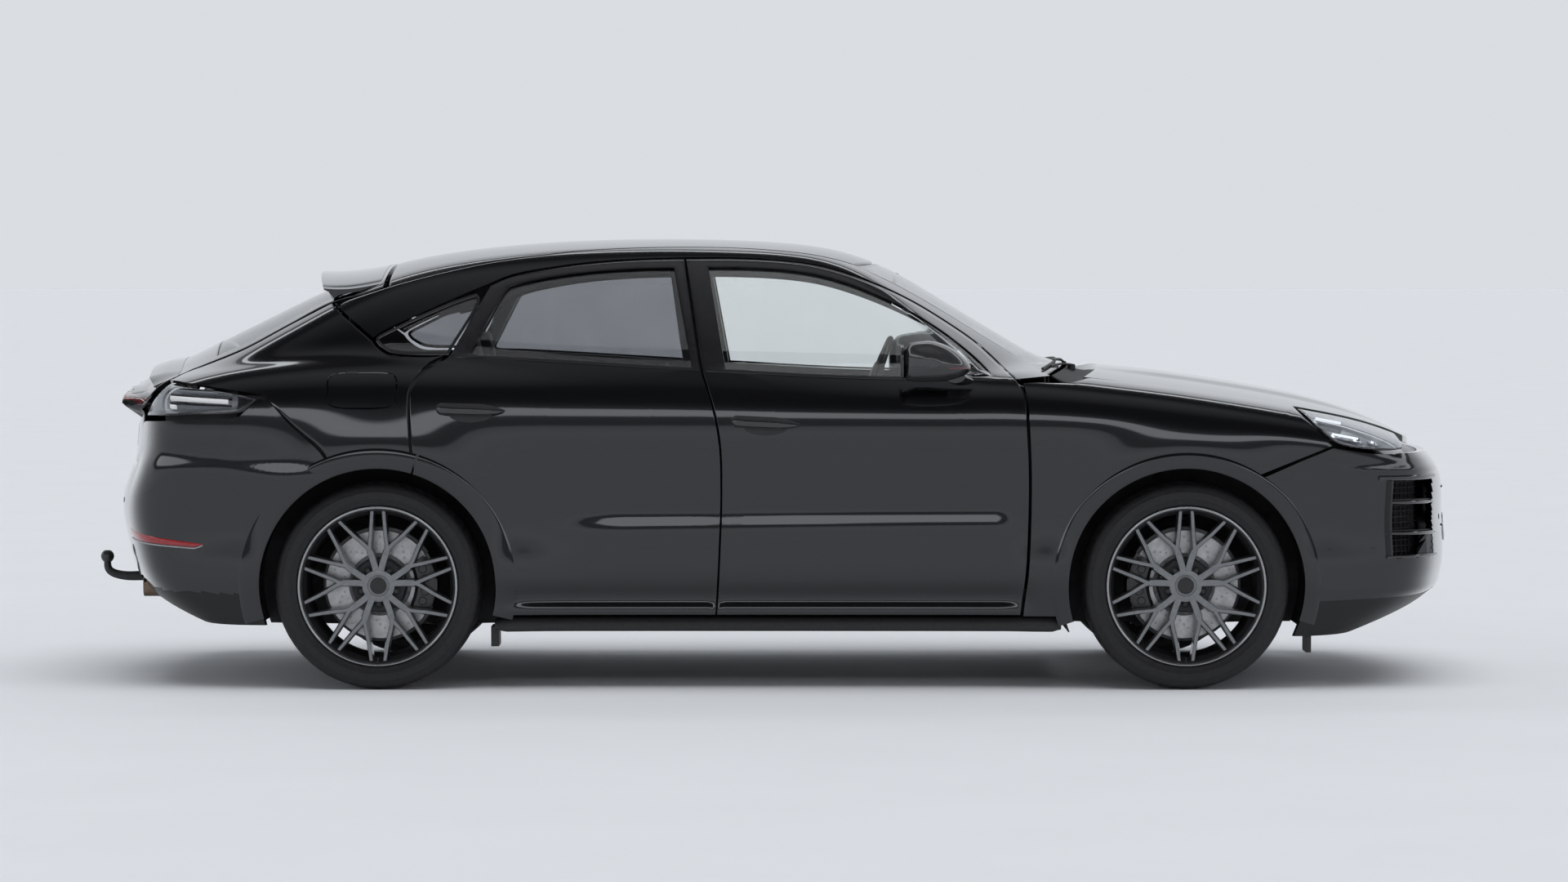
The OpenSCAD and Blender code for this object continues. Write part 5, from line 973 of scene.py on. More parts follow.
V, F = sweep(tipP, np.tile([-1., 0, 0], (21, 1)), rounded(10, 9)); mesh("high_brake_light", V, F, SMOKE, "tailgate", None, "red_lamp", auto=40)

# front openings: blades, slats, mesh and cooler behind
def on_nose(a, z, t=0.0): return about(1700, 1, np.stack(np.broadcast_arrays(np.asarray(a, float), np.asarray(z, float)), -1), t)
def nose_bar(a0, a1, z, t, w, h, n=14, dz=0.0):
    a = np.linspace(a0, a1, n); P = on_nose(a, z + dz * np.linspace(0, 1, n), t); return sweep(P, flatn(P), rounded(w, h))
def nose_sheet(a0, a1, z0, z1, t, th, nu=12, nv=8):
    A, Z = np.meshgrid(np.linspace(a0, a1, nu + 1), np.linspace(z0, z1, nv + 1)); P = on_nose(A, Z, t); return sheet_mesh(P, on_nose(A, Z, t + th))
ps = []
ps.append((*nose_bar(45.5, 64.5, 757, 4, 26, 17), 0))
for z, w in ((664, 62), (553, 74)):
    ps.append((*nose_bar(46.2, 62.6, z, 34, w, 11, 16, 5), 0)); ps.append((*nose_bar(46.8, 61.8, z + 9, 26, 34, 3.4, 12, 5), 2))
zz = np.linspace(474, 748, 14); P = on_nose(np.full(14, 62.0), zz, 16); N = flatn(P); T = np.cross(N, [0, 0, 1.])
ps.append((*loft([[p + a * n + b * t for a, b in rounded(46, 30)] for p, n, t in zip(P, N, T)]), 1))
ps.append((*nose_bar(46.3, 62.6, 474, 22, 62, 9, 14), 0))
ps.append((*box((2010, 318, 430), (2404, 326, 772), 2), 1))
V, F, M = merge(*ps); pair("side_intake_blades", V, F, BLACKP, node="front_grille", slot="gloss_black", auto=45, mats=[BLACKP, LOWB, SATIN], fmat=M)
ps = [(*nose_sheet(45.8, 63.2, 462, 760, 96, 6), 1)]
for z in np.arange(486, 745, 21): ps.append((*nose_bar(46.3, 62.8, z, 84, 12, 3.2, 8), 0))
for a in np.arange(47.4, 62.5, 1.9):
    P = on_nose(np.full(8, a), np.linspace(470, 750, 8), 86); N = flatn(P); T = np.cross(N, [0, 0, 1.]); ps.append((*loft([[p + q * n + r * t for q, r in rounded(9, 3)] for p, n, t in zip(P, N, T)]), 0))
V, F, M = merge(*ps); pair("side_intake_meshes", V, F, DARKP, slot="trim", flat=True, mats=[DARKP, RADI], fmat=M)
# painted angular winglet in the lower front corner of each side intake
A0, A1 = 46.4, 51.8
g = [[(A0, 470), (A0, 540), (A0 + .6, 560)], [(A0 + 2.2, 470), (A0 + 2.6, 530), (A0 + 2.8, 548)], [(A1, 470), (A1 - .8, 500), (A1 - 1.6, 516)]]
O = np.array([[on_nose(a, z, t) for a, z in r] for r, t in zip(g, (1.0, 16., 44.))]); I = np.array([[on_nose(a, z, t + 10) for a, z in r] for r, t in zip(g, (1.0, 16., 44.))])
V, F = sheet_mesh(O, I); pair("intake_winglets", V, F, PAINT, slot="paint", flat=True)
# centre openings
ps = [(*nose_sheet(-31, 31, 362, 570, 90, 6, 24), 1), (*nose_sheet(-28, 28, 600, 708, 70, 6, 24), 1)]
for z in (404, 430, 456, 480, 504, 530): ps.append((*nose_bar(-30, 30, z, 30, 30, 9, 41), 0))
for z in (632, 656, 680): ps.append((*nose_bar(-27, 27, z, 26, 30, 8, 41), 0))
for a in np.arange(-28, 29, 8):
    P = on_nose(np.full(6, float(a)), np.linspace(372, 560, 6), 46); N = flatn(P); T = np.cross(N, [0, 0, 1.]); ps.append((*loft([[p + q * n + r * t for q, r in rounded(24, 6)] for p, n, t in zip(P, N, T)]), 0))
V, F, M = merge(*ps); mesh("nose_grilles", V, F, BLACKP, "body", None, "trim", auto=45, mats=[BLACKP, RADI], fmat=M)
# gloss trims round the centre openings, splitter edge, blank plate and sensors
ps = [(*nose_bar(-30.5, 30.5, 566, 3, 16, 9, 41), 0), (*nose_bar(-27.5, 27.5, 705, 3, 14, 8, 41), 0), (*nose_bar(-48, 48, 344, 8, 26, 9, 61), 1)]
V, F, M = merge(*ps); mesh("nose_trims", V, F, BLACKP, "body", None, "gloss_black", auto=45, mats=[BLACKP, SATIN], fmat=M)
V1 = plate_on(on_nose, 21.4, 566, 604, 0.5, 2.0); V2 = plate_on(on_nose, 20.6, 502, 604, 3.0, 1.5)
V, F, M = merge((*V1, 0), (*V2, 1)); mesh("front_plate", V, F, BLACKP, "body", None, "trim", auto=40, mats=[BLACKP, PLATE], fmat=M)
def dot(P, N, r=11): return merge((*cyl(P - 3 * N, N, r, 4.2, 24, 1.0), 0), (*cyl(P - 3 * N, N, r - 3, 5.0, 24, 1.2), 0))[:2]
ps = []
for x, z in ((1963, 497), (2120, 500)):
    S = onside(np.array([[x, z]]), 0)[0]; ps.append(dot(S, normal(S[None])[0]))
for a, z in ((22, 590), (36, 600)):
    S = on_nose(np.array([float(a)]), np.array([float(z)]))[0]; ps.append(dot(S, normal(S[None])[0]))
for x, z in ((-2080, 620),):
    S = onside(np.array([[x, z]]), 0)[0]; ps.append(dot(S, normal(S[None])[0]))
for a in (14, 34):
    S = about(-1700, -1, np.array([[float(a), 660.]]))[0]; ps.append(dot(S, normal(S[None])[0]))
V, F, _ = merge(*ps); pair("parking_sensors", V, F, PAINT, slot="paint", auto=40)

# rear reflectors, diffuser, outlets
def on_back(a, z, t=0.0): return about(-1700, -1, np.stack(np.broadcast_arrays(np.asarray(a, float), np.asarray(z, float)), -1), t)
ar = np.linspace(46, 68, 26); 
za = np.interp(ar, [46, 68], [572, 522]); zb = np.interp(ar, [46, 66.5, 68], [534, 508, 519])
G = np.stack([np.stack([ar, zb + (za - zb) * t], -1) for t in np.linspace(0, 1, 7)]); P = about(-1700, -1, G); N = normal(P)
h = np.array([-1, 1.6, 2.2, 2.4, 2.2, 1.6, -1])[:, None, None]
V1 = sheet_mesh(P + h * N, P - 3 * N)
Pl = about(-1700, -1, np.stack([ar, zb - 3], -1)); V2 = sweep(Pl, flatn(Pl), rounded(7, 5))
V, F, M = merge((*V1, 0), (*V2, 1)); pair("rear_reflectors", V, F, REDL, slot="red_lamp", auto=40, mats=[REDL, SILVER], fmat=M)
ps = []
for y in (-300, -180, 180, 300):
    sec = []
    for x in np.linspace(-2236, -2040, 8): sec.append([[x, y - 5, 250 + (x + 2236) * -.05], [x, y + 5, 250 + (x + 2236) * -.05], [x, y + 4, 330], [x, y - 4, 330]])
    ps.append(loft(sec))
A, Z = np.meshgrid(np.linspace(-34, 34, 41), np.linspace(240, 372, 7)); ps.append(sheet_mesh(on_back(A, Z, 34), on_back(A, Z, 40)))
V, F, _ = merge(*ps); mesh("rear_diffuser", V, F, SATIN, "body", None, "underbody", auto=40)
def tube(path, r0, r1, n=32, sq=1.0):
    """hollow pipe along a path with a rolled lip"""
    path = np.asarray(path, float); a = np.radians(np.linspace(0, 360, n, endpoint=False)); secs = []
    d = np.gradient(path, axis=0); d /= np.linalg.norm(d, axis=1)[:, None]
    def ring(p, t, r):
        u = np.cross(t, [0, 0, 1.]); u /= np.linalg.norm(u); w = np.cross(u, t); c, s_ = np.cos(a), np.sin(a)
        return p + r * (np.sign(c) * np.abs(c)**sq)[:, None] * u + r * (np.sign(s_) * np.abs(s_)**sq)[:, None] * w
    for p, t in zip(path, d): secs.append(ring(p, t, r0))
    secs.append(ring(path[-1] + d[-1] * 1.5, d[-1], (r0 + r1) / 2))
    for p, t in zip(path[::-1], d[::-1]): secs.append(ring(p, t, r1))
    S = np.array(secs); m, K = S.shape[:2]
    F = [(i * K + k, i * K + (k + 1) % K, (i + 1) * K + (k + 1) % K, (i + 1) * K + k) for i in range(m - 1) for k in range(K)]
    F += [((m - 1) * K + k, (m - 1) * K + (k + 1) % K, (k + 1) % K, k) for k in range(K)]
    return S.reshape(-1, 3), F
ps = []
for y in (523, 597):
    ps.append((*tube([[x, y, 338 + (12 if x < -2250 else 0)] for x in (-2130, -2170, -2220, -2270, -2326)], 37, 33, 36, .8), 0))
    ps.append((*tube([[x, y, 338] for x in (-2128, -2100)], 30, 26, 24), 1))
ps.append((*tube([[-2130, 560, 338], [-2090, 560, 338], [-2040, 560, 336], [-2000, 560, 335]], 46, 42, 28), 1))
V, F, M = merge(*ps); pair("exhaust_outlets", V, F, BRONZE, node="exhaust", slot="steel", auto=40, mats=[BRONZE, PIPE], fmat=M)

# tow bar: cross beam, swan neck, ball
ps = [(*box((-2262, -330, 325), (-2202, 330, 405), 8), 0)]
a = np.linspace(0, 1, 22)
neck = np.stack([np.interp(a, [0, .55, .72, .84, .94, 1], [-2266, -2470, -2520, -2540, -2542, -2542]), 0 * a, np.interp(a, [0, .12, .45, .62, .8, .92, 1], [365, 360, 350, 352, 368, 385, 402])], -1)
neck = np.stack([np.convolve(np.pad(neck[:, i], 2, mode="edge"), np.ones(5) / 5, "valid") for i in range(3)], -1); neck[0] = [-2266, 0, 365]; neck[-1] = [-2542, 0, 404]
d = np.gradient(neck, axis=0); d /= np.linalg.norm(d, axis=1)[:, None]; nrm = np.cross([0, 1., 0], d)
ps.append((*loft([[p + q * np.array([0, 1., 0]) + r * n for q, r in rounded(40 - 14 * t, 42 - 16 * t, .35)] for p, n, t in zip(neck, nrm, a)]), 0))
ball = [(math.sin(t) * 25, -math.cos(t) * 25) for t in np.linspace(.45, math.pi - .25, 16)]
pf = [(0.01, -28), (13.5, -28), (13.5, -23.5)] + [(max(r, .01), z) for r, z in ball if r > 10] + [(8, 23), (0.01, 23.2)]
aa = np.radians(np.linspace(0, 360, 32, endpoint=False))
ps.append((*loft([[[-2542 + r * math.cos(t), r * math.sin(t), 425 + z] for t in aa] for r, z in pf]), 1))
ps += [(*box((-2300, -44, 333), (-2258, 44, 397), 6), 0), (*cyl((-2280, -60, 365), (0, 1, 0), 9, 120, 20, 1.5), 1)]
V, F, M = merge(*ps); mesh("tow_bar_set", V, F, STEEL, "body", "tow_bar", "steel", auto=40, mats=[STEEL, CALIPER], fmat=M)

# cowl with louvres, wiper arms
U, Vv = np.meshgrid(np.linspace(0, 1, 13), np.linspace(-1, 1, 61), indexing="ij")
x = (1168 + (1068 - 1168) * U) - 90 * Vv**2; y = Vv * (722 + (690 - 722) * U)
zf = tz(1168 - 90 * Vv[0]**2, Vv[0] * 722.); zr = tz(1058 - 90 * Vv[0]**2, Vv[0] * 690.)
z = (zf[None] - 24) + ((zr - 12) - (zf - 24))[None] * U - 10 * np.sin(np.pi * U) + 2.0 * np.sin(Vv * 90) * smooth(.2, .35, U) * smooth(.9, .75, U)
O = np.stack([x, y, z], -1); V, F = sheet_mesh(O, O - [0, 0, 6]); mesh("cowl_tray", V, F, DARKP, "body", "cowl_panel", "underbody", auto=40)
ps = []
for y0, y1, L in ((300, -260, 1), (-300, -640, 1)):
    t = np.linspace(0, 1, 24); yy = y0 + (y1 - y0) * t; xx = 1030 - 90 * (yy / 700)**2 - 8 + 0 * t; P = np.stack([xx, yy, tz(xx, yy) + 4], -1)
    ps.append((*sweep(P, np.tile([1., 0, 0], (24, 1)), rounded(9, 10)), 0))
    q = np.linspace(0, 1, 12); A0 = np.array([1085 - 80 * (y0 / 700)**2, y0 - 10, 0]); B0 = np.array([P[12][0] + 4, P[12][1], 0]); W = A0 + (B0 - A0) * q[:, None]; W[:, 2] = tz(W[:, 0], W[:, 1]) - 1 + 5 * np.sin(np.pi * q)
    ps.append((*sweep(W, np.tile([1., 0, 0], (12, 1)), rounded(16, 7)), 0)); ps.append((*cyl(W[0] - [0, 0, 22], (0, 0, 1), 15, 24, 24, 3), 0))
V, F, _ = merge(*ps); mesh("wiper_arms", V, F, SATIN, "body", None, "underbody", auto=40)

# dark webs behind the fixed shut lines
def web(line, w0, w1, d, n=40, th=3.0):
    L = full(line, n); T = np.gradient(L, axis=0); T /= np.linalg.norm(T, axis=1)[:, None]; Q = np.stack([-T[:, 1], T[:, 0]], -1)
    R = np.stack([L + Q * (w0 + (w1 - w0) * t) for t in np.linspace(0, 1, 5)]); S = onside(R, 0); return sheet_mesh(tuck(S, d), tuck(S, d + th))
ps = [web(np.array([[866, 1090], [877, 1040], [886, 920], [892, 715], [884, 451], [866, 275]]) + [0, 0], 1, 36, 27.),
      web([[-1256, 1173], [-1303, 1124], [-1330, 1070], [-1334, 1008], [-1330, 930], [-1318, 800]], -1, -36, 22.),
      web([[-1610, 775], [-1640, 850], [-1750, 945], [-1862, 1046]], -26, 26, 34.), web([[-1862, 1046], [-2060, 1076], [-2220, 1100]], -22, 22, 40.), web([[-1955, 984], [-2100, 978], [-2218, 972]], -22, 22, 40.)]
V, F, _ = merge(*ps); pair("shut_line_webs", V, F, UNDER, slot="underbody", auto=40)

# ------------------------------------------------------------------ cabin
def cloth_pad(name, V, F, pin, mat_, body, node, slot, fill=0.7, cap=12.0, press=4.0, declare=True):
    """closed pad swelled between its pinned seams by a short cloth run, the moved points returned"""
    V = np.asarray(V, float)
    me = bpy.data.meshes.new(name + "_sim"); me.from_pydata([tuple(v / 1000) for v in V], [], [tuple(int(i) for i in f) for f in F])
    bm = bmesh.new(); bm.from_mesh(me); bmesh.ops.recalc_face_normals(bm, faces=bm.faces); bm.to_mesh(me); bm.free()
    o = bpy.data.objects.new(name + "_sim", me); bpy.context.scene.collection.objects.link(o)
    g = o.vertex_groups.new(name="held"); g.add([int(i) for i in np.nonzero(pin)[0]], 1.0, "REPLACE")
    c = o.modifiers.new("Cloth", "CLOTH"); st = c.settings
    st.use_pressure = True; st.uniform_pressure_force = press; st.effector_weights.gravity = 0.0; st.vertex_group_mass = "held"; st.quality = 4
    st.tension_stiffness = st.compression_stiffness = st.shear_stiffness = 18; st.bending_stiffness = 1.2; st.mass = 0.4
    c.collision_settings.use_collision = False; c.collision_settings.use_self_collision = False
    c.point_cache.frame_start = 1; c.point_cache.frame_end = 20
    s_ = bpy.context.scene
    for f in range(1, 21): s_.frame_set(f)
    ev = o.evaluated_get(bpy.context.evaluated_depsgraph_get()); W = np.array([v.co[:] for v in ev.data.vertices]) * 1000
    s_.frame_set(1); bpy.data.objects.remove(o)
    if W.shape == V.shape and np.isfinite(W).all():
        d = W - V; n = np.linalg.norm(d, axis=1); V = V + d * np.minimum(1, cap / np.maximum(n, 1e-9))[:, None]
    return V

def pillow(c, ex, ey, ez, w, d, th, crown, seams_u=(), seams_v=(), nu=30, nv=30, sq=5.0, bol=0.0, taper=0.0, seam_w=.028, seam_d=7.0, pinch=.03):
    """crowned closed cushion: u along ex (half length d), v along ey (half width w), thick th along ez; seams are sewn grooves"""
    u = np.linspace(-1, 1, nu + 1); v = np.linspace(-1, 1, nv + 1)
    for lst, arr in ((seams_u, u), (seams_v, v)):
        for k in lst: arr[np.argmin(np.abs(arr - k))] = k
    U, Vv = np.meshgrid(u, v, indexing="ij")
    r = (np.abs(U)**sq + np.abs(Vv)**sq)**(1 / sq); m = np.maximum(np.abs(U), np.abs(Vv)); k = np.where(m > 1e-9, m / np.maximum(r, 1e-9), 1)
    X, Y = U * k, Vv * k
    edge = 1 - m; round_ = np.sqrt(np.clip(1 - (1 - np.clip(edge / .16, 0, 1))**2, 0, 1))
    top = th * .5 * round_ + crown * (1 - U**2)**.7 * (1 - Vv**2)**.7 + bol * smooth(.55, .8, np.abs(Vv)) * round_
    sm = np.zeros_like(U, bool)
    for kk in seams_u: top -= seam_d * np.exp(-((U - kk) / seam_w)**2) * round_; sm |= np.abs(U - kk) < 1e-6
    for kk in seams_v: top -= seam_d * np.exp(-((Vv - kk) / seam_w)**2) * round_; sm |= np.abs(Vv - kk) < 1e-6
    W_ = w * (1 - taper * (U + 1) / 2)
    bot = -th * .5 * round_
    c, ex, ey, ez = map(np.array, (c, ex, ey, ez))
    T = c + (X * d)[..., None] * ex + (Y * W_)[..., None] * ey + top[..., None] * ez
    B = c + (X * d)[..., None] * ex + (Y * W_)[..., None] * ey + bot[..., None] * ez
    n1, n2 = nu + 1, nv + 1; idx = np.arange(n1 * n2).reshape(n1, n2); rim = (m > 1 - 1e-9)
    back = np.full(n1 * n2, -1); inner = np.nonzero(~rim.reshape(-1))[0]; back[inner] = np.arange(len(inner)) + n1 * n2
    bi = np.where(rim.reshape(-1), np.arange(n1 * n2), back).reshape(n1, n2)
    V = np.vstack([T.reshape(-1, 3), B.reshape(-1, 3)[inner]])
    F = [(idx[i, j], idx[i + 1, j], idx[i + 1, j + 1], idx[i, j + 1]) for i in range(nu) for j in range(nv)] + [(bi[i, j], bi[i, j + 1], bi[i + 1, j + 1], bi[i + 1, j]) for i in range(nu) for j in range(nv)]
    pin = np.zeros(len(V), bool); pin[:n1 * n2] = (sm | rim).reshape(-1); pin[n1 * n2:] = True
    return V, F, pin
def sewn(name, Vs, F, mat_, body, node, slot):
    V = np.vstack(Vs); n = len(Vs[0]); FF = [tuple(i + k * n for i in f) for k in range(len(Vs)) for f in F]
    o = mesh(name, V, FF, mat_, body, node, slot, auto=60)
    md = o.modifiers.new("soften", "SUBSURF"); md.levels = 1; md.render_levels = 1
    return o

Y3 = np.array([0, 1., 0])
# front seats
tl = math.radians(6); ex = np.array([math.cos(tl), 0, math.sin(tl)]); ez = np.array([-math.sin(tl), 0, math.cos(tl)])
V, F, pin = pillow((60 + 62, 0, 598), ex, Y3, ez, 232, 226, 92, 8, (-.35, .1, .5), (-.56, .56), 34, 34, bol=24)
Vc = cloth_pad("seat_cushion", V, F, pin, LEATHER, "body", None, None)
bd = np.array([-175., 0, 560]); bd /= np.linalg.norm(bd); bn = np.array([bd[2], 0, -bd[0]])
V, F2, pin = pillow((60 - 283, 0, 890), bd, Y3, bn, 238, 292, 92, 10, (-.5, -.1, .3, .66), (-.52, .52), 38, 34, bol=26, taper=.16)
Vb = cloth_pad("seat_back", V, F2, pin, LEATHER, "body", None, None)
V, F3, pin = pillow((60 - 396, 0, 1290), np.array([0, 0, 1.]), Y3, np.array([1., 0, 0]), 126, 80, 78, 6, (), (-.6, .6), 20, 24, sq=4.0, seam_d=4)
Vh = cloth_pad("seat_headrest", V, F3, pin, LEATHER, "body", None, None, cap=8.)
sewn("front_seat_cushions", [Vc + [0, y, 0] for y in (-390, 390)], F, LEATHER, "body", "front_seats", "leather")
sewn("front_seat_backs", [Vb + [0, y, 0] for y in (-390, 390)], F2, LEATHER2, "body", None, "leather")
sewn("front_seat_headrests", [Vh + [0, y, 0] for y in (-390, 390)], F3, LEATHER, "body", None, "leather")
ps = []
for y in (-390, 390):
    for dy in (-52, 52): ps.append((*cyl((60 - 392, y + dy, 1140), (0, 0, 1), 6, 90, 14, 1), 1))
    ps.append((*box((60 - 214, y - 186, 470), (60 + 196, y + 186, 556), 18), 0))
    for dy in (-170, 150): ps.append((*box((60 - 250, y + dy, 300), (60 + 240, y + dy + 20, 330), 3), 1)); ps.append((*box((60 - 180, y + dy + 2, 328), (60 + 170, y + dy + 18, 480), 4), 1))
    sg = -1 if y < 0 else 1
    ps.append((*loft([[[60 + x, y + sg * 236, z0], [60 + x, y + sg * 252, z0 + 6], [60 + x, y + sg * 252, z1 - 8], [60 + x, y + sg * 240, z1], [60 + x, y + sg * 226, z1], [60 + x, y + sg * 226, z0]] for x, z0, z1 in ((-270, 520, 620), (-240, 500, 640), (-60, 492, 600), (140, 496, 590), (236, 512, 572))]), 0))
    # padded back shell
    Sh = []
    for t in np.linspace(0, 1, 14):
        q = np.array([60 - 300, y, 590]) + bd * 590 * t - bn * 34; w = 226 - 36 * t - 26 * (2 * t - 1)**8
        Sh.append([q + [0, w * math.cos(a), 0] - bn * 26 * max(0, math.sin(a)) * (1 - (2 * t - 1)**6) + bn * 10 * max(0, -math.sin(a)) for a in np.linspace(0, 2 * math.pi, 28, endpoint=False)])
    ps.append((*loft(Sh), 0))
V, F, M = merge(*ps); mesh("front_seat_frames", V, F, DARKP, "body", None, "trim", auto=45, mats=[DARKP, STEEL], fmat=M)

# rear bench
ex = np.array([math.cos(.07), 0, math.sin(.07)]); ez = np.array([-math.sin(.07), 0, math.cos(.07)])
V, F, pin = pillow((-760 + 70, 0, 550), ex, Y3, ez, 632, 208, 100, 8, (-.3, .3), (-.72, -.24, .24, .72), 26, 60, sq=6, bol=6, seam_w=.014); Vq = cloth_pad("bench_cushion", V, F, pin, LEATHER, "body", None, None)
bd2 = np.array([-195., 0, 550]); bd2 /= np.linalg.norm(bd2); bn2 = np.array([bd2[2], 0, -bd2[0]])
V, F2, pin = pillow((-760 - 258, 0, 878), bd2, Y3, bn2, 632, 276, 92, 8, (-.4, .1, .55), (-.72, -.24, .24, .72), 30, 60, sq=6, bol=6, seam_w=.014); Vr = cloth_pad("bench_back", V, F2, pin, LEATHER, "body", None, None)
V, F3, pin = pillow((-760 - 386, 0, 1206), np.array([-.2, 0, .98]), Y3, np.array([.98, 0, .2]), 118, 62, 66, 6, (), (-.6, .6), 16, 22, sq=4.0, seam_d=4); Vs = cloth_pad("bench_headrest", V, F3, pin, LEATHER, "body", None, None, cap=7.)
sewn("rear_bench_cushion", [Vq], F, LEATHER, "body", "rear_bench", "leather"); sewn("rear_bench_back", [Vr], F2, LEATHER2, "body", None, "leather")
sewn("rear_bench_headrests", [Vs + [0, y, 0] for y in (-400, 400)], F3, LEATHER, "body", None, "leather")
ps = [(*box((-960, -620, 300), (-520, 620, 506), 16), 0)]
Sh = []
for y in np.linspace(-630, 630, 12):
    a0 = np.array([-1010, y, 580.]); Sh.append([a0 - bn2 * 18, a0 + bd2 * 560 - bn2 * 18, a0 + bd2 * 566 - bn2 * 32, a0 + bd2 * 556 - bn2 * 44, a0 - bn2 * 44])
ps.append((*loft(Sh), 0))
for y in (-400, 400):
    for dy in (-40, 40): ps.append((*cyl((-1132, y + dy, 1124), (0, 0, 1), 5.5, 60, 12, 1), 1))
V, F, M = merge(*ps); mesh("rear_bench_frame", V, F, CARPET, "body", None, "trim", auto=45, mats=[CARPET, STEEL], fmat=M)

# dashboard, screens, vents, console
pr = dense(np.array([[956, 660], [800, 650], [690, 664], [660, 720], [632, 800], [612, 842], [622, 900], [652, 940], [634, 984], [640, 1040], [672, 1074], [760, 1092], [880, 1076], [956, 1040]]), 4)
secs = []
for y in np.linspace(-688, 688, 70):
    k = 1 - .05 * smooth(560, 688, abs(y)); hump = 26 * math.exp(-((y - 390) / 190)**4)
    P = pr.copy(); P[:, 0] = 956 + (P[:, 0] - 956) * k; up = smooth(970, 1070, P[:, 1]); P[:, 1] += hump * up * smooth(900, 760, P[:, 0]); P[:, 0] -= 12 * up * (hump / 26)
    secs.append([[x, y, z] for x, z in P])
V, F = loft(secs); mesh("dashboard_pad", V, F, LEATHER, "body", "dashboard", "trim", auto=50)
ps = []
ps.append((*box((622, 210, 945), (660, 560, 1070), 10), 1))
ps.append((*box((606, -150, 920), (644, 150, 1050), 10), 1)); ps.append((*box((614, -600, 940), (646, -200, 1025), 8), 1))
for y in (-640, -480, -130, 130, 250, 640):
    for k in range(4): ps.append((*box((612, y - 40, 862 + k * 16), (644, y + 40, 868 + k * 16), 2), 2))
ps.append((*box((610, -660, 846), (632, 660, 852), 2), 3))
# centre console with rest, lever, cup wells
cs = []
for x, z, w in ((-330, 640, 96), (-300, 692, 104), (-120, 702, 108), (60, 686, 112), (240, 680, 118), (420, 720, 124), (560, 810, 128), (640, 870, 130)):
    cs.append([[x, -w, 262], [x, -w - 6, z - 40], [x, -w + 14, z], [x, 0, z + 5], [x, w - 14, z], [x, w + 6, z - 40], [x, w, 262]])
ps.append((*loft(cs), 0)); ps.append((*loft([[[x, -86 + e, 692], [x, -92 + e, 708], [x, -76 + e, 724], [x, 76 - e, 724], [x, 92 - e, 708], [x, 86 - e, 692]] for x, e in ((-310, 12), (-290, 0), (-40, 0), (-20, 12))]), 0))
ps += [(*cyl((330, -30, 684), (0, 0, 1), 44, 14, 28, 3), 2), (*cyl((330, 60, 684), (0, 0, 1), 36, 14, 28, 3), 2), (*box((440, -70, 720), (540, 70, 768), 12), 1), (*cyl((200, 0, 680), (.2, 0, 1), 15, 40, 20, 5), 3)]
V, F, M = merge(*ps); mesh("dash_fittings", V, F, LEATHER, "body", None, "trim", auto=45, mats=[LEATHER, SCREEN, DARKP, SILVER], fmat=M)

# steering wheel
wa = np.array([-math.sin(math.radians(68)), 0, math.cos(math.radians(68))]); wu = np.cross(Y3, wa); wc = np.array([350., 390, 1075])
def wp(r, a, h): return wc + r * (math.cos(a) * wu + math.sin(a) * Y3) + h * wa
secs = []; ng = 96; R_ = []
for i in range(ng):
    a = 2 * math.pi * i / ng; rr = 172 - 8 * max(0, -math.cos(a) - .78) * 4; grip = 1 + .07 * math.exp(-((abs(math.sin(a)) - .86) / .12)**2)
    R_.append([wp(rr + 15 * grip * math.cos(b), a, 13 * grip * math.sin(b)) for b in np.linspace(0, 2 * math.pi, 16, endpoint=False)])
S = np.array(R_); K = 16; Fr = [(i * K + k, ((i + 1) % ng) * K + k, ((i + 1) % ng) * K + (k + 1) % K, i * K + (k + 1) % K) for i in range(ng) for k in range(K)]
ps = [(S.reshape(-1, 3), Fr, 0)]
hub = []
for h, q in ((-22, .7), (-18, .9), (6, 1), (16, .94), (22, .8), (25, .5)): hub.append([wp(74 * q * (1 + .12 * math.cos(2 * a)), a, h) for a in np.linspace(0, 2 * math.pi, 36, endpoint=False)])
ps.append((*loft(hub), 0))
for a0, w in ((math.pi / 2, 26), (-math.pi / 2, 26), (math.pi, 22)):
    sp = []
    for r in np.linspace(54, 164, 7):
        c = wp(r, a0, 0); tdir = -math.sin(a0) * wu + math.cos(a0) * Y3; ww = w * (1 - .25 * math.sin(math.pi * (r - 54) / 110)); sp.append([c + q * tdir + h * wa for q, h in rounded(ww * 2, 14)])
    ps.append((*loft(sp), 1))
for a0 in (math.pi / 2, -math.pi / 2):
    c = wp(100, a0, 8); ps.append((*cyl(c, wa, 15, 6, 20, 2), 2))
ps.append((*cyl(wc - wa * 20, -wa, 30, 74, 28, 3, 34), 3)); ps.append((*cyl(wc - wa * 60, -wa, 42, 225, 28, 6, 64), 3))
for sg in (-1, 1): ps.append((*cyl(wc - wa * 56, Y3 * sg - wa * .1, 6, 120, 14, 2, 9), 3))
V, F, M = merge(*ps); mesh("steering_wheel_rim", V, F, LEATHER, "body", "steering_wheel", "trim", auto=50, mats=[LEATHER, SATIN, SILVER, DARKP], fmat=M)

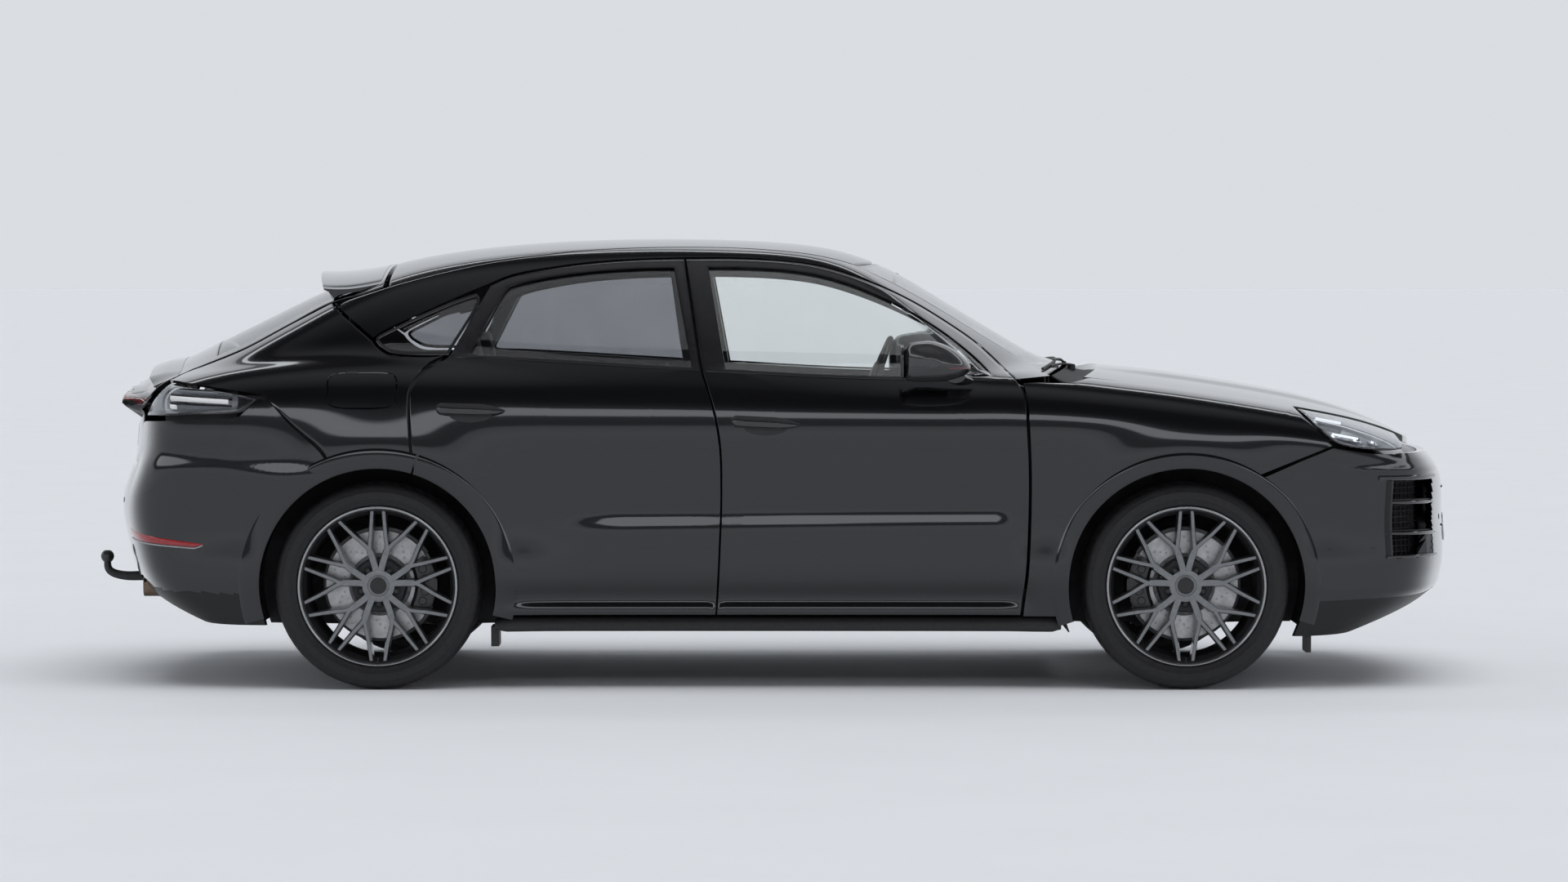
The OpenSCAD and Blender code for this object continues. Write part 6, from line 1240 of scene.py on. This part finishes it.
# headliner, visors, inner mirror, pillar trims, belts
O = across(300, 220, -1400, -1400, 40, 30); O = O * [1, .97, 1] - [0, 0, 30]; V, F = sheet_mesh(O, O - [0, 0, 8]); mesh("headliner", V, F, CLOTH, "body", None, "trim", auto=60)
top_l = full(np.array([[700, 1215]] + [list(q) for q in f_top if q[0] < 690] + [list(q) for q in r_top[1:]] + [[-1250, 1400]], float), 120)
R = np.stack([top_l + [0, 4 - 74 * t] for t in np.linspace(0, 1, 7)]); S = onside(R, 0); dy = np.array([60, 66, 78, 90, 98, 102, 96.])[:, None]; S[..., 1] = sy(top_l[:, 0], top_l[:, 1])[None] - dy + 8
V, F = sheet_mesh(S, S - [0, 9, 0]); pair("roof_side_trims", V, F, DARKP, slot="trim", auto=60)
ps = []
for y in (-370, 370):
    q = np.array([[250 + 120 * t, y + 190 * s_, float(tz(np.array([250 + 120 * t]), np.array([abs(y + 190 * s_)]))[0]) - 34 - 10 * t] for t in np.linspace(0, 1, 6) for s_ in np.linspace(-1, 1, 9)]).reshape(6, 9, 3); ps.append((*sheet_mesh(q, q - [0, 0, 14]), 0))
zc = float(tz(np.array([420.]), np.array([0.]))[0]); ps.append((*cyl((430, 0, zc - 6), (-.35, 0, -1), 9, 60, 18, 2), 1)); ps.append((*box((392, -110, zc - 112), (416, 110, zc - 52), 14), 1))
V, F, M = merge(*ps); mesh("sun_visors_mirror", V, F, CLOTH, "body", None, "trim", auto=45, mats=[CLOTH, SATIN], fmat=M)
BL = dense(np.array(b_line if not isinstance(b_line, np.ndarray) else b_line.tolist(), float), 12); zs_ = np.linspace(352, 1520, 40); bx = np.interp(zs_, np.sort(BL[:, 1]), BL[np.argsort(BL[:, 1]), 0])
dd = np.array([-62, -54, -20, 20, 54, 62.]); hh = np.array([10, 2, 0, 0, 2, 10.])
G = np.stack([bx[:, None] + dd[None], zs_[:, None] + 0 * dd[None]], -1); yy = sy(G[..., 0], G[..., 1]) - door_depth(G[..., 1]) - 34 - hh[None]
O = np.stack([G[..., 0], yy, G[..., 1]], -1); I = O.copy(); I[..., 1] -= (30 - hh)[None] * .95 + 2
V, F = sheet_mesh(O, I); pair("b_pillar_trims", V, F, DARKP, node="b_pillars", slot="gloss_black", auto=45)
ps = []
bz = np.linspace(380, 1180, 24); bxx = np.interp(bz, zs_, bx); by = sy(bxx, bz) - door_depth(bz) - 72
P = np.stack([bxx - 4, by, bz], -1); ps.append((*loft([[p + [a, b, 0] for a, b in rounded(46, 2.4)] for p in P]), 0)); ps.append((*box((bxx[-1] - 34, by[-1] - 10, 1160), (bxx[-1] + 26, by[-1] + 8, 1210), 6), 1))
V, F, M = merge(*ps); pair("seat_belts", V, F, STITCH, slot="trim", auto=45, mats=[STITCH, DARKP], fmat=M)

# door cards: rests, pulls, pockets, speakers (ride on the doors)
def card(x0, x1):
    ps = []
    xs = np.linspace(x0, x1, 18); secs = []
    for i, x in enumerate(xs):
        t = i / 17; w = 52 * min(1, 6 * t, 6 * (1 - t))**.6 + 4; y = float(sy(x, 760)) - float(door_depth(np.array(760.))) + 2
        secs.append([[x, y, 700], [x, y - w * .8, 716], [x, y - w, 742], [x, y - w * .9, 764], [x, y - w * .5, 774], [x, y, 776]])
    ps.append((*loft(secs), 0))
    secs = []
    for i, x in enumerate(np.linspace(x0 + 20, x1 - 40, 16)):
        y = float(sy(x, 420)) - float(door_depth(np.array(420.))) + 2; secs.append([[x, y, 352], [x, y - 34, 362], [x, y - 42, 470], [x, y - 34, 480], [x, y, 482]])
    ps.append((*loft(secs), 1))
    xm = x0 + (x1 - x0) * .62; pts = [(xm - 90, 806), (xm - 60, 850), (xm + 60, 872), (xm + 92, 836)]
    P = np.array([[x, float(sy(x, z)) - float(door_depth(np.array(float(z)))) - (4 if i in (0, 3) else 30), z] for i, (x, z) in enumerate(pts)]); ps.append((*loft([[p + [0, b, a] for a, b in rounded(20, 14)] for p in P]), 2))
    xs_ = x1 - 110; y = float(sy(xs_, 560)) - float(door_depth(np.array(560.))); ps.append((*cyl((xs_, y + 2, 560), (0, -1, 0), 82, 12, 40, 4), 1)); ps.append((*cyl((xs_, y + 2, 560), (0, -1, 0), 66, 16, 40, 4), 2))
    return merge(*ps)
for sd, mir in (("right", True), ("left", False)):
    V, F, M = card(-120, 760); mesh(f"{sd}_front_door_card", V, F, LEATHER, f"{sd}_front_door", None, "trim", mirror=mir, auto=45, mats=[LEATHER, DARKP, SILVER], fmat=M)
    V, F, M = card(-930, -350); mesh(f"{sd}_rear_door_card", V, F, LEATHER, f"{sd}_rear_door", None, "trim", mirror=mir, auto=45, mats=[LEATHER, DARKP, SILVER], fmat=M)

# boot floor and side trims
U, Vv = np.meshgrid(np.linspace(0, 1, 25), np.linspace(-1, 1, 25), indexing="ij"); O = np.stack([-1220 - 960 * U, Vv * 538, 609 - 8 * np.maximum(np.abs(2 * U - 1), np.abs(Vv))**18], -1); V, F = sheet_mesh(O, O * [1, 1, 0] + [0, 0, 591]); mesh("boot_carpet", V, F, CARPET, "body", "load_floor", "trim", auto=50)
ps = []
U, Vv = np.meshgrid(np.linspace(0, 1, 30), np.linspace(0, 1, 14), indexing="ij"); x = -1200 - 920 * U; z = 600 + 440 * Vv; y = np.minimum(sy(x, np.clip(z, 640, 1000)) - 150, 700) - 60 * smooth(.7, 1, U) - 40 * np.exp(-((x + WB2) / 300)**2) * (1 - Vv); P = np.stack([x, y, z], -1); ps.append((*sheet_mesh(P, P + [0, 8, 0]), 0))
V, F, M = merge(*ps); pair("boot_side_trims", V, F, CARPET, slot="trim", auto=60)

# ------------------------------------------------------------------ below and under the hood
# wheel arch liners: ribbed shell and inner wall
def liner(cx, yi, yo, a0, a1):
    a = np.radians(np.linspace(a0, a1, 91)); y = np.linspace(yi, yo, 13); A, Y = np.meshgrid(a, y, indexing="ij")
    r = 447 + 2.0 * np.sin(A * 40) * smooth(yi + 20, yi + 60, Y) * smooth(yo - 10, yo - 50, Y)
    O = np.stack([cx + r * np.cos(A), Y, WZ + r * np.sin(A)], -1); I = np.stack([cx + 452 * np.cos(A), Y, WZ + 452 * np.sin(A)], -1)
    ps = [sheet_mesh(O, I)]
    rr = np.array([118, 130, 190, 250, 310, 370, 420, 440, 451.]); A, R = np.meshgrid(np.radians(np.linspace(a0 - 34, a1 + 34, 81)), rr, indexing="ij")
    bump = -10 * np.cos(A * 9)**2 * smooth(150, 260, R) * smooth(440, 380, R)
    P = np.stack([cx + R * np.cos(A), yi + bump - 6, np.maximum(WZ + R * np.sin(A), 204 + .02 * R)], -1); ps.append(sheet_mesh(P, P - [0, 5, 0]))
    return merge(*ps)
Vf, Ff, _ = liner(WB2, 478, 890, -20, 202); Vr, Fr_, _ = liner(-WB2, 556, 806, -14, 198)
V, F, _ = merge((Vf, Ff), (Vr, Fr_)); pair("arch_liner_shells", V, F, UNDER, node="wheel_arch_liners", slot="underbody", auto=50)

# floor: pressed ribs below, carpet above
def slab(poly, z0, z1, n=1):
    P = np.array(poly, float); K = len(P); c = P.mean(0); sh = lambda k: c + (P - c) * k
    return loft([[(*q, z0) for q in sh(.992)], [(*q, z0 + 4) for q in P], [(*q, z1 - 3) for q in P], [(*q, z1) for q in sh(.994)]])
fp = [[-2060, -380], [-1900, -480], [-985, -480], [-985, -690], [960, -690], [1010, -600], [1010, 600], [960, 690], [-985, 690], [-985, 480], [-1900, 480], [-2060, 380]]
ps = [(*slab(fp, 226, 250), 0), (*slab([[1625, -430], [2080, -430], [2080, 430], [1625, 430]], 224, 236), 0)]
for y in (-600, -470, -340, 340, 470, 600): ps.append((*loft([[[x, y - 26, 228], [x, y - 16, z], [x, y + 16, z], [x, y + 26, 228]] for x, z in ((-960, 226), (-930, 216), (900, 216), (940, 226))]), 0))
for x in (-700, -300, 100, 500): ps.append((*loft([[[x - 24, y, 228], [x - 14, y, z], [x + 14, y, z], [x + 24, y, 228]] for y, z in ((-300, 226), (-270, 217), (-110, 217), (-90, 226))]), 0)); ps.append((*loft([[[x - 24, y, 228], [x - 14, y, z], [x + 14, y, z], [x + 24, y, 228]] for y, z in ((90, 226), (110, 217), (270, 217), (300, 226))]), 0))
for y in (-330, -165, 0, 165, 330): ps.append((*loft([[[x, y - 20, 226], [x, y - 10, z], [x, y + 10, z], [x, y + 20, 226]] for x, z in ((1650, 225), (1680, 214), (2030, 214), (2060, 225))]), 1))
for x in (1640, 2065):
    for y in (-380, -130, 130, 380): ps.append((*cyl((x, y, 220), (0, 0, 1), 10, 6, 12, 1), 2))
# front tray joining bumper and wheel wells
ps.append((*slab([[2070, -560], [2170, -430], [2220, -250], [2220, 250], [2170, 430], [2070, 560], [1880, 620], [1880, 440], [2070, 440], [2070, -440], [1880, -440], [1880, -620]], 226, 234), 1))
V, F, M = merge(*ps); mesh("floor_pressing", V, F, UNDER, "body", "floor_pan", "underbody", auto=40, mats=[UNDER, SATIN, STEEL], fmat=M)
U, Vv = np.meshgrid(np.linspace(0, 1, 40), np.linspace(-1, 1, 30), indexing="ij"); x = -980 + 1930 * U; y = Vv * 684; z = 262 + 46 * np.exp(-(y / 130)**4) + 60 * smooth(780, 950, x)
O = np.stack([x, y, z], -1); V, F = sheet_mesh(O, O - [0, 0, 8]); mesh("cabin_carpet", V, F, CARPET, "body", None, "trim", auto=60)
ps = []
for y in (-390, 390): ps.append(loft([[[x, y - 200, 268], [x, y - 206, 274], [x, y - 196, 279], [x, y + 196, 279], [x, y + 206, 274], [x, y + 200, 268]] for x in (360, 368, 700, 708)]))
V, F, _ = merge(*ps); mesh("foot_mats", V, F, CARPET, "body", None, "trim", auto=50)
ps = []
for y, w, z in ((350, 40, 420), (455, 26, 400)): ps += [(*box((790, y - w, z - 30), (806, y + w, z + 30), 5), 0), (*cyl((806, y, z), (.35, 0, 1), 9, 150, 14, 2), 1)]
V, F, M = merge(*ps); mesh("pedals", V, F, RUBBER, "body", None, "trim", auto=45, mats=[RUBBER, STEEL], fmat=M)

# bulkhead with pressed panels
bh = [[-690, 253], [690, 253], [690, 900], [640, 1010], [-640, 1010], [-690, 900]]
def yzslab(poly, x0, x1): P = np.array(poly, float); c = P.mean(0); return loft([[(x0, *q) for q in c + (P - c) * .994], [(x0 + 3, *q) for q in P], [(x1 - 3, *q) for q in P], [(x1, *q) for q in c + (P - c) * .994]])
ps = [(*yzslab(bh, 963, 986), 0)]
for y0, y1, z0, z1 in ((-600, -220, 320, 620), (-150, 150, 300, 560), (220, 600, 320, 620), (-600, -60, 680, 960), (60, 600, 680, 960)): ps.append((*box((984, y0, z0), (994, y1, z1), 8), 1))
V, F, M = merge(*ps); mesh("bulkhead", V, F, UNDER, "body", "firewall", "underbody", auto=45, mats=[UNDER, CARPET], fmat=M)

# engine: block, heads, covers, sump, belt end
ps = [(*box((1250, -230, 330), (1850, 230, 700), 22), 0), (*box((1300, -200, 300), (1780, 200, 340), 14), 0)]
for s_ in (-1, 1): ps.append((*loft([[[x, s_ * 90, 690], [x, s_ * 296, 700], [x, s_ * 298, 800], [x, s_ * 250, 860], [x, s_ * 90, 850]] for x in (1262, 1272, 1830, 1840)]), 0))
for s_ in (-1, 1):
    for k in range(9): ps.append((*box((1290 + k * 62, s_ * 262 - 18, 706), (1302 + k * 62, s_ * 262 + 30 * (s_ > 0) + 18 * (s_ < 0), 786), 3), 0))
# cover with ridges
U, Vv = np.meshgrid(np.linspace(0, 1, 40), np.linspace(-1, 1, 40), indexing="ij"); x = 1250 + 600 * U; y = Vv * 268; e = np.maximum(np.abs(2 * U - 1), np.abs(Vv)); z = 896 - 44 * e**8 + 3 * np.cos(Vv * 34) * smooth(.9, .8, np.abs(Vv)) * smooth(.95, .85, np.abs(2 * U - 1))
O = np.stack([x, y, z], -1); ps.append((*sheet_mesh(O, np.stack([x, y, 0 * z + 842], -1)), 1))
for y, z, r in ((0, 520, 92), (150, 640, 52), (-160, 610, 60), (140, 430, 46), (-120, 420, 40)): ps.append((*cyl((1846, y, z), (1, 0, 0), r, 24, 36, 5), 2))
ps.append((*cyl((1560, 180, 885), (0, 0, 1), 30, 14, 28, 3), 1))
V, F, M = merge(*ps); mesh("engine_unit", V, F, ENGINE, "body", "engine_block", "castings", auto=45, mats=[ENGINE, SATIN, STEEL], fmat=M)
# bay: inner wings, slam panel, cooler pack, boxes, hoses
ps = []
U, Vv = np.meshgrid(np.linspace(0, 1, 30), np.linspace(0, 1, 8), indexing="ij"); x = 1000 + 1060 * U; zt = tz(x[:, 0], 0 * x[:, 0] + 640.)[:, None] - 78; z = 620 + (zt - 620) * Vv; y = 560 + 96 * Vv**2 - 90 * smooth(.75, 1, U); P = np.stack([x, y, z], -1); sw = sheet_mesh(P, P + [0, 5, 0]); V2, F2 = both_sides(*sw); ps.append((V2, F2, 0))
for s_ in (-1, 1):
    ps.append((*cyl((1430, s_ * 520, 700), (0, 0, 1), 96, 190, 36, 12, 78), 0)); ps.append((*cyl((1430, s_ * 520, 886), (0, 0, 1), 34, 14, 24, 4), 2))
ps.append((*box((2096, -600, 770), (2150, 600, 812), 10), 1)); ps.append((*box((2080, -420, 300), (2120, 420, 770), 6), 3)); ps.append((*box((2130, -400, 330), (2150, 400, 740), 4), 3))
ps += [(*box((1040, -560, 700), (1210, -330, 900), 14), 1), (*box((1050, 320, 720), (1200, 540, 880), 16), 1), (*cyl((1120, 430, 878), (0, 0, 1), 34, 26, 28, 4), 1), (*box((1880, 330, 620), (2060, 520, 830), 18), 1), (*box((1880, -520, 600), (2060, -330, 800), 18), 1), (*cyl((1960, -430, 798), (0, 0, 1), 28, 20, 24, 4), 1)]
ps.append((*tube([[1860, -120, 780], [1930, -150, 800], [2000, -190, 790], [2080, -210, 740]], 26, 22, 20), 4)); ps.append((*tube([[1860, 150, 560], [1930, 190, 520], [2000, 230, 470], [2085, 250, 420]], 26, 22, 20), 4))
ps.append((*tube([[1230, -200, 820], [1190, -280, 830], [1150, -360, 850], [1130, -420, 905]], 14, 11, 16), 4))
V, F, M = merge(*ps); mesh("engine_bay_fittings", V, F, UNDER, "body", None, "underbody", auto=45, mats=[UNDER, SATIN, STEEL, RADI, RUBBER], fmat=M)
# hood lining: pressed ribs and pad under the hood
G = hood_grid(20, 20)[3:-3, 3:-3]; k = G.copy(); k[..., 2] -= 23; k[..., 1] *= .86; c = k.mean((0, 1)); k[..., 0] = c[0] + (k[..., 0] - c[0]) * .9
U, Vv = np.meshgrid(np.linspace(0, 1, k.shape[0]), np.linspace(-1, 1, k.shape[1]), indexing="ij"); k[..., 2] -= 5 * (np.cos(U * 25)**8 + np.cos(Vv * 12)**8)
V, F = sheet_mesh(k, k - [0, 0, 6]); mesh("hood_lining", V, F, CARPET, "hood", None, "underbody", auto=60)

# front suspension carrier, arms, dampers, shafts
def beam(P, w, h, k=.3):
    P = np.array(P, float); d = np.gradient(P, axis=0); d /= np.linalg.norm(d, axis=1)[:, None]; secs = []
    for p, t, ww, hh_ in zip(P, d, np.broadcast_to(w, len(P)), np.broadcast_to(h, len(P))):
        s_ = np.cross([0, 0, 1.], t); s_ /= np.linalg.norm(s_); u_ = np.cross(t, s_); secs.append([p + a * s_ + b * u_ for a, b in rounded(ww, hh_, k)])
    return loft(secs)
def coil(c, r, wire, h, n, turns):
    a = np.linspace(0, 2 * math.pi * turns, n); P = np.stack([c[0] + r * np.cos(a), c[1] + r * np.sin(a), c[2] + h * a / a[-1]], -1); return beam(P, wire, wire, .3)
ps = [(*beam([[WB2 - 120, y, 220 + 4 * math.cos(y / 120)] for y in np.linspace(-378, 378, 15)], 78, 56), 0), (*beam([[WB2 + 120, y, 220] for y in np.linspace(-378, 378, 15)], 78, 56), 0)]
for y in (-350, 350): ps.append((*beam([[x, y, 222] for x in np.linspace(WB2 - 158, WB2 + 158, 8)], 60, 56), 0))
for s_ in (-1, 1):
    for a in (-1, 1):
        c0 = np.array([WB2 + a * 112, s_ * 345, 220]); c1 = np.array([WB2 + a * 44, s_ * 622, 220]); ps.append((*beam([c0 + (c1 - c0) * t for t in np.linspace(0, 1, 8)], np.linspace(44, 32, 8), 26), 1)); ps.append((*cyl((c0[0] - 26, c0[1], 220), (1, 0, 0), 21, 52, 24, 3), 2))
    ps.append((*beam([[WB2 + t * 40, s_ * 622, 220] for t in (-1, -.3, .3, 1)], 40, 26), 1)); ps.append((*cyl((WB2, s_ * 618, 206), (0, 0, 1), 22, 40, 24, 4), 2))
    ps.append((*cyl((WB2 + 6, s_ * 470, 262), (-.02, s_ * .1, 1), 26, 250, 24, 3), 2)); ps.append((*coil((WB2, s_ * 488, 470), 58, 15, 230, 150, 5), 3))
    ps.append((*beam([[WB2 + 60, s_ * y, 371] for y in (190, 300, 420, 520)], 34, 34, .4), 2))
    ps.append((*beam([[WB2 - 150, s_ * y, 268 + (y - 200) * .1] for y in (200, 310, 410, 505)], 22, 22, .4), 2))
ps.append((*beam([[WB2 + 190 - 30 * (abs(y) > 300), y, 258] for y in np.linspace(-460, 460, 15)], 24, 24, .4), 3))
V, F, M = merge(*ps); mesh("front_axle_carrier", V, F, STEEL, "body", "front_subframe", "frame_steel", auto=45, mats=[STEEL, CAST, RUBBER, CALIPER], fmat=M)
ps = [(*beam([[-WB2 - 112, y, 292] for y in np.linspace(-398, 398, 15)], 72, 56), 0), (*beam([[-WB2 + 112, y, 292] for y in np.linspace(-398, 398, 15)], 72, 56), 0)]
for y in (-360, 360): ps.append((*beam([[x, y, 292] for x in np.linspace(-WB2 - 148, -WB2 + 148, 8)], 60, 56), 0))
ps.append((*cyl((-WB2 - 130, 0, 330), (1, 0, 0), 110, 250, 36, 14, 80), 1)); ps.append((*cyl((-WB2, -150, 345), (0, 1, 0), 70, 300, 30, 8), 1))
for s_ in (-1, 1):
    for a in (-1, 1): ps.append((*beam([[-WB2 + a * 70, s_ * y, 277] for y in np.linspace(392, 672, 8)], np.interp(np.linspace(0, 1, 8), [0, .4, 1], [44, 34, 44]), 28), 1)); ps.append((*cyl((-WB2 + a * 70 - 24, s_ * 400, 277), (1, 0, 0), 20, 48, 24, 3), 2))
    ps.append((*coil((-WB2 - 10, s_ * 500, 300), 56, 15, 210, 150, 5), 3)); ps.append((*cyl((-WB2 + 6, s_ * 560, 290), (0, -s_ * .06, 1), 24, 260, 24, 3), 2))
    ps.append((*beam([[-WB2, s_ * y, 360] for y in (150, 300, 450, 640)], 34, 34, .4), 2))
V, F, M = merge(*ps); mesh("rear_axle_carrier", V, F, STEEL, "body", "rear_subframe", "frame_steel", auto=45, mats=[STEEL, CAST, RUBBER, CALIPER], fmat=M)
# exhaust run and boxes below the floor
ps = [(*tube([[960, 60, 205], [600, 60, 196], [0, 60, 196], [-600, 60, 196], [-900, 90, 204], [-1050, 170, 216]], 34, 30, 24), 0), (*tube([[960, -60, 205], [600, -60, 196], [0, -60, 196], [-600, -60, 196], [-900, -90, 204], [-1050, -170, 216]], 34, 30, 24), 0)]
ps.append((*box((300, -150, 172), (700, 150, 222), 24), 0)); ps.append((*box((-2010, -430, 262), (-1750, 430, 372), 44), 0))
for s_ in (-1, 1): ps.append((*tube([[-1740, s_ * 300, 316], [-1690, s_ * 300, 316], [-1640, s_ * 280, 250], [-1300, s_ * 230, 214], [-1050, s_ * 170, 216]], 30, 26, 20), 0)); ps.append((*tube([[-1990, s_ * 420, 330], [-2010, s_ * 480, 335], [-2030, s_ * 540, 337], [-2060, s_ * 560, 338]], 40, 36, 22), 0))
V, F, M = merge(*ps); mesh("exhaust_run", V, F, PIPE, "body", None, "steel", auto=45)

# ------------------------------------------------------------------ floor, light, camera
sc = bpy.context.scene
LOZ = START[0][2]
FLOOR = mat("studio_floor", (0.765, 0.78, 0.808), 0.75, var=(1.5, 0.01), bump=(60, 0.02, 0.0005), spec=0.2)
k = np.array([-400, -120, -40, -12, -6, -3, 0, 3, 6, 12, 40, 120, 400.])
Vf = [(x, y, 0.0) for y in k for x in k]
me = bpy.data.meshes.new("studio_floor"); me.from_pydata(Vf, [], grid_faces(len(k) - 1, len(k) - 1)); me.materials.append(FLOOR)
fl = bpy.data.objects.new("studio_floor", me); sc.collection.objects.link(fl); fl.location.z = LOZ

w = bpy.data.worlds.new("studio"); sc.world = w; w.use_nodes = True
bg = w.node_tree.nodes["Background"]; wl = w.node_tree.links.new
N_ = w.node_tree.nodes.new
tcw = N_("ShaderNodeTexCoord"); sx = N_("ShaderNodeSeparateXYZ"); rp = N_("ShaderNodeValToRGB"); cl = N_("ShaderNodeClamp"); mu = N_("ShaderNodeMath"); mu.operation = "MULTIPLY"; mu.inputs[1].default_value = 0.42; sb = N_("ShaderNodeMath"); sb.operation = "SUBTRACT"
wl(tcw.outputs["Generated"], sx.inputs["Vector"]); wl(sx.outputs["Y"], cl.inputs["Value"]); wl(cl.outputs["Result"], mu.inputs[0]); wl(sx.outputs["Z"], sb.inputs[0]); wl(mu.outputs["Value"], sb.inputs[1]); wl(sb.outputs["Value"], rp.inputs["Fac"])
el = rp.color_ramp.elements
el[0].position = 0.0; el[0].color = (0.70, 0.725, 0.76, 1); el[1].position = 1.0; el[1].color = (0.30, 0.31, 0.33, 1)
for pos, c in ((0.06, (0.70, 0.725, 0.76)), (0.15, (0.78, 0.81, 0.85)), (0.215, (0.62, 0.65, 0.69)), (0.235, (0.11, 0.115, 0.12)), (0.325, (0.05, 0.052, 0.055)), (0.345, (2.2, 2.28, 2.35)), (0.425, (2.2, 2.28, 2.35)), (0.445, (0.03, 0.031, 0.033)), (0.80, (0.05, 0.052, 0.056))):
    e_ = el.new(pos); e_.color = (*c, 1)
wl(rp.outputs["Color"], bg.inputs["Color"])
bg.inputs["Strength"].default_value = 1.0

def sun(name, rot, power, angle, col, glossy):
    d = bpy.data.lights.new(name, "SUN"); d.energy = power; d.angle = math.radians(angle); d.color = col
    o = bpy.data.objects.new(name, d); sc.collection.objects.link(o); o.rotation_euler = [math.radians(a) for a in rot]; o.visible_glossy = glossy
    return o
def area(name, loc, look, size, size_y, power, col=(1, 1, 1), glossy=True):
    d = bpy.data.lights.new(name, "AREA"); d.shape = "RECTANGLE"; d.size = size; d.size_y = size_y; d.energy = power; d.color = col
    o = bpy.data.objects.new(name, d); sc.collection.objects.link(o); o.location = loc
    o.rotation_euler = (Vector(look) - Vector(loc)).to_track_quat("-Z", "Y").to_euler(); o.visible_glossy = glossy
    return o
sun("soft_sky", (10, 8, 0), 1.85, 60, (0.985, 0.99, 1.0), False)

cd = bpy.data.cameras.new("photo_camera"); cam = bpy.data.objects.new("photo_camera", cd); sc.collection.objects.link(cam)
cd.sensor_width = 36.0; cd.lens = 115.0; cd.clip_end = 1500; cd.clip_start = 0.1
cx = 0.007 + SHIFT / 1000
cam.location = (cx, -18.85, LOZ + 1.50)
cam.rotation_euler = (Vector((cx, 0, LOZ + 0.859)) - cam.location).to_track_quat("-Z", "Y").to_euler()
sc.camera = cam
sc.view_settings.view_transform = "Standard"
sc.view_settings.look = "None"
sc.view_settings.exposure = 0.0
